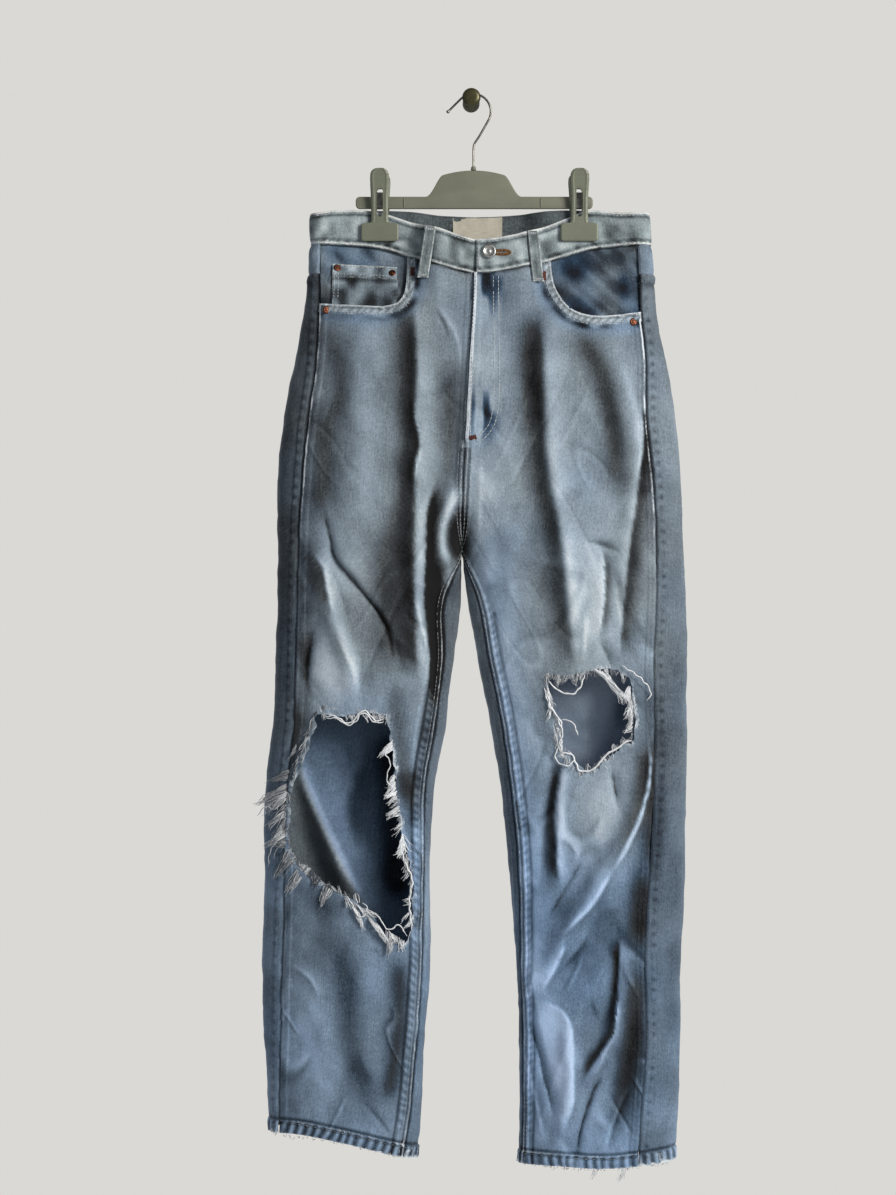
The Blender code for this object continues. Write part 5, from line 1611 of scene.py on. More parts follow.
def roped(across: Array, above: Array) -> Array:
    """How many turns of roping, slanted bars of a twisted hem, lie before each place."""
    return (across + 0.2 * above) / ROPE_PITCH


def hem_relief(across: Array, above: Array, seed: int) -> tuple[Array, Array]:
    """Where the hem is, and its relief: doubled cloth that is roped, with a groove above it.

    Args:
        across: Distance along the hem.
        above: Distance above its edge.
        seed: Which unevenness.

    Returns:
        1 in the hem and 0 above it, and the height at each place.
    """
    in_hem = smoothstep(HEM_HEIGHT + 0.0008, HEM_HEIGHT - 0.0008, above)
    bars = np.sin(2 * np.pi * roped(across, above) + 2.5 * cloud(across, above, 0.02, seed))
    return in_hem, in_hem * (0.0013 + 0.0005 * bars) - 0.0006 * bell(above - HEM_HEIGHT - 0.0008, 0.0016)


def dense(places: Sequence[Place], spacing: float = 0.001) -> Array:
    """Points close together on the straight lines through places and back to the first.

    Args:
        places: The lines' ends.
        spacing: The distance between the points.

    Returns:
        The points.
    """
    corners = np.array([*places, places[0]], float)
    travelled = lengths_along(corners)
    at = np.linspace(0, travelled[-1], int(travelled[-1] / spacing), endpoint=False)
    return np.stack([np.interp(at, travelled, column) for column in corners.T], -1)


def beside(route: Array, distance: float) -> Array:
    """A route moved sideways: to the right of one that runs downwards, when positive.

    Args:
        route: The route's points, as x, z.
        distance: How far to move it.

    Returns:
        The moved points.
    """
    along = np.gradient(route, axis=0)
    along /= np.maximum(np.linalg.norm(along, axis=1, keepdims=True), 1e-12)
    return route + distance * np.stack([-along[:, 1], along[:, 0]], -1)


def face_at(x: Array, level: Array, front: bool = True) -> Array:
    """Points of the garment's outer face at a given x and level, on whichever leg they fall.

    Args:
        x: The points' x.
        level: Height before the waist's dip and the hem's slant.
        front: Whether they are on the front.

    Returns:
        The points.
    """
    x, level = np.broadcast_arrays(x, level)
    on_left = x > curve(LEG_TABLE[Side.LEFT], "inner", level)
    left, right = (leg_face(side, level, turn_at(side, x, level, front)) for side in Side)
    return np.where(on_left[..., None], left, right)


def creased(x: Array, z: Array, seed: int = 201) -> Array:
    """Sharp-crested creases between -1 and 1: 1 - 2 |cloud|, for clouds drawn out along two slants.

    Args:
        x: The places' x.
        z: Their z.
        seed: Which clouds.

    Returns:
        The height at each place.
    """
    first = 1 - 2 * np.abs(cloud(x + 0.42 * z, 0.26 * (z - 0.42 * x), 0.036, seed))
    second = 1 - 2 * np.abs(cloud(x - 0.34 * z, 0.24 * (z + 0.34 * x), 0.029, seed + 1))
    return 0.6 * first + 0.4 * second


def wrinkle_shading(x: Array, z: Array, seed: int, slant: float = 0.6) -> Array:
    """Painted highlight and shade of fine wrinkles, between -1 and 1: 2.3 a exp(-a^2) for a cloud a, painted pale one
    side of its zero and dark the other.
    """
    value = cloud(x + slant * z, 0.30 * (z - slant * x), 0.030, seed) / 0.16
    return 2.3 * value * np.exp(-(value**2)) * smoothstep(0.0, 0.4, cloud(x, z, 0.05, seed + 5))


def steps(stretches: Sequence[tuple[float, float]]) -> Array:
    """Places from 0 to 1 with an even spacing in each stretch.

    Args:
        stretches: For each, its share of the whole and how many steps it holds.

    Returns:
        The places, one more than all the steps.
    """
    widths = np.concatenate([np.full(int(count), share / count) for share, count in stretches])
    return np.concatenate([[0], np.cumsum(widths) / widths.sum()])


class StitchLine(NamedTuple):
    """A row of stitches: its route in x and z, whether it is on the front, and its stitches' size."""

    route: Array
    front: bool = True
    length: float = 0.0039
    pitch: float = 0.0043
    radius: float = 0.00040
    tone: float = 0.6


def standing_off(ground: Ground, flat: Array, rise: Array, front: bool = True) -> Array:
    """Threads laid on the cloth.

    Args:
        ground: The cloth below.
        flat: The threads' x and z, of shape (threads, steps, 2).
        rise: How far each step along a thread stands off the cloth.
        front: Whether they lie on the front.

    Returns:
        The threads' points, of shape (threads, steps, 3).
    """
    points, normals = ground.meet(*flat.reshape(-1, 2).T, front)
    points += normals * np.tile(rise, len(flat))[:, None]
    return points.reshape(*flat.shape[:2], 3)


def lay_stitches(name: str, ground: Ground, lines: Sequence[StitchLine]) -> Piece:
    """Rows of stitches laid on the cloth, each stitch a short thread whose ends dip into it.

    Args:
        name: The object's name.
        ground: The cloth below.
        lines: The rows.

    Returns:
        The dressed object.
    """
    rng = np.random.default_rng(len(lines) + 5)
    rise = np.array([-0.9, 0.55, 0.85, 0.55, -0.9])
    thickness = np.array([0.55, 0.95, 1.0, 0.95, 0.55])
    groups = []
    for line in lines:
        route = spline(line.route, line.pitch)[:-1]
        route = route[rng.random(len(route)) > 0.04]  # a thread is worn through here and there
        way = np.gradient(route, axis=0)
        way /= np.maximum(np.linalg.norm(way, axis=1, keepdims=True), 1e-12)
        along = np.linspace(-0.5, 0.5, 5) * line.length
        points = standing_off(ground, route[:, None] + way[:, None] * along[:, None], rise * line.radius, line.front)
        radii = np.tile(line.radius * thickness, (len(route), 1))
        tone = np.clip(line.tone + rng.normal(0, 0.18, len(route)), 0, 1)
        groups.append((points, radii, tone))
    return dress(thread_object(name, groups), Finish.TOPSTITCH)


@dataclass
class Cloth:
    """A cut piece of cloth: a washed sheet, its rows of stitches and its dressed object."""

    side: Side
    sheet: Shell = field(init=False)
    name: ClassVar[str]
    node: ClassVar[str]
    finish: ClassVar[Finish] = Finish.DENIM

    def __post_init__(self) -> None:
        """Works out its form and its wash."""
        self.sheet = self.form()

    def form(self) -> Shell:
        """Its sheet, shaped and washed."""
        raise NotImplementedError

    def stitch_lines(self) -> list[StitchLine]:
        """Its rows of stitches: none, where they don't show."""
        return []

    def make(self) -> Piece:
        """The dressed piece."""
        return dress(self.sheet.build(self.name.format(self.side)), self.finish, self.node.format(self.side))


# ------------------------------------------------------------------ the jeans


@dataclass
class FrontPanel(Cloth):
    """A front leg panel: waist seam to hem, with a scooped pocket mouth and a torn knee."""

    band: float = 0.0092  # width of the hemmed band along the pocket's mouth
    curl: float = 0.0032  # how far the torn edges stand off
    mouth: Array = field(init=False)
    hole: Array = field(init=False)

    def __post_init__(self) -> None:
        """Works out the outlines of its mouth and its tear, then its form and its wash."""
        line = spline(metres(POCKET_MOUTHS[self.side]), 0.001)
        outside = MOUTH_OUTSIDE[self.side]
        corners = [(outside, line[-1, 1]), (outside, MOUTH_ABOVE), (line[0, 0], MOUTH_ABOVE)]
        self.mouth = np.concatenate([line, dense([line[-1], *corners, line[0]])])
        edge = spline(metres(KNEE_HOLES[self.side]), 0.0012, closed=True)
        ragged = 0.0022 * cloud(edge[:, 0], edge[:, 1], 0.0065, 41) + 0.0009 * cloud(
            edge[:, 0], edge[:, 1], 0.0026, 43
        )
        self.hole = beside(edge, ragged[:, None])
        super().__post_init__()

    def grid(self) -> Shell:
        """The panel's plain face: even rows down the leg and columns from inner seam to outer.

        Returns:
            The sheet, without crumples or cuts.
        """
        down = steps(((0.010, 9), (0.250, 122), (0.718, 290), (0.022, 17)))
        level = (SEAM_LEVEL + (HEM_LEVEL - SEAM_LEVEL) * down)[:, None]
        ends = [seam_turn(self.side, level, f"{seam}_seam") for seam in ("inner", "outer")]
        leg = LEG_TABLE[self.side]
        silhouette = [curve(leg, edge, level) for edge in ("outer", "inner")]
        middle, half = sum(silhouette) / 2, (silhouette[1] - silhouette[0]) / 2
        x = [middle + half * np.cos(end) for end in ends]
        across = steps(((0.075, 15), (0.85, 70), (0.075, 15)))
        even = np.arccos(np.clip((x[0] + (x[1] - x[0]) * across - middle) / half, -1, 1))
        turn = 0.5 * even + 0.5 * (ends[0] + (ends[1] - ends[0]) * across)
        return Shell(leg_face(self.side, level, turn), (0, -1, 0))

    def form(self) -> Shell:
        """The panel with its crumples, seams, hem, pocket band, fly and torn edges.

        Returns:
            The sheet.
        """
        sheet = self.grid()
        x, z = sheet.points[..., 0], sheet.points[..., 2]
        across, fallen = sheet.spans()
        inner, outer = across, across[:, -1:] - across
        below, above = fallen, fallen[-1:] - fallen
        torn = sheet.clearance(self.hole)
        mouth = np.abs(sheet.clearance(self.mouth))
        seed = 11 if self.side is Side.LEFT else 21
        free = smoothstep(0.0, 0.012, below) * smoothstep(0.0, 0.006, above)

        height = crumple(x, z) * (0.35 + 0.65 * free)
        loose = smoothstep(-0.27, -0.36, z) * smoothstep(0.006, 0.022, np.minimum(inner, outer)) * free
        height += loose * (0.0014 + 0.0014 * smoothstep(-0.66, -0.85, z) * (self.side is Side.LEFT)) * creased(x, z)
        height += seam_relief(outer, fallen, seed)
        felled = np.where(z < CROTCH_LEVEL, 0.0012, 0.0009)
        height += seam_relief(inner, fallen, seed + 1, FELL_WIDTH * 0.85, 1.0) * felled
        height -= 0.0015 * smoothstep(0.0060, 0.0, below)
        height += 0.0006 * cloud(across, below * 0.3, 0.010, seed + 2) * bell(below - 0.008, 0.012)
        in_hem, hem = hem_relief(across, above, seed + 3)
        height += hem
        in_band = smoothstep(self.band + 0.0010, self.band - 0.0008, mouth)
        height += 0.0011 * in_band - 0.0007 * bell(mouth, 0.0012)
        height += 0.0004 * cloud(x + z, z - x, 0.008, seed + 4) * bell(mouth - 0.006, 0.007)
        height += self.curl * bell(torn, 0.011) * (0.45 + 0.55 * cloud(x, z, 0.022, seed + 5))
        height += self.fly(sheet)

        sheet.fields = self.wash(sheet, inner, outer, below, above, torn, mouth)
        sheet.lining = {"fade": 0.50, "cast": 0.45, "wear": 0.06}
        sheet.thickness = DENIM_THICKNESS + 0.0018 * in_hem + 0.0006 * in_band
        sheet.lift(height)
        sheet.cut(self.mouth, CELL * 0.62)
        sheet.cut(self.hole, CELL * 0.62)
        return sheet

    def fly(self, sheet: Shell) -> Array:
        """Height of the fly: doubled cloth on the left front, and the right front's dip below it.

        Args:
            sheet: The panel's plain face.

        Returns:
            The height at each point.
        """
        z = sheet.points[..., 2]
        across = sheet.spans()[0]
        in_fly = smoothstep(-0.384, -0.372, z)
        if self.side is Side.RIGHT:
            return -0.0016 * bell(across, 0.009) * in_fly
        stitch = spline(metres(FLY_STITCH), 0.001)
        width = np.interp(-z, -stitch[:, 1], stitch[:, 0] - 0.002)
        doubled = 0.0009 * smoothstep(0.0035, -0.0005, across - width)
        return (doubled + 0.0013 * bell(across, 0.0042) - 0.0006 * bell(across - width, 0.0016)) * in_fly

    def wash(self, sheet: Shell, inner: Array, outer: Array, below: Array, above: Array, torn: Array,
             mouth: Array) -> dict[str, Array]:
        """How far the cloth is washed out, how grey it is, where it is rubbed to white, and its painted fold shading.

        Args:
            sheet: The panel's plain face.
            inner: Distance from the inner seam.
            outer: Distance from the outseam.
            below: Distance below the waist seam.
            above: Distance above the hem.
            torn: Distance outside the torn edge.
            mouth: Distance from the pocket's mouth.

        Returns:
            The attributes "fade", "cast", "wear", "rope" and "phase".
        """
        x, z = sheet.points[..., 0], sheet.points[..., 2]
        left = self.side is Side.LEFT
        seed = 51 if left else 61
        thigh = smoothstep(-0.56, -0.42, z)  # 1 on the thigh, 0 from the knee down
        hem = smoothstep(HEM_HEIGHT + 0.001, HEM_HEIGHT - 0.001, above)
        band = smoothstep(self.band, self.band - 0.002, mouth)

        # The legs: painted highlight and shade of folds, creases and fine wrinkles, more of them towards the hem.
        tone = tones(FRONT_CREASE_SHADING, x, z)
        loose = smoothstep(-0.27, -0.36, z)
        fine = wrinkle_shading(x, z, 211) + wrinkle_shading(x, z, 223, -0.5)
        # The folds' relief and the creases' tones paint ridges paler, partly as rubbed wear and partly as painted
        # highlight, and valleys darker as painted shade; the wrinkles are painted highlight and shade alone.
        fade = 0.61 + 3.0 * relief(FRONT_FOLDS, x, z) + tone
        fade += loose * (0.07 * creased(x, z) + (0.07 + 0.08 * smoothstep(-0.6, -0.9, z)) * fine)
        fade += 0.03 * cloud(x, z * 0.5, 0.055, seed) + 0.05 * cloud(x, z * 0.6, 0.016, seed + 1)
        wear = 0.07 * cloud(x, z, 0.012, seed + 6)
        cast = 0.78 - 0.66 * smoothstep(-0.60, -0.88, z) + 0.15 * cloud(x, z, 0.06, seed + 7)
        # Painted shade: where the creases' tones are darkest, the cloth turns greyer as well.
        cast += 0.7 * smoothstep(-0.22, -0.55, tone)

        # The seams: dark in their grooves, rubbed on their shoulders.
        faint = 0.4 + 0.6 * thigh
        fade -= 0.06 * smoothstep(0.82, 0.98, inner / (inner + outer)) + 0.08 * bell(inner, 0.006) * (z < -0.3)
        fade -= (0.42 * bell(outer, 0.0012) + 0.12 * bell(outer - 0.0052, 0.0014)) * faint + 0.34 * bell(below, 0.0030)
        fade -= (0.50 * bell(inner, 0.0012) + 0.26 * bell(inner - 0.0050, 0.0012)) * (z < -0.385)
        fade -= 0.34 * bell(inner - 0.0150, 0.0016) * (z < -0.560)
        wear += 0.5 * seam_wear(outer, z, seed + 2) * faint + 0.5 * seam_wear(inner, z, seed + 3)
        pale = 0.66 + 0.5 * cloud(z, outer, 0.014, seed + 12)
        wear += pale * bell(outer - 0.0025, 0.0010) * thigh + 0.36 * bell(inner - 0.0026, 0.0010)
        felled = bell(inner - 0.0100, 0.0034) * smoothstep(-0.52, -0.57, z)

        # The pocket's mouth: a pale hemmed band with a dark, stained edge.
        stain = 0.6 + 0.8 * cloud(x, z, 0.012, seed + 9)
        fade -= 0.50 * bell(mouth - self.band - 0.0030, 0.0036) * stain + 0.30 * bell(mouth - 0.0034, 0.0010)
        fade += 0.14 * band
        wear += 0.85 * bell(mouth - 0.0014, 0.0014) + 0.50 * bell(mouth - self.band, 0.0013)
        cast += 0.3 * band - 0.40 * bell(mouth - self.band - 0.0050, 0.008)

        # The hem, roped like the mouth and the inseam.
        fade -= 0.34 * bell(above - HEM_HEIGHT - 0.0030, 0.0018) + 0.30 * bell(above - HEM_HEIGHT + 0.0016, 0.0010)
        fade -= 0.12 * hem
        wear += 0.50 * bell(above, 0.0018) + 0.50 * bell(above - HEM_HEIGHT - 0.0006, 0.0011)
        rope = 1.2 * hem + 0.6 * felled + 0.2 * bell(outer + 0.001, 0.0030) + 0.8 * bell(mouth - 0.0062, 0.0028)
        phase = np.where(above < 0.03, roped(inner, above), (-z + 0.6 * inner) / 0.0088)
        phase = np.where(mouth < 0.012, (1.3 * x - z) / 0.0110, phase) + 0.35 * cloud(x, z, 0.018, seed + 8)

        # The torn edge, rubbed in patches.
        edge = np.maximum(torn, 0)
        wear += 0.42 * bell(edge, 0.0040) * (0.7 + 0.9 * cloud(x, z, 0.006, seed + 5)) + 0.12 * bell(edge, 0.016)

        if left:
            patch = bell(np.hypot(x - 0.135, 0.7 * (z + 0.785)), 0.045)  # bleached, below the tear
            cast += 0.55 * patch - 0.5 * bell(x - 0.024, 0.030) * smoothstep(-0.42, -0.55, z)
            fly = sum(
                bell(np.hypot(x - place, (z - level) * 0.6), width)
                for place, level, width in ((0.017, -0.200, 0.017), (0.012, -0.350, 0.014))
            ) * np.clip(0.8 + 2.6 * cloud(x * 1.2, z * 0.35, 0.009, 97), 0, 1.6)
            fade += 0.08 * patch
            fade += (0.10 * bell(inner - 0.014, 0.014) - 0.44 * fly) * smoothstep(-0.40, -0.37, z)
            wear += 0.75 * bell(inner, 0.0022) * smoothstep(-0.384, -0.372, z)
            cast -= 0.8 * fly
        else:
            shin = smoothstep(-0.80, -0.90, z)
            cast += 0.22 * shin
            fade -= 0.08 * shin
        # The fade may fall below 0, past the ramp's darkest colour, for the painted black shade in the crotch's
        # valleys.
        limits = {"fade": (-0.16, 0.97), "cast": (0, 1), "wear": (0, 1), "rope": (0, 1.2)}
        washed = {"fade": fade, "cast": cast, "wear": wear, "rope": rope}
        return {key: np.clip(value, *limits[key]) for key, value in washed.items()} | {"phase": phase}

    def stitch_lines(self) -> list[StitchLine]:
        """Rows along the inseam, the hem, the pocket's mouth and, on the left front, the fly.

        Returns:
            The rows.
        """
        across, _ = self.sheet.spans()
        lines = []
        for distance, tone in ((0.0026, 0.50), (0.0068, 0.30)):
            track = self.sheet.track(across, distance)
            lines.append(StitchLine(track[track[:, 2] < -0.388][::3][:, [0, 2]], radius=0.0003, tone=tone))
        level = self.sheet.track_level(HEM_HEIGHT - 0.0016, from_below=True)
        lines.append(StitchLine(level[2:-2:3][:, [0, 2]], tone=0.10))
        line = spline(metres(POCKET_MOUTHS[self.side]), 0.004)
        sign = -1 if self.side is Side.RIGHT else 1
        for distance in (0.0018, self.band - 0.0012):
            route = beside(line, -sign * distance)
            keep = (route[:, 1] < SEAM_LEVEL - 0.014) & (np.abs(route[:, 0]) < 0.172)
            lines.append(StitchLine(route[keep], tone=0.7))
        if self.side is Side.LEFT:
            stitch = spline(metres(FLY_STITCH), 0.004)
            lines += [StitchLine(stitch[1:], tone=0.9), StitchLine(beside(stitch, -0.0055)[1:], tone=0.85)]
            edge = spline(metres(FLY_EDGE), 0.004)
            lines.append(StitchLine(beside(edge, 0.0030)[2:], tone=0.8))
        return lines

    def make(self) -> Piece:
        """The dressed panel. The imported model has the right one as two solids, above and at the tear."""
        nodes = ["front_left"] if self.side is Side.LEFT else ["front_right", "front_right_lower"]
        return dress(self.sheet.build(f"front_panel_{self.side}"), Finish.DENIM, *nodes)


def back_face(side: Side, levels: Array, fall: Array, cell: float) -> Array:
    """Points of a back piece, from the outseam on the front round the outer edge to the inseam.

    Each row is level at the side and falls towards the centre back by its own share of YOKE_FALL.

    Args:
        side: The wearer's side.
        levels: The rows' levels at the side.
        fall: Each row's share of the fall.
        cell: The spacing of the points along a row.

    Returns:
        The points.
    """
    across = steps(((0.045, 12), (0.91, int(0.29 / cell)), (0.045, 12)))
    columns = len(across)
    level = np.repeat(levels[:, None], columns, 1)
    for _ in range(3):
        inseam = seam_turn(side, level, "inner_seam") * (level < CROTCH_LEVEL)
        start, end = seam_turn(side, level, "outer_seam"), 2 * math.pi + inseam
        turn = start + (end - start) * across
        # Even steps of turn crowd the points at the edges, so that the tight bends stay round.
        share = np.clip((turn - math.pi) / math.pi, 0, 1)
        level = levels[:, None] - YOKE_FALL * fall[:, None] * share
    return leg_face(side, level, turn)


@dataclass
class BackPanel(Cloth):
    """A back leg panel, which also shows on the front outside the outseam and inside the inseam."""

    name = "back_panel_{}"
    node = "back_{}"

    def form(self) -> Shell:
        """The panel with its crumples, its seams on both long edges and under the yoke, and its hem.

        Returns:
            The sheet.
        """
        levels = YOKE_SIDE_LEVEL + (HEM_LEVEL - YOKE_SIDE_LEVEL) * steps(((0.016, 11), (0.960, 250), (0.024, 15)))
        fall = smoothstep(YOKE_FADE_LENGTH, 0, YOKE_SIDE_LEVEL - levels)
        sheet = Shell(back_face(self.side, levels, fall, BACK_CELL), (0, 1, 0))
        x, z = sheet.points[..., 0], sheet.points[..., 2]
        across, fallen = sheet.spans()
        outer, inner, above = across, across[:, -1:] - across, fallen[-1:] - fallen
        left = self.side is Side.LEFT
        seed = 31 if left else 36
        height = crumple(x, z, 5) * smoothstep(0.0, 0.010, fallen)
        height += seam_relief(outer, z, seed) + seam_relief(inner, z, seed + 1)
        height += seam_relief(fallen, across, seed + 2, FELL_WIDTH, 0.0009)
        in_hem, hem = hem_relief(across, above, seed + 3)
        height += hem
        height = joined(height, inner, z)

        on_back = smoothstep(0.03, 0.06, outer) * smoothstep(0.01, 0.04, inner)
        # Painted highlight and shade: the back's fold ridges paler, their valleys darker, with the creases' tones
        # added.
        fade = 0.58 + (5.0 * relief(BACK_FOLDS, x, z) + tones(BACK_CREASE_SHADING, x, z)) * on_back
        fade += 0.10 * cloud(x, z * 0.5, 0.055, seed + 4) + 0.07 * cloud(x, z * 0.6, 0.020, seed + 5)
        faint = 1 - 0.6 * smoothstep(-0.42, -0.56, z)
        fade -= 0.40 * bell(outer, 0.0016) * faint + 0.40 * bell(inner, 0.0016) + 0.16 * bell(fallen - 0.012, 0.004)
        # Painted shade on the strip of the back panel that shows on the front outside the outseam: on the right leg,
        # which turns away from the light, fading down the shin; on the left leg, darker by the knee.
        knee = bell(z + 0.780, 0.070) * bell(outer - 0.006, 0.010)
        shade = 0.12 + 0.24 * knee if left else 0.18 - 0.16 * smoothstep(-0.60, -0.90, z)
        fade -= (1 - on_back) * shade
        wear = 0.6 * seam_wear(outer, z, seed + 6) * faint + 0.6 * seam_wear(inner, z, seed + 7)
        wear += 0.6 * seam_wear(fallen, across, seed + 8)
        wear += in_hem * (0.2 + 0.3 * cloud(across + 0.9 * above, above * 0.3, 0.006, seed + 9))
        wear += 0.5 * bell(above, 0.0022) + 0.06 * cloud(x, z, 0.012, seed + 10)
        cast = 0.75 - 0.45 * smoothstep(-0.55, -0.95, z) + 0.15 * cloud(x, z, 0.06, seed + 11)
        fade -= 0.30 * bell(above - HEM_HEIGHT - 0.0030, 0.0018) + 0.18 * bell(outer - 0.0085, 0.0030) * (
            bell(np.mod(z, 0.012) - 0.006, 0.0022) * (z < -0.24)
        )
        sheet.fields = {
            "fade": np.clip(fade, 0.02, 0.97), "cast": np.clip(cast, 0, 1), "wear": np.clip(wear, 0, 1),
            "rope": 1.2 * in_hem + 0.3 * bell(outer - 0.006, 0.0032) * (z > -0.45),
            "phase": np.where(above < 0.03, roped(across, above), (0.6 * outer - z) / 0.0120),
        }
        # The inside, seen through the tears. On the right leg it is painted darker and greyer left of the fold's
        # ridge, as painted shade, and paler and bluer right of it, towards the light; on the left leg it is painted
        # pale round the small tear, as painted light in a hollow that lies in shade.
        ridge = metres(LINING_CREASE_SHADING[0].route)
        past = smoothstep(-0.004, 0.001, x - np.interp(-z, -ridge[:, 1], ridge[:, 0]))
        bright, grey = 0.43 + 0.12 * past, 0.90 - 0.75 * past
        if left:
            bright, grey = 0.93 + 0.16 * bell(np.hypot(x - 0.122, z + 0.670), 0.050), grey + 0.30
        sheet.lining = {
            "fade": np.clip(bright + tones(LINING_CREASE_SHADING, x, z, 0.0040), 0.02, 0.97),
            "cast": np.clip(grey, 0, 1), "wear": 0.02, "rope": 0.0,
        }
        sheet.thickness = DENIM_THICKNESS + 0.0018 * in_hem
        sheet.lift(height)
        return sheet

    def stitch_lines(self) -> list[StitchLine]:
        """Rows under the yoke and along the hem, on the back.

        Returns:
            The rows.
        """
        felled = [self.sheet.track_level(distance)[25:-3:3] for distance in (0.0018, 0.0078)]
        hem = self.sheet.track_level(HEM_HEIGHT - 0.0016, from_below=True)[24:-12:3]
        return [StitchLine(row[:, [0, 2]], False, tone=0.7) for row in felled] + [
            StitchLine(hem[:, [0, 2]], False, tone=0.6)
        ]


@dataclass
class Yoke(Cloth):
    """The yoke between the waistband and a back panel, deeper at the centre back."""

    name = "yoke_panel_{}"
    node = "yoke_{}"

    def form(self) -> Shell:
        """The yoke, tucked under the waistband and felled to the back panel.

        Returns:
            The sheet.
        """
        rows = 27
        levels = np.linspace(SEAM_LEVEL, YOKE_SIDE_LEVEL, rows)
        sheet = Shell(back_face(self.side, levels, np.linspace(0, 1, rows), 0.0027), (0, 1, 0))
        x, z = sheet.points[..., 0], sheet.points[..., 2]
        across, fallen = sheet.spans()
        outer, inner, above = across, across[:, -1:] - across, fallen[-1:] - fallen
        seed = 71 if self.side is Side.LEFT else 76
        height = crumple(x, z, 5) * smoothstep(0, 0.01, above) * smoothstep(0, 0.01, fallen)
        height += seam_relief(outer, z, seed) + seam_relief(inner, z, seed + 1)
        height -= 0.0015 * smoothstep(0.0060, 0.0, fallen) + 0.0010 * bell(above, 0.0016)
        height = joined(height, inner, z)
        fade = 0.58 + 0.14 * cloud(x, z, 0.03, seed + 2) - 0.12 * bell(fallen, 0.008)
        wear = seam_wear(outer, z, seed + 3) + seam_wear(inner, z, seed + 4) + 0.25 * bell(above, 0.002)
        cast = 0.6 + 0.1 * cloud(x, z, 0.05, seed + 5)
        sheet.fields = {"fade": fade, "cast": cast, "wear": np.clip(wear, 0, 1)}
        sheet.lining = {"fade": 0.50, "cast": 0.5, "wear": 0.04}
        sheet.lift(height)
        return sheet


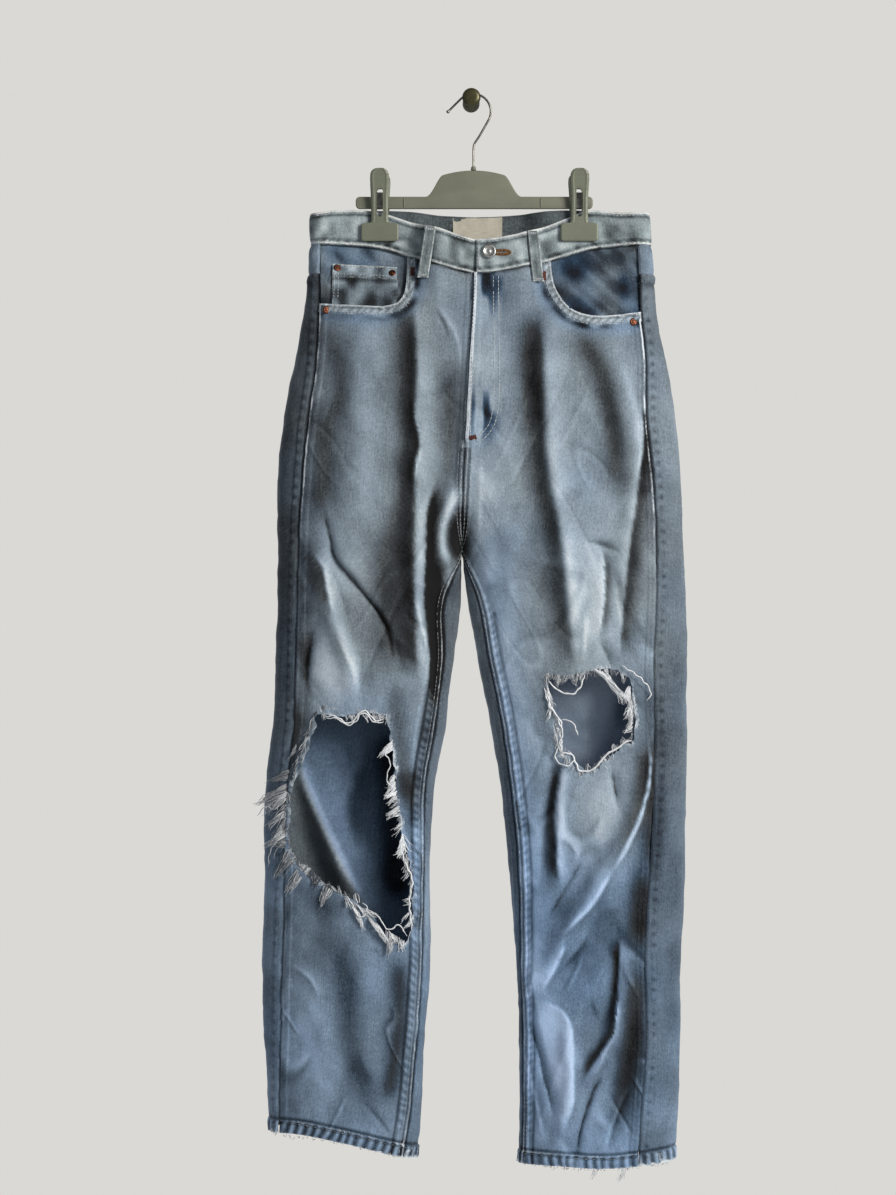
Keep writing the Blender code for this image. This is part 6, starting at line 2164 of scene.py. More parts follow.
@dataclass
class WaistbandHalf(Cloth):
    """Half of the waistband, from the centre back to the fly, of folded and doubled denim."""

    columns: int = 190
    proud: float = 0.0014  # how far its lower edge hangs over the seam
    name = "waistband_half_{}"
    node = "waistband_{}"
    finish = Finish.BAND

    def grid(self) -> Shell:
        """The half's plain face. The right one's end runs on under the left one's.

        Returns:
            The sheet, without puckers.
        """
        down = steps(((0.14, 6), (0.72, 14), (0.14, 6)))
        level = (TOP_LEVEL + (SEAM_LEVEL - self.proud - TOP_LEVEL) * down)[:, None]
        if self.side is Side.RIGHT:
            end = np.full_like(level, 0.06)
        else:
            end = turn_at(self.side, np.full_like(level, BAND_END), level)
        turn = 2 * math.pi + (end - 2 * math.pi) * np.linspace(0, 1, self.columns)
        points = leg_face(self.side, level, turn)
        if self.side is Side.RIGHT:
            beyond = np.linspace(points[0, -1, 0], BAND_END + UNDERLAP, 13)[1:]
            points = np.concatenate([points, face_at(beyond[None, :], level)], 1)
        sheet = Shell(points, (0, 0, 0), BAND)
        # Its front and its back face opposite ways, so no one direction says which side is outer:
        # the grid's own normals are kept or turned by where they point on the back.
        normal = np.cross(*sheet.slopes())[2, 20]
        sheet.facing = 1.0 if normal[1] > 0 else -1.0
        return sheet

    def form(self) -> Shell:
        """The half with rounded edges and rows of stitches that pucker it. Only its lapped end is sunk.

        Returns:
            The sheet.
        """
        sheet = self.grid()
        x = sheet.points[..., 0]
        across, fallen = sheet.spans()
        above, away = fallen[-1:] - fallen, across[:, -1:] - across
        seed = 81 if self.side is Side.LEFT else 86
        round_edge, sewn = (
            depth * (bell(fallen - inset, width) + bell(above - inset, width))
            for depth, inset, width in ((0.0011, 0.0, 0.0016), (0.0004, 0.0040, 0.0013))
        )
        loose = 1 - 0.8 * pinch(x, np.full(x.shape, -0.14))
        height = 0.0007 * cloud(across + fallen * 0.5, fallen * 0.25, 0.012, seed)
        height += 0.0003 * cloud(across, fallen, 0.006, seed + 1)
        height += 0.0007 * (1 - 2 * np.abs(cloud(across - fallen * 0.8, fallen * 0.5, 0.021, seed + 6)))
        height = height * loose - round_edge - sewn
        on_front = sheet.points[..., 1] < HANG_Y
        fade = 0.56 + 0.14 * cloud(across, fallen, 0.025, seed + 2) + 0.22 * cloud(across, fallen, 0.009, seed + 3)
        # Painted highlight and shade of fine wrinkles across the band.
        fade += 0.20 * wrinkle_shading(across, fallen, seed + 8, 1.2)
        fade += 0.06 if self.side is Side.LEFT else 0.04
        fade -= 0.30 * bell(above - 0.0062, 0.0016) + 0.50 * bell(above, 0.0012) + 0.30 * bell(fallen - 0.0055, 0.0015)
        wear = 0.80 * bell(fallen - 0.001, 0.0016) + 0.70 * bell(above - 0.0028, 0.0013) + 0.05
        wear += 0.16 * cloud(across, fallen * 0.4, 0.008, seed + 4)
        if self.side is Side.LEFT:
            wear += 0.5 * bell(away, 0.0018)
            height -= 0.0009 * bell(away, 0.0014)
        else:
            height -= (BAND + 0.0006) * smoothstep(-0.0045, 0.0046, x) * on_front
        sheet.fields = {
            "fade": np.clip(fade, 0.02, 0.97), "cast": 0.97 + 0 * x, "wear": np.clip(wear, 0, 1),
            "rope": 0.5 * bell(above - 0.0045, 0.0032) + 0.4 * bell(fallen - 0.003, 0.0026),
            "phase": (across + 0.7 * fallen) / 0.0105 + 0.5 * cloud(across, fallen, 0.02, seed + 7),
        }
        sheet.lining = {"fade": 0.35, "cast": 0.95, "wear": 0.04, "rope": 0.0}
        sheet.lift(height)
        return sheet

    def stitch_lines(self) -> list[StitchLine]:
        """A row near each edge, on the front and on the back, and two up its lapped end.

        Returns:
            The rows.
        """
        lines = []
        for row in (self.sheet.track_level(0.0036), self.sheet.track_level(0.0036, from_below=True)):
            front = row[:, 1] < HANG_Y
            reach = row[:, 0] < 0.0035 if self.side is Side.RIGHT else row[:, 0] > BAND_END + 0.003
            inner = np.abs(row[:, 0]) < (0.186 if self.side is Side.LEFT else 0.168)
            lines.append(StitchLine(row[front & reach & inner][::3][:, [0, 2]], tone=0.75))
            lines.append(StitchLine(row[~front & inner][::3][:, [0, 2]], False, tone=0.7))
        if self.side is Side.LEFT:
            end = self.sheet.points[2:-2:3, -2][:, [0, 2]]
            lines.append(StitchLine(end + (0.0012, 0), tone=0.75))
        return lines


@dataclass
class PocketFacing(Cloth):
    """The darker denim that shows inside a pocket's mouth, under the front panel."""

    bottom: float = -0.262
    start: float = 0.36  # where it starts, as a share of the way from the inner seam to the outer
    name = "facing_cloth_{}"
    node = "pocket_facing_{}"
    finish = Finish.FACING

    def form(self) -> Shell:
        """Its form, sunk below the panel's face, and its wash: stained, and greyer where it is dark.

        Returns:
            The sheet.
        """
        level = np.linspace(SEAM_LEVEL, self.bottom, 44)[:, None]
        inner, outer = (seam_turn(self.side, level, f"{end}_seam") for end in ("inner", "outer"))
        turn = inner + (outer - inner) * np.linspace(self.start, 1, 52)
        sheet = Shell(leg_face(self.side, level, turn), (0, -1, 0), 0.0009)
        x, z = sheet.points[..., 0], sheet.points[..., 2]
        seed, depth, shade = (91, 0.0030, 0.32) if self.side is Side.LEFT else (96, 0.0044, 0.44)
        sheet.lift(crumple(x, z) * 0.6 + 0.0005 * cloud(x + z, x - z, 0.012, seed) - depth)
        tone = tones(FACING_CREASES, x, z)
        fade = shade + tone + 0.16 * cloud(x, z, 0.016, seed + 1) + 0.16 * cloud(x + z, (x - z) * 0.3, 0.009, seed + 2)
        wear = 0.06 + 0.05 * cloud(x + z, (x - z) * 0.25, 0.006, seed + 4)
        cast = 0.62 + 2.4 * np.minimum(tone, 0) + 0.6 * cloud(x, z, 0.03, seed + 5)
        sheet.fields = {"fade": np.clip(fade, 0.02, 0.95), "cast": np.clip(cast, 0, 1), "wear": wear}
        return sheet


@dataclass
class CoinPocket(Cloth):
    """The small pocket inside the wearer's right-hand mouth, with a strap-like hem along its top."""

    side: Side = Side.RIGHT
    depth: float = 0.0024
    hem: float = 0.0125
    name = "coin_pocket_cloth"
    node = "coin_pocket"
    finish = Finish.BAND

    def form(self) -> Shell:
        """Its form, over the facing and under the panel, and its wash with two stains.

        Returns:
            The sheet.
        """
        outer, inner, outer_z, inner_z, bottom = COIN_POCKET
        level = np.linspace(SEAM_LEVEL - 0.004, bottom, 46)[:, None]
        ends = [turn_at(self.side, np.full_like(level, x), level) for x in (inner + 0.004, outer - 0.003)]
        turn = ends[0] + (ends[1] - ends[0]) * np.linspace(0, 1, 34)
        sheet = Shell(leg_face(self.side, level, turn), (0, -1, 0), 0.0010)
        x, z = sheet.points[..., 0], sheet.points[..., 2]
        top = outer_z + (inner_z - outer_z) * (x - outer) / (inner - outer)
        below = top - z
        band = smoothstep(self.hem + 0.001, self.hem - 0.0006, below)
        away = np.minimum(x - outer, inner - x)
        height = crumple(x, z) * 0.6 - self.depth + 0.0010 * band - 0.0006 * bell(below - self.hem - 0.001, 0.0012)
        height += 0.0005 * smoothstep(0.006, 0.004, away) - 0.0006 * bell(away, 0.001)
        fade = 0.50 + 0.44 * cloud(x, z * 0.7, 0.010, 101) - 0.36 * bell(below - self.hem - 0.0025, 0.003)
        fade -= 0.60 * bell(np.hypot(x + 0.104, z + 0.222), 0.016) - 0.16 * bell(np.hypot(x + 0.122, z + 0.226), 0.010)
        wear = 0.5 * bell(below, 0.0018) + 0.35 * bell(below - self.hem, 0.0015) + 0.35 * bell(away, 0.0016) + 0.1
        sheet.fields = {"fade": np.clip(fade, 0.04, 0.95), "cast": 0.8 + 0 * x, "wear": np.clip(wear, 0, 1)}
        sheet.lift(height)
        outline = dense([(outer, outer_z), (inner, inner_z), (inner, bottom + 0.001), (outer, bottom + 0.001)])
        sheet.cut(outline, 0.0013, outside=True)
        sheet.trim()
        return sheet

    def stitch_lines(self) -> list[StitchLine]:
        """Two rows on its hem and two down its outer side.

        Returns:
            The rows.
        """
        outer, inner, outer_z, inner_z, _ = COIN_POCKET
        ends = np.array([[outer + 0.002, outer_z], [inner - 0.002, inner_z]])
        rows = [ends - (0, 0.0018), ends - (0, self.hem - 0.0016)]
        sides = [np.array([[x, outer_z - self.hem], [x, -0.222]]) for x in (outer + 0.0018, outer + 0.0062)]
        return [StitchLine(row, length=0.0026, pitch=0.0036, tone=0.7) for row in rows + sides]


@dataclass
class FlyLayer(Cloth):
    """A strip behind the left front's fly, hidden when it is closed: the zip's tape or the shield."""

    depth: float
    width: float
    bottom: float = -0.350

    def form(self) -> Shell:
        """Its form, sunk below the panel's face, and its plain wash.

        Returns:
            The sheet.
        """
        level = np.linspace(SEAM_LEVEL, self.bottom, 62)[:, None]
        start = seam_turn(self.side, level, "inner_seam")
        across = np.linspace(0.0008, self.width, max(int(self.width / 0.003), 5))
        turn = turn_at(self.side, curve(LEG_TABLE[self.side], "inner", level) + across, level)
        sheet = Shell(leg_face(self.side, level, np.maximum(turn, start)), (0, -1, 0), 0.0009)
        x, z = sheet.points[..., 0], sheet.points[..., 2]
        sheet.fields = {"fade": 0.3 + 0.05 * cloud(x, z, 0.02, 7), "cast": 0.6 + 0 * x, "wear": 0.05 + 0 * x}
        sheet.lift(crumple(x, z) * 0.6 - self.depth)
        return sheet


@dataclass
class ZipTape(FlyLayer):
    """The zip's tape."""

    side: Side = Side.LEFT
    depth: float = 0.0032
    width: float = 0.015
    name = "fly_zip_cloth"
    node = "fly_zip"
    finish = Finish.ZIP


@dataclass
class FlyShield(FlyLayer):
    """The shield behind the zip."""

    side: Side = Side.LEFT
    depth: float = 0.0046
    width: float = 0.042
    name = "fly_shield_cloth"
    node = "fly_shield"
    finish = Finish.FACING


@dataclass
class BackPocket(Cloth):
    """A patch pocket on a back panel, hemmed along its top."""

    near: float = 0.036
    far: float = 0.156
    top: float = -0.268
    low: float = -0.385
    point: float = -0.408
    proud: float = 0.0013
    name = "back_patch_{}"
    node = "back_pocket_{}"

    def form(self) -> Shell:
        """Its form on the back panel, and its wash.

        Returns:
            The sheet.
        """
        sign = 1 if self.side is Side.LEFT else -1
        levels = np.linspace(YOKE_SIDE_LEVEL - 0.012, self.point - 0.006, 78)
        fall = smoothstep(YOKE_FADE_LENGTH, 0, YOKE_SIDE_LEVEL - levels)
        sheet = Shell(back_face(self.side, levels, fall, 0.0027), (0, 1, 0), 0.0011)
        x, z = sheet.points[..., 0], sheet.points[..., 2]
        back = sheet.points[..., 1] > -0.035
        sheet.lift(crumple(x, z, 5) + self.proud)
        corners = [(self.near, self.top), (self.far, self.top), (self.far, self.low),
                   ((self.near + self.far) / 2, self.point), (self.near, self.low)]
        outline = dense([(sign * px, pz) for px, pz in corners])
        edge = np.abs(sheet.clearance(outline))
        below = self.top - z
        band = smoothstep(0.0175, 0.0155, below)
        sheet.lift(0.0009 * band - 0.0007 * bell(edge, 0.0012) + 0.0004 * cloud(x, z, 0.009, 111))
        fade = 0.60 + 0.10 * cloud(x, z, 0.03, 112) - 0.12 * bell(edge - 0.006, 0.004)
        wear = 0.45 * bell(edge, 0.002) + 0.2 * bell(below - 0.0165, 0.0016) + 0.06
        sheet.fields = {"fade": fade, "cast": 0.55 + 0 * x, "wear": np.clip(wear, 0, 1)}
        sheet.cut(outline, 0.0014, outside=True)
        sheet.keep &= back[:-1, :-1]
        sheet.trim()
        return sheet

    def stitch_lines(self) -> list[StitchLine]:
        """A row on its hem and two round its sides.

        Returns:
            The rows.
        """
        mirror = (1 if self.side is Side.LEFT else -1, 1)
        hem = np.array([[self.near + 0.003, self.top - 0.015], [self.far - 0.003, self.top - 0.015]])
        lines = [StitchLine(hem * mirror, False)]
        middle = (self.near + self.far) / 2
        for inset in (0.0020, 0.0080):
            corners = [(self.near + inset, self.top - 0.002), (self.near + inset, self.low + inset * 0.2),
                       (middle, self.point + inset * 1.1), (self.far - inset, self.low + inset * 0.2),
                       (self.far - inset, self.top - 0.002)]
            for start, end in zip(corners[:-1], corners[1:]):
                lines.append(StitchLine(np.array([start, end]) * mirror, False))
        return lines


# ------------------------------------------------------------------ loops, label and trims


class LoopPlace(NamedTuple):
    """Where a belt loop is sewn: the x of its top and of its foot, and whether it is on the front."""

    name: str
    top_x: float
    foot_x: float
    front: bool


@dataclass
class BeltLoop:
    """A belt loop: a strip folded in three, so that its edges stand up and wear pale."""

    place: LoopPlace
    width: float = 0.0125
    start: float = 0.0020  # how far below the waistband's top edge it starts
    reach: float = 0.0210  # how far it runs on below the waistband
    bow: float = 0.0016
    sheet: Shell = field(init=False)
    ends: list[Place] = field(default_factory=list)  # where its bartacks go

    def settle(self, ground: Ground) -> None:
        """Lays the strip on the cloth below it, bowed off it between its two sewn ends.

        Args:
            ground: The cloth below.
        """
        rows, columns = 42, 11
        down = np.linspace(0, 1, rows)[:, None]
        share = np.linspace(-0.5, 0.5, columns)[None, :]
        middle = self.place.top_x + (self.place.foot_x - self.place.top_x) * down
        x = middle + share * self.width
        waist = WAIST_TABLE["front" if self.place.front else "back"]
        top = curve(waist, "top", middle) - self.start
        bottom = curve(waist, "seam", middle) - self.reach
        z = top + (bottom - top) * down + 0 * share
        met, _ = ground.meet(x.ravel(), z.ravel(), self.place.front)
        depth = met[:, 1].reshape(rows, columns)
        toward = -1 if self.place.front else 1
        ridge = (toward * depth).max(1, keepdims=True)
        ridge = smoothed(ridge[:, 0], 2)[:, None]
        edges = 0.0006 * bell(np.abs(share) - 0.40, 0.07) - 0.0005 * bell(np.abs(share) - 0.5, 0.04)
        bow = self.bow * np.sin(np.pi * down) ** 0.7
        ends = 0.0005 * (bell(down - 0.06, 0.03) + bell(down - 0.94, 0.03))
        height = 0.0014 + bow + edges - ends + 0.0002 * cloud(x, z, 0.004, 121)
        points = np.stack([x, toward * (ridge + height), z], -1)
        sheet = Shell(points, (0, toward, 0), 0.0013)
        wear = 0.75 * bell(np.abs(share) - 0.42, 0.09) * (0.75 + 0.25 * cloud(x, z, 0.005, 122))
        wear += 0.4 * bell(np.minimum(down, 1 - down), 0.02)
        fade = 0.60 + 0.14 * cloud(x, z, 0.007, 123) - 0.10 * bell(share, 0.16)
        sheet.fields = {"fade": fade, "cast": 1.0 + 0 * x, "wear": np.clip(wear, 0, 1)}
        self.sheet = sheet
        self.ends = [(float(middle[row, 0]), float(z[row, columns // 2])) for row in (2, rows - 3)]

    def make(self) -> Piece:
        """The dressed loop."""
        name = self.place.name
        return dress(self.sheet.build(f"loop_{name}"), Finish.BAND, f"belt_loop_{name}")


@dataclass
class WaistLabel(Cloth):
    """A bare woven label on the inside of the back waistband, seen over the front's dip."""

    side: Side = Side.LEFT
    inset: float = 0.0042  # behind the band's outer face
    name = "label_woven"
    node = "waist_label"
    finish = Finish.LABEL

    def form(self) -> Shell:
        """Its form: as tall as LABEL_HEIGHT, a little proud at its sewn edges.

        Returns:
            The sheet.
        """
        x = np.linspace(LABEL_LEFT, LABEL_RIGHT, 30)[None, :]
        level = TOP_LEVEL - 0.0015 - np.linspace(0, LABEL_HEIGHT, 16)[:, None]
        points = face_at(x, level, False)
        sheet = Shell(points, (0, 1, 0), 0.0008)
        sheet.lift(np.full(points.shape[:2], -self.inset))
        u = (x - LABEL_LEFT) / (LABEL_RIGHT - LABEL_LEFT)
        sheet.outward = (0, -1, 0)
        sheet.lift(0.0004 * cloud(x, level, 0.009, 131) + 0.0004 * bell(np.minimum(u, 1 - u), 0.04))
        return sheet


@dataclass
class Trims:
    """The waist button, its buttonhole, the copper rivets and the bartacks."""

    button_place: Place = (0.0190, -0.1700)
    button_radius: float = 0.0077
    button_height: float = 0.0036
    button_profile: Sequence[Place] = (
        (0.50, 0.00), (0.90, 0.28), (0.99, 0.42), (1.00, 0.60), (0.97, 0.78), (0.90, 0.92), (0.82, 0.98),
        (0.74, 0.96), (0.68, 0.84), (0.62, 0.72), (0.52, 0.66), (0.38, 0.64), (0.22, 0.66), (0.12, 0.72),
        (0.05, 0.74), (0.00, 0.745),
    )
    rivet_radius: float = 0.0042
    rivet_height: float = 0.0016
    rivet_profile: Sequence[Place] = (
        (0.70, -0.30), (1.00, 0.00), (0.99, 0.22), (0.90, 0.44), (0.76, 0.60), (0.60, 0.66), (0.46, 0.62),
        (0.40, 0.74), (0.34, 0.94), (0.22, 1.00), (0.00, 1.00),
    )
    rivets: Mapping[str, Place] = field(default_factory=lambda: {
        "rivet_coin_outer": (-0.1460, -0.1860), "rivet_coin_inner": (-0.0865, -0.1915),
        "rivet_left": (0.1745, -0.2475), "rivet_right": (-0.1570, -0.2345),
    })
    buttonhole: tuple[Place, Place] = ((0.0240, -0.1707), (0.0425, -0.1707))
    bartacks: Sequence[tuple[float, float, float, float]] = (  # x, z, length, turn from upright in degrees
        (0.0790, -0.1945, 0.0100, 2.0), (-0.0640, -0.1900, 0.0095, 0.0), (0.0010, -0.3745, 0.0070, 78.0),
    )

    def seated(self, name: str, ground: Ground, place: Place, profile: Sequence[Place],
               size: tuple[float, float, float], segments: int) -> Piece:
        """A turned trim, square to the cloth below it.

        Args:
            name: The piece's name.
            ground: The cloth below.
            place: Its x and z.
            profile: Its profile, for a radius and a height of 1.
            size: Its radius, its height and how far off the cloth it starts.
            segments: Points round it.

        Returns:
            The piece.
        """
        radius, height, off = size
        points, normals = ground.meet(*np.array(place)[:, None])
        profile = [(r * radius, h * height) for r, h in profile]
        return turned(name, profile, points[0] + normals[0] * off, normals[0], segments)

    def make_metal(self, ground: Ground) -> None:
        """The button and the rivets, dressed.

        Args:
            ground: The cloth below.
        """
        size = (self.button_radius, self.button_height, 0.0006)
        button = self.seated("shank_button", ground, self.button_place, self.button_profile, size, 48)
        dress(button, Finish.NICKEL, "button")
        size = (self.rivet_radius, self.rivet_height, 0.0002)
        for node, place in self.rivets.items():
            dress(self.seated(f"cap_{node}", ground, place, self.rivet_profile, size, 28), Finish.COPPER, node)

    def make_buttonhole(self, ground: Ground) -> None:
        """Overcast stitches square to a long slit, close together, round both of its ends.

        Args:
            ground: The cloth below.
        """
        (x0, z0), (x1, _) = self.buttonhole
        turns = np.linspace(0, 2 * np.pi, 84, endpoint=False)
        half, middle = (x1 - x0) / 2, (x0 + x1) / 2
        round_end = np.sign(np.cos(turns)) * np.abs(np.cos(turns)) ** 0.7
        outer = np.stack([round_end * (half + 0.0006), np.sin(turns) * 0.0036], -1)[:, None]
        inner = np.stack([round_end * (half - 0.0022), np.sin(turns) * 0.0007], -1)[:, None]
        share = np.linspace(0, 1, 5)[None, :, None]
        flat = outer * (1 - share) + inner * share + (middle, z0)
        points = standing_off(ground, flat, np.array([-0.2, 0.7, 1.1, 0.9, 0.1]) * 0.0006)
        pack = self.thread_pack(points, 0.00052, 3)
        dress(thread_object("buttonhole_thread", [pack]), Finish.BUTTONHOLE)

    def make_bartacks(self, ground: Ground, loops: Sequence[BeltLoop]) -> None:
        """Close zigzags of thread: rust ones on the front, pale ones across the belt loops' ends.

        Args:
            ground: The cloth and the loops below.
            loops: The belt loops.
        """
        rust = [self.bartack(ground, x, z, length, turn, 0.0052) for x, z, length, turn in self.bartacks]
        dress(thread_object("bartack_thread", rust), Finish.BARTACK)
        for loop in loops:
            size = (loop.width * 0.84, 90.0, 0.0022)
            packs = [self.bartack(ground, x, z, *size, loop.place.front) for x, z in loop.ends]
            dress(thread_object(f"loop_tack_{loop.place.name}", packs), Finish.TOPSTITCH)

    def thread_pack(self, points: Array, radius: float, seed: int) -> tuple[Array, Array, Array]:
        """Short threads of five steps with their radii, thinner at both ends, and their tones."""
        radii = np.tile(np.array([0.7, 1, 1, 1, 0.7]) * radius, (len(points), 1))
        return points, radii, np.random.default_rng(seed).uniform(0.2, 0.9, len(points))

    def bartack(self, ground: Ground, x: float, z: float, length: float, turn: float, width: float,
                front: bool = True) -> tuple[Array, Array, Array]:
        """One bartack's threads, each across it and close to the next.

        Args:
            ground: The cloth below.
            x: Its middle's x.
            z: Its middle's z.
            length: Its length.
            turn: Its turn from upright, in degrees.
            width: The length of its threads.
            front: Whether it is on the front.

        Returns:
            The threads' points, radii and tones.
        """
        count = int(length / 0.00055)
        along = np.linspace(-0.5, 0.5, count) * length
        share = np.linspace(-0.5, 0.5, 5) * width
        angle = math.radians(turn)
        a, b = along[:, None] + 0.08 * share, share[None, :] + 0 * along[:, None]
        flat = np.stack([x + b * math.cos(angle) + a * math.sin(angle),
                         z - b * math.sin(angle) + a * math.cos(angle)], -1)
        points = standing_off(ground, flat, np.array([-0.3, 0.8, 1.0, 0.8, -0.3]) * 0.0006, front)
        return self.thread_pack(points, 0.00036, count)


# ------------------------------------------------------------------ torn edges


class Fringe(NamedTuple):
    """Yarns along a torn edge: how many and how long, where they point, how they spread, and the edge.

    Lengths are in millimetres.
    """

    count: int
    length: float
    heading: float  # degrees from straight down, positive towards +X
    spread: float
    tone: float
    lift: float  # how far they stand off the cloth
    tuft: float  # length of edge whose yarns hang together
    route: tuple[Place, ...]


class Strand(NamedTuple):
    """A long loose thread, in millimetres: its radius, its tone, how far it stands off, and its route."""

    radius: float
    tone: float
    lift: float
    route: tuple[Place, ...]


FRINGES = {
    Side.LEFT: (
        Fringe(120, 10, 0, 20, 0.42, 2, 5, ((80, -626), (100, -629), (118, -625))),
        Fringe(60, 8, 4, 12, 0.4, 1, 5, ((120, -625), (140, -619), (164, -627))),
        Fringe(30, 28, 42, 4, 0.82, 4, 20, ((137, -624), (143, -626))),
        Fringe(30, 35, 50, 4, 0.84, 6, 20, ((131, -622), (137, -624))),
        Fringe(80, 12, 10, 16, 0.78, 3, 7, ((80, -636), (83, -655), (88, -672))),
        Fringe(80, 10, 14, 24, 0.84, 3, 7, ((89, -678), (91, -697), (95, -711))),
        Fringe(60, 7, -160, 20, 0.46, 1, 7, ((98, -714), (121, -731), (150, -711), (170, -698))),
        Fringe(50, 8, 6, 22, 0.55, 3, 8, ((100, -714), (121, -731), (150, -712))),
        Fringe(90, 13, -26, 34, 0.86, 4, 12, ((169, -640), (171, -664))),
        Fringe(50, 11, -30, 20, 0.66, 2, 8, ((172, -664), (172, -694))),
        Fringe(7, 11, 0, 14, 0.6, 1, 12, ((132, -1156), (138, -1157))),
        Fringe(12, 14, 0, 14, 0.6, 1, 12, ((158, -1156), (165, -1156))),
        Fringe(60, 2.6, 0, 40, 0.4, 1, 5, ((56, -1155), (135, -1157), (215, -1153))),
    ),
    Side.RIGHT: (
        Fringe(150, 10, 3, 7, 0.52, 1, 4, ((-164, -660), (-125, -662), (-88, -668))),
        Fringe(60, 6, -4, 14, 0.7, 1, 6, ((-160, -668), (-120, -670), (-90, -672))),
        Fringe(22, 28, -27, 4, 0.5, 3, 20, ((-164, -664), (-168, -670))),
        Fringe(20, 17, -28, 5, 0.55, 3, 20, ((-188, -702), (-190, -708))),
        Fringe(60, 10, -34, 14, 0.34, 3, 6, ((-170, -676), (-180, -705), (-192, -736))),
        Fringe(34, 28, -84, 5, 0.52, 3, 20, ((-195, -730), (-198, -741))),
        Fringe(36, 36, -66, 5, 0.48, 4, 20, ((-198, -745), (-199, -757))),
        Fringe(110, 22, -54, 16, 0.54, 5, 7, ((-196, -752), (-200, -775), (-199, -802))),
        Fringe(70, 16, -20, 18, 0.3, 3, 7, ((-196, -752), (-200, -775), (-199, -802))),
        Fringe(24, 20, -92, 6, 0.46, 3, 20, ((-196, -804), (-196, -812))),
        Fringe(50, 34, -42, 6, 0.44, 4, 16, ((-196, -812), (-188, -826))),
        Fringe(42, 29, -44, 6, 0.42, 4, 16, ((-182, -830), (-172, -836))),
        Fringe(50, 37, -20, 7, 0.46, 4, 16, ((-172, -838), (-162, -846))),
        Fringe(26, 18, -24, 8, 0.34, 3, 12, ((-158, -852), (-148, -858))),
        Fringe(70, 8, -160, 24, 0.4, 1, 6, ((-190, -832), (-158, -852), (-118, -874))),
        Fringe(60, 13, 20, 30, 0.66, 4, 8, ((-136, -864), (-122, -874), (-112, -880))),
        Fringe(40, 22, 24, 8, 0.86, 5, 12, ((-130, -872), (-124, -876))),
        Fringe(60, 24, 34, 9, 0.86, 5, 12, ((-112, -886), (-100, -896))),
        Fringe(44, 30, 4, 7, 0.78, 5, 12, ((-92, -902), (-84, -908))),
        Fringe(50, 10, 16, 26, 0.6, 3, 7, ((-90, -902), (-74, -914))),
        Fringe(46, 15, -62, 8, 0.95, 3, 14, ((-85, -698), (-85, -708))),
        Fringe(70, 11, -54, 22, 0.92, 4, 7, ((-84, -734), (-81, -756))),
        Fringe(80, 11, -56, 18, 0.62, 3, 6, ((-81, -756), (-75, -792))),
        Fringe(80, 10, -30, 46, 0.95, 5, 14, ((-74, -798), (-73, -816))),
        Fringe(80, 11, -34, 24, 0.74, 3, 8, ((-70, -820), (-65, -850), (-66, -905))),
        Fringe(60, 2.6, 0, 40, 0.4, 1, 5, ((-214, -1122), (-145, -1128), (-70, -1147))),
    ),
}
STRANDS = {
    Side.LEFT: (
        Strand(0.85, 0.95, 4, ((82, -634), (88, -641), (96, -646), (105, -648), (112, -645), (117, -637),
            (120, -627))),
        Strand(0.95, 0.9, 4, ((78, -642), (79, -650), (84, -661), (91, -672), (96, -680), (94, -690), (96, -702),
            (95, -712))),
        Strand(0.85, 0.84, 5, ((79, -644), (82, -653), (83, -662), (90, -670), (94, -681), (97, -690), (94, -700),
            (97, -712))),
        Strand(0.7, 0.9, 6, ((96, -676), (103, -676), (109, -681), (113, -692))),
        Strand(0.7, 0.92, 4, ((96, -702), (89, -712), (93, -722), (104, -724), (109, -716), (102, -708))),
        Strand(0.95, 0.94, 3, ((88, -717), (100, -711), (108, -715), (113, -727), (119, -731), (130, -728),
            (138, -719), (146, -711), (156, -706), (164, -700), (170, -698), (175, -702))),
        Strand(0.65, 0.92, 7, ((160, -618), (172, -625), (182, -633), (190, -643), (191, -650), (187, -655))),
        Strand(0.6, 0.9, 4, ((142, -622), (152, -637), (160, -648), (168, -658), (169, -670))),
    ),
    Side.RIGHT: (
        Strand(0.8, 0.95, 3, ((-156, -672), (-145, -672), (-138, -677), (-131, -679), (-126, -676), (-121, -669),
            (-115, -666), (-109, -670), (-104, -676), (-95, -676))),
        Strand(0.7, 0.88, 4, ((-156, -674), (-145, -674), (-137, -679), (-130, -681), (-124, -677), (-120, -671),
            (-115, -668), (-110, -672), (-105, -678), (-94, -678))),
        Strand(1, 0.86, 4, ((-74, -800), (-76, -812), (-72, -828), (-64, -848), (-67, -868), (-66, -886),
            (-64, -903))),
        Strand(0.6, 0.85, 5, ((-86, -700), (-92, -712), (-87, -722), (-91, -738), (-84, -752))),
        Strand(0.7, 0.8, 6, ((-134, -864), (-128, -872), (-122, -885), (-115, -884), (-112, -876), (-117, -872))),
        Strand(0.55, 0.6, 6, ((-198, -760), (-212, -772), (-222, -770), (-231, -780))),
        Strand(0.5, 0.5, 6, ((-196, -790), (-210, -806), (-218, -822), (-219, -836))),
        Strand(0.65, 0.85, 5, ((-114, -878), (-100, -886), (-90, -900), (-78, -896), (-70, -908))),
    ),
}


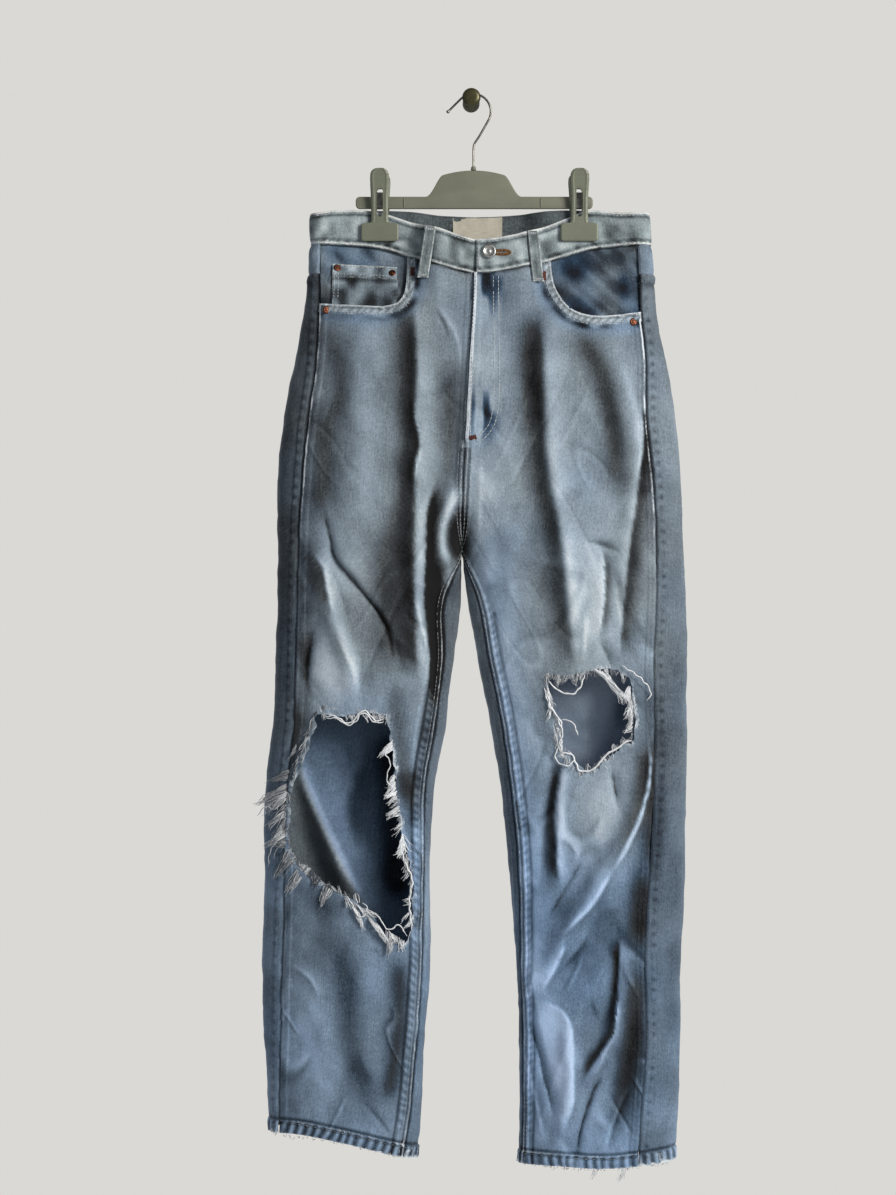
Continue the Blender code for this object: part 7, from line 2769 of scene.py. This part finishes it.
@dataclass
class TornEdge:
    """Bleached weft yarns and loose threads along a leg's tear and its frayed hem."""

    side: Side
    yarn: float = 0.00034  # radius of a yarn
    steps: int = 7

    def depth(self, x: Array, z: Array) -> Array:
        """The y of the leg's front with its crumples, reached no further than its silhouettes.

        Args:
            x: The places' x.
            z: Their z.

        Returns:
            The y at each place.
        """
        leg = LEG_TABLE[self.side]
        level = np.maximum(z, HEM_LEVEL)
        ends = np.sort(np.stack([curve(leg, "outer", level), curve(leg, "inner", level)]), axis=0)
        return front_depth(self.side, np.clip(x, ends[0] + 0.006, ends[1] - 0.006), level) - crumple(x, z)

    def yarns(self, fringe: Fringe, rng: np.random.Generator) -> tuple[Array, Array, Array]:
        """One fringe's yarns.

        A yarn leaves its edge along a heading that its tuft shares, draws in towards the middle
        of its tuft as the square of the way along, curls by two waves whose height grows along
        it, and sags towards its end.

        Args:
            fringe: The fringe.
            rng: Where the yarns' differences come from.

        Returns:
            The yarns' paths, radii and tones.
        """
        spacing = 0.0005
        route = spline(metres(fringe.route), spacing)
        place = np.sort(rng.integers(0, len(route), fringe.count))
        tufts = np.floor(place * spacing / (fringe.tuft / 1000)).astype(int)
        shared = rng.normal(0, 1, (tufts.max() + 1, 3))[tufts]
        own = rng.normal(0, 1, (2, fringe.count))
        heading = np.radians(fringe.heading + fringe.spread * (0.9 * shared[:, 0] + 0.4 * own[0]))
        length = fringe.length / 1000 * np.clip(0.82 + 0.22 * shared[:, 1] + 0.18 * own[1], 0.25, 1.5)
        t = np.linspace(0, 1, self.steps)[None, :]
        start = route[place] + rng.normal(0, 0.0006, (fringe.count, 2))
        reach = length[:, None] * t
        phase = rng.uniform(0, 2 * np.pi, (fringe.count, 3, 1))
        waves = [
            length[:, None] * t * (0.11 * np.sin(5.0 * t + phase[:, k]) + 0.05 * np.sin(11.0 * t + phase[:, k] * 2))
            for k in range(3)
        ]
        members = np.maximum(np.bincount(tufts), 1)
        centre = np.stack([np.bincount(tufts, column) / members for column in start.T], -1)[tufts]
        drawn = 0.85 * t[..., None] ** 2 * (centre - start)[:, None]
        x = start[:, :1] + np.sin(heading)[:, None] * reach + 0.6 * waves[0] + drawn[..., 0]
        z = start[:, 1:] - np.cos(heading)[:, None] * reach + 0.5 * waves[1] + drawn[..., 1]
        z -= 0.22 * length[:, None] * t**2 * np.abs(np.sin(heading))[:, None]
        off = fringe.lift / 1000 * (0.6 + 0.5 * np.abs(shared[:, 2:])) * np.sin(np.pi * np.clip(t, 0, 0.75) * 0.9)
        y = self.depth(x, z) - off - 0.0006 + waves[2] * 0.5
        radii = self.yarn * rng.uniform(0.7, 1.35, (fringe.count, 1)) * (1.0 - 0.55 * t**2)
        tone = np.clip(fringe.tone + 0.16 * shared[:, 1] + rng.normal(0, 0.20, fringe.count), 0, 1)
        return np.stack([x, y, z], -1), radii, tone

    def strand(self, strand: Strand, rng: np.random.Generator) -> tuple[Array, Array, Array]:
        """One loose thread, which wavers a little and thins at both ends.

        Args:
            strand: The thread.
            rng: Where its wavering comes from.

        Returns:
            Its path, radii and tone.
        """
        route = spline(metres(strand.route), 0.0016)
        t = np.linspace(0, 1, len(route))
        waver = 0.0005 * np.sin(t[:, None] * len(route) * 0.9 + rng.uniform(0, 6, 2))
        x, z = (route + waver).T
        y = self.depth(x, z) - strand.lift / 1000 * np.sin(np.pi * (0.12 + 0.80 * t)) - 0.0008
        ends = np.minimum(1, 6 * np.minimum(t, 1 - t) + 0.35)
        radii = strand.radius / 1000 * ends * (1 + 0.18 * np.sin(t * len(route) * 1.3))
        return np.stack([x, y, z], -1)[None], radii[None], np.array([strand.tone])

    def make(self) -> Piece:
        """The dressed yarns, as one piece.

        Returns:
            The piece.
        """
        rng = np.random.default_rng(7 if self.side is Side.LEFT else 8)
        groups = [self.yarns(fringe, rng) for fringe in FRINGES[self.side]]
        groups += [self.strand(strand, rng) for strand in STRANDS[self.side]]
        return dress(thread_object(f"frayed_yarns_{self.side}", groups), Finish.FRAY)


# ------------------------------------------------------------------ holder


@dataclass
class Hook:
    """The wire hook over the knob's neck, with a bead on its tip and a collar at its foot."""

    wire: float = 0.0012
    arc_radius: float = 0.0193
    arc_x: float = 0.0020
    neck: float = 0.0048
    gap: float = 0.0003
    tip: float = 0.0216
    shank: Sequence[Place] = (
        (0.0093, -0.0391), (0.0043, -0.0468), (0.0030, -0.0500), (0.0024, -0.0545), (0.0024, -0.0650),
        (0.0024, -0.0769),
    )
    collar_profile: Sequence[Place] = (
        (0.0026, 0.0000), (0.0030, 0.0002), (0.0030, 0.0007), (0.0028, 0.0010), (0.0027, 0.0026),
        (0.0024, 0.0037), (0.0018, 0.0040), (0.0012, 0.0041),
    )

    def route(self) -> Array:
        """The wire's route in x and z: its tip, an arc round the neck and the shank.

        Returns:
            The route's places.
        """
        centre = self.neck + self.gap + self.wire - self.arc_radius
        turns = np.radians(np.linspace(135, -28, 26))
        arc = np.stack([self.arc_x + self.arc_radius * np.cos(turns), centre + self.arc_radius * np.sin(turns)], -1)
        slope = self.tip / math.sqrt(2)
        tip = arc[0] - slope * np.array([1.0, 0.9, 0.75, 0.5, 0.25])[:, None]
        return np.concatenate([tip, arc, self.shank])

    def make(self) -> None:
        """The dressed wire and its collar."""
        route = spline(self.route(), 0.0008)
        away = np.linalg.norm(route - route[0], axis=1)
        bead = 0.9 * np.sqrt(np.clip(1 - ((away - 0.0019) / 0.0019) ** 2, 0.0004, 1)) * (away < 0.0038)
        ends = np.minimum(np.arange(len(route))[::-1] * 0.5 + 0.4, 1)
        radii = self.wire * np.maximum(np.where(away < 0.0012, 0.05, 1.0) * ends, bead * 1.75)
        path = np.stack([route[:, 0], np.full(len(route), HANG_Y), route[:, 1]], -1)
        wire = thread_object("hook_wire", [(path[None], radii[None], np.array([0.5]))], 16)
        foot_x, foot_z = self.shank[-1]
        foot = np.array([foot_x, HANG_Y, foot_z - 0.0004])
        collar = turned("hook_foot_collar", self.collar_profile, foot, np.array([0, 0, 1.0]), 32)
        dress(wire, Finish.STEEL, "hook")
        dress(collar, Finish.HANGER, "hook_collar")


@dataclass
class HangerBody:
    """The moulded hanger: a flat bar with rounded ends, a hump for the hook, and two stops."""

    top: float = BAR_TOP
    bottom: float = -0.1197
    left: float = 0.1330
    right: float = -0.1265
    depth: float = 2 * BAR_HALF_DEPTH
    corner: float = 0.0045
    hump_x: float = 0.0025
    hump_height: float = 0.0287
    crown: float = 0.0035
    shoulder: float = 0.0280
    outer: float = 0.0525
    inner: float = 0.0335
    edge: float = 0.0011  # radius of the moulding's edges
    stops: Sequence[float] = (-0.0735, 0.0760)

    def outline(self) -> Array:
        """The bar's outline in x and z, anticlockwise seen from the front, about 1 mm apart.

        Returns:
            The outline's points.
        """
        turns = np.linspace(0, np.pi / 2, 6)
        low_right = np.stack([self.right + self.corner * (1 - np.sin(turns)),
                              self.bottom + self.corner * (1 - np.cos(turns))], -1)
        high_right = np.stack([self.right + self.corner * (1 - np.cos(turns)),
                               self.top - self.corner * (1 - np.sin(turns))], -1)
        away = np.linspace(-self.outer, self.outer, 61)
        rise = (self.hump_height - self.crown * (away / self.shoulder) ** 2) * smoothstep(
            self.outer, self.inner, np.abs(away)
        )
        hump = np.stack([self.hump_x + away, self.top + rise], -1)
        mirror = np.array([self.left + self.right, 0.0])
        low_left, high_left = (mirror + part * (-1, 1) for part in (low_right, high_right))
        corners = np.concatenate([low_right, high_right, hump, high_left[::-1], low_left[::-1]])
        return dense(corners, 0.0012)

    def make(self) -> None:
        """The dressed body and its two stops."""
        outline = self.outline()
        after, before = np.roll(outline, -3, axis=0), np.roll(outline, 3, axis=0)
        along = (after - before) / np.maximum(np.linalg.norm(after - before, axis=1, keepdims=True), 1e-9)
        outward = np.stack([-along[:, 1], along[:, 0]], -1)
        if ((outline - outline.mean(0)) * outward).sum() < 0:
            outward = -outward
        turns = np.linspace(0, np.pi / 2, 5)
        sunk = self.edge * (1 - np.sin(turns))
        near = -self.depth / 2 + self.edge * (1 - np.cos(turns))
        insets, depths = np.concatenate([sunk, sunk[::-1]]), np.concatenate([near, -near[::-1]])
        rings = np.stack([
            np.insert(outline - outward * inset, 1, HANG_Y + depth, axis=1) for inset, depth in zip(insets, depths)
        ])
        if np.cross(outline - outline.mean(0), np.roll(outline, -1, axis=0) - outline.mean(0)).sum() > 0:
            rings = rings[:, ::-1]
        dress(closed_skin("hanger_moulding", rings, 55.0), Finish.HANGER, "hanger_body")
        for number, x in enumerate(self.stops):
            paths = np.array([[[x, HANG_Y - self.depth / 2 - 0.0002, z] for z in
                               np.linspace(self.bottom + 0.0012, self.top - 0.0012, 7)]])
            radii = np.array([[0.0003, 0.0006, 0.0007, 0.0007, 0.0007, 0.0006, 0.0003]])
            stop = thread_object(f"hanger_stop_{number + 1}", [(paths, radii, np.array([0.5]))], 10)
            dress(stop, Finish.HANGER)


@dataclass
class Clip:
    """A clip: two halves, each a wide jaw plate under a slotted lever, and the spring between them."""

    side: Side
    bottom: float = -0.1558
    thickness: float = 0.0034
    wider: float = 0.0008
    gap: float = 0.0009
    shape: Sequence[tuple[float, float, float]] = (  # height, half width, lean
        (0.0000, 0.0176, 0.0000), (0.0004, 0.0190, 0.0000), (0.0012, 0.0200, 0.0000), (0.0026, 0.0206, 0.0000),
        (0.0100, 0.0207, 0.0000), (0.0168, 0.0206, 0.0000), (0.0184, 0.0200, 0.0000), (0.0192, 0.0188, 0.0000),
        (0.0197, 0.0160, 0.0000), (0.0200, 0.0115, 0.0000), (0.0206, 0.0100, 0.0000), (0.0230, 0.0095, 0.0001),
        (0.0290, 0.0094, 0.0008), (0.0360, 0.0093, 0.0020), (0.0480, 0.0094, 0.0036), (0.0560, 0.0098, 0.0050),
        (0.0660, 0.0104, 0.0074), (0.0715, 0.0101, 0.0089), (0.0745, 0.0090, 0.0096), (0.0765, 0.0070, 0.0100),
        (0.0776, 0.0045, 0.0102), (0.0781, 0.0015, 0.0103),
    )
    slot: tuple[float, float, float] = (0.0035, 0.0270, 0.0600)
    spring_half_width: float = 0.0045
    spring_thickness: float = 0.0010

    def half(self, facing: int) -> Shell:
        """One half, as a sheet with rounded edges, a raised rim and a slot.

        Args:
            facing: -1 for the front half, 1 for the back one.

        Returns:
            The sheet.
        """
        rows = table(("height", "half_width", "lean"), self.shape)
        known = rows["height"]
        height = np.unique(np.concatenate([known, np.linspace(0.0, known[-1], 92)]))
        half_width = np.interp(height, known, rows["half_width"])[:, None] + (self.wider if facing > 0 else 0)
        lean = np.interp(height, known, rows["lean"])
        lean = smoothed(lean, 3)[:, None]
        across = np.sin(np.linspace(-1, 1, 45) * 1.45)[None, :] / math.sin(1.45)
        x = CLIP_X[self.side] + half_width * across
        z = self.bottom + height[:, None] + 0 * x
        away = half_width * (1 - np.abs(across))
        tip = np.minimum(height[:, None], known[-1] - height[:, None]) + 0 * x
        edge = np.minimum(away, tip)
        dome = 0.0009 * smoothstep(0.0, 0.0016, edge) ** 0.5 - 0.0009
        rim = 0.00045 * bell(away - 0.0028, 0.0009) * (height[:, None] > 0.0205)
        y = HANG_Y + facing * (BAND + self.gap + lean + self.thickness + dome + rim)
        sheet = Shell(np.stack([x, y + 0 * x, z], -1), (0, facing, 0), self.thickness + dome)
        half_slot, low, high = self.slot
        turns = np.linspace(0, np.pi, 12)
        bend = half_slot * np.stack([np.cos(turns), np.sin(turns)], -1)
        ends = (high - half_slot, bend), (low + half_slot, -bend)
        slot = np.concatenate([(CLIP_X[self.side], self.bottom + level) + end for level, end in ends])
        sheet.cut(dense(slot, 0.0004), 0.00036)
        return sheet

    def spring(self) -> Shell:
        """The sprung strip, bent over the bar with its feet flared against the levers.

        Returns:
            The sheet.
        """
        turns = np.radians(np.linspace(180, 0, 20))
        radius = BAR_HALF_DEPTH + 0.0003 + self.spring_thickness
        top = BAR_TOP + 0.0012
        arc = np.stack([radius * np.cos(turns), top + radius * np.sin(turns)], -1)
        feet = np.array([[-radius - 0.0019, -0.1192], [-radius - 0.0010, -0.1130]])
        route = spline(np.concatenate([feet, arc, feet[::-1] * (-1, 1)]), 0.0007)
        x = CLIP_X[self.side] + np.linspace(-1, 1, 7)[None, :] * self.spring_half_width
        points = np.stack([x + 0 * route[:, :1], HANG_Y + route[:, :1] + 0 * x, route[:, 1:] + 0 * x], -1)
        return Shell(points, (0, 0, 1), self.spring_thickness)

    def make(self) -> None:
        """The dressed halves and spring."""
        for name, facing in (("front", -1), ("back", 1)):
            piece = self.half(facing).build(f"clip_moulding_{name}_{self.side}")
            dress(piece, Finish.CLIP, f"clip_{name}_{self.side}")
        spring = self.spring().build(f"clip_strip_{self.side}", 40.0)
        dress(spring, Finish.STEEL, f"clip_spring_{self.side}")


@dataclass
class Knob:
    """The wall knob: a flared foot on the wall, a waist for the hook, and a rounded head."""

    profile: Sequence[Place] = (
        (0.0094, 0.0000), (0.0094, 0.0040), (0.0088, 0.0110), (0.0072, 0.0165), (0.0048, 0.0190),
        (0.0048, 0.0270), (0.0080, 0.0290), (0.0096, 0.0315), (0.0100, 0.0345), (0.0098, 0.0370),
        (0.0085, 0.0388), (0.0060, 0.0398), (0.0030, 0.0400), (0.0000, 0.0400),
    )

    def make(self) -> None:
        """The dressed knob, its profile smoothed between the sizes above."""
        smooth = spline(self.profile, 0.0006)
        smooth[:, 0] = np.clip(smooth[:, 0], 0, 0.0100)
        smooth[:, 1] = np.clip(smooth[:, 1], 0, 0.0400)
        piece = turned("knob_turning", smooth, np.zeros(3), np.array([0, -1.0, 0]), 72, 60.0)
        dress(piece, Finish.KNOB, "wall_knob")


# ------------------------------------------------------------------ studio


@dataclass(frozen=True)
class Studio:
    """Soft light from the right in front, an even pale surround, and a camera level with the knees."""

    camera: tuple[float, float, float] = (-0.0255, -2.545, -0.545)
    lens: float = 69.4
    surround: str = "#DAD9D5"
    ambient: float = 0.27
    key_place: tuple[float, float, float] = (2.3, -2.2, 0.55)
    key_aim: tuple[float, float, float] = (0.0, 0.0, -0.62)
    key_size: float = 1.2
    key_watts: float = 118.0
    fill_place: tuple[float, float, float] = (-1.6, 2.4, 0.4)  # lights the back only
    fill_size: float = 1.6
    fill_watts: float = 70.0
    floor_level: float = -1.75
    floor_radius: float = 2.0

    def floor(self) -> None:
        """A plain pale disc of painted plaster, well below the hems."""
        corners = 96
        turns = np.linspace(0, 2 * np.pi, corners + 1)[:-1]
        height = np.full(corners, self.floor_level)
        points = np.stack([self.floor_radius * np.cos(turns), self.floor_radius * np.sin(turns), height], -1)
        disc = make_object("floor", points, [np.arange(corners)[None, :]])
        material, tree, shader = new_material("floor, painted plaster")
        value = grain(tree, in_space(tree), (0.3, 0.3, 0.3), 0.0, 3.0)
        feed(tree, shader, {"Base Color": ramp(tree, value, ("#D6D5D1", "#DDDCD8")), "Roughness": 0.9})
        disc.data.materials.append(material)

    def world(self) -> None:
        """The surround's colour for the camera, and a dimmer, slightly cool sky for everything else."""
        world = bpy.data.worlds.new("surround")
        world.use_nodes = True
        bpy.context.scene.world = world
        tree = world.node_tree
        seen = tree.nodes["Background"]
        seen.inputs["Color"].default_value = linear(self.surround)
        light = add(tree, "ShaderNodeBackground", {"Color": linear("#E9EDF2"), "Strength": self.ambient})
        ray = add(tree, "ShaderNodeLightPath")
        either = add(tree, "ShaderNodeMixShader", {0: ray.outputs["Is Camera Ray"], 1: light.outputs[0],
                                                   2: seen.outputs[0]})
        tree.links.new(either.outputs[0], tree.nodes["World Output"].inputs["Surface"])

    def lamp(self, name: str, place: Sequence[float], aim: Sequence[float], size: float, watts: float,
             colour: str, mirrored: bool = True) -> None:
        """A square area lamp that looks from a place at another.

        Args:
            name: The lamp's name.
            place: Where it stands.
            aim: What it faces.
            size: The length of its sides.
            watts: Its power.
            colour: Its colour, as hex.
            mirrored: Whether glossy surfaces reflect it.
        """
        data = bpy.data.lights.new(name, "AREA")
        data.energy, data.size, data.color = watts, size, linear(colour)[:3]
        made = bpy.data.objects.new(name, data)
        made.location = place
        made.visible_glossy = mirrored
        made.rotation_euler = (Vector(aim) - Vector(place)).to_track_quat("-Z", "Y").to_euler()
        bpy.context.scene.collection.objects.link(made)

    def make(self) -> None:
        """Sets up the camera, the lamps, the world and the floor."""
        scene = bpy.context.scene
        scene.view_settings.view_transform = "Standard"
        data = bpy.data.cameras.new("camera")
        data.lens, data.sensor_width = self.lens, 36.0
        camera = bpy.data.objects.new("camera", data)
        camera.location, camera.rotation_euler = self.camera, (math.pi / 2, 0, 0)
        scene.collection.objects.link(camera)
        scene.camera = camera
        self.world()
        self.lamp("key", self.key_place, self.key_aim, self.key_size, self.key_watts, "#FFFAF2")
        self.lamp("fill", self.fill_place, self.key_aim, self.fill_size, self.fill_watts, "#F4F6FA", False)
        self.floor()


# ------------------------------------------------------------------ the whole


def make_jeans() -> None:
    """Builds every piece of cloth and what is sewn or struck on it."""
    kinds = (FrontPanel, BackPanel, Yoke, WaistbandHalf, PocketFacing, BackPocket)
    cloths = [kind(side) for kind in kinds for side in Side] + [CoinPocket()]
    pieces = [cloth.make() for cloth in cloths]
    ground = Ground(pieces)
    loops = [
        BeltLoop(place) for place in (
            LoopPlace("front_right", -0.0445, -0.0530, True), LoopPlace("front_left", 0.0665, 0.0725, True),
            LoopPlace("side_right", -0.1480, -0.1480, False), LoopPlace("side_left", 0.1640, 0.1640, False),
            LoopPlace("back", 0.0030, 0.0030, False),
        )
    ]
    trims = Trims()
    trims.make_buttonhole(ground)
    strips = []
    for loop in loops:
        loop.settle(ground)
        strips.append(loop.make())
        declare_sheet(strips[-1], loop.sheet)
    trims.make_metal(ground)
    trims.make_bartacks(Ground([*pieces, *strips]), loops)

    for cloth, piece in zip(cloths, pieces):
        lines = cloth.stitch_lines()
        with_pieces = [lay_stitches(f"stitches_{piece.name}", ground, lines)] if lines else []
        if isinstance(cloth, FrontPanel):
            with_pieces.append(TornEdge(cloth.side).make())
        declare_sheet(piece, cloth.sheet)
    for cloth, held_by in ((ZipTape(), "front_panel_left"), (FlyShield(), "front_panel_left"),
                           (WaistLabel(), "waistband_half_left")):
        declare_sheet(cloth.make(), cloth.sheet)


def make_holder() -> None:
    """Builds the hook, the hanger, its two clips and the wall knob."""
    Hook().make()
    HangerBody().make()
    for side in Side:
        Clip(side).make()
    Knob().make()


def main() -> None:
    """Builds the jeans, their holder and the studio."""
    logging.basicConfig(level=logging.INFO, format="%(message)s")
    make_jeans()
    make_holder()
    Studio().make()


if __name__ == "__main__":
    main()
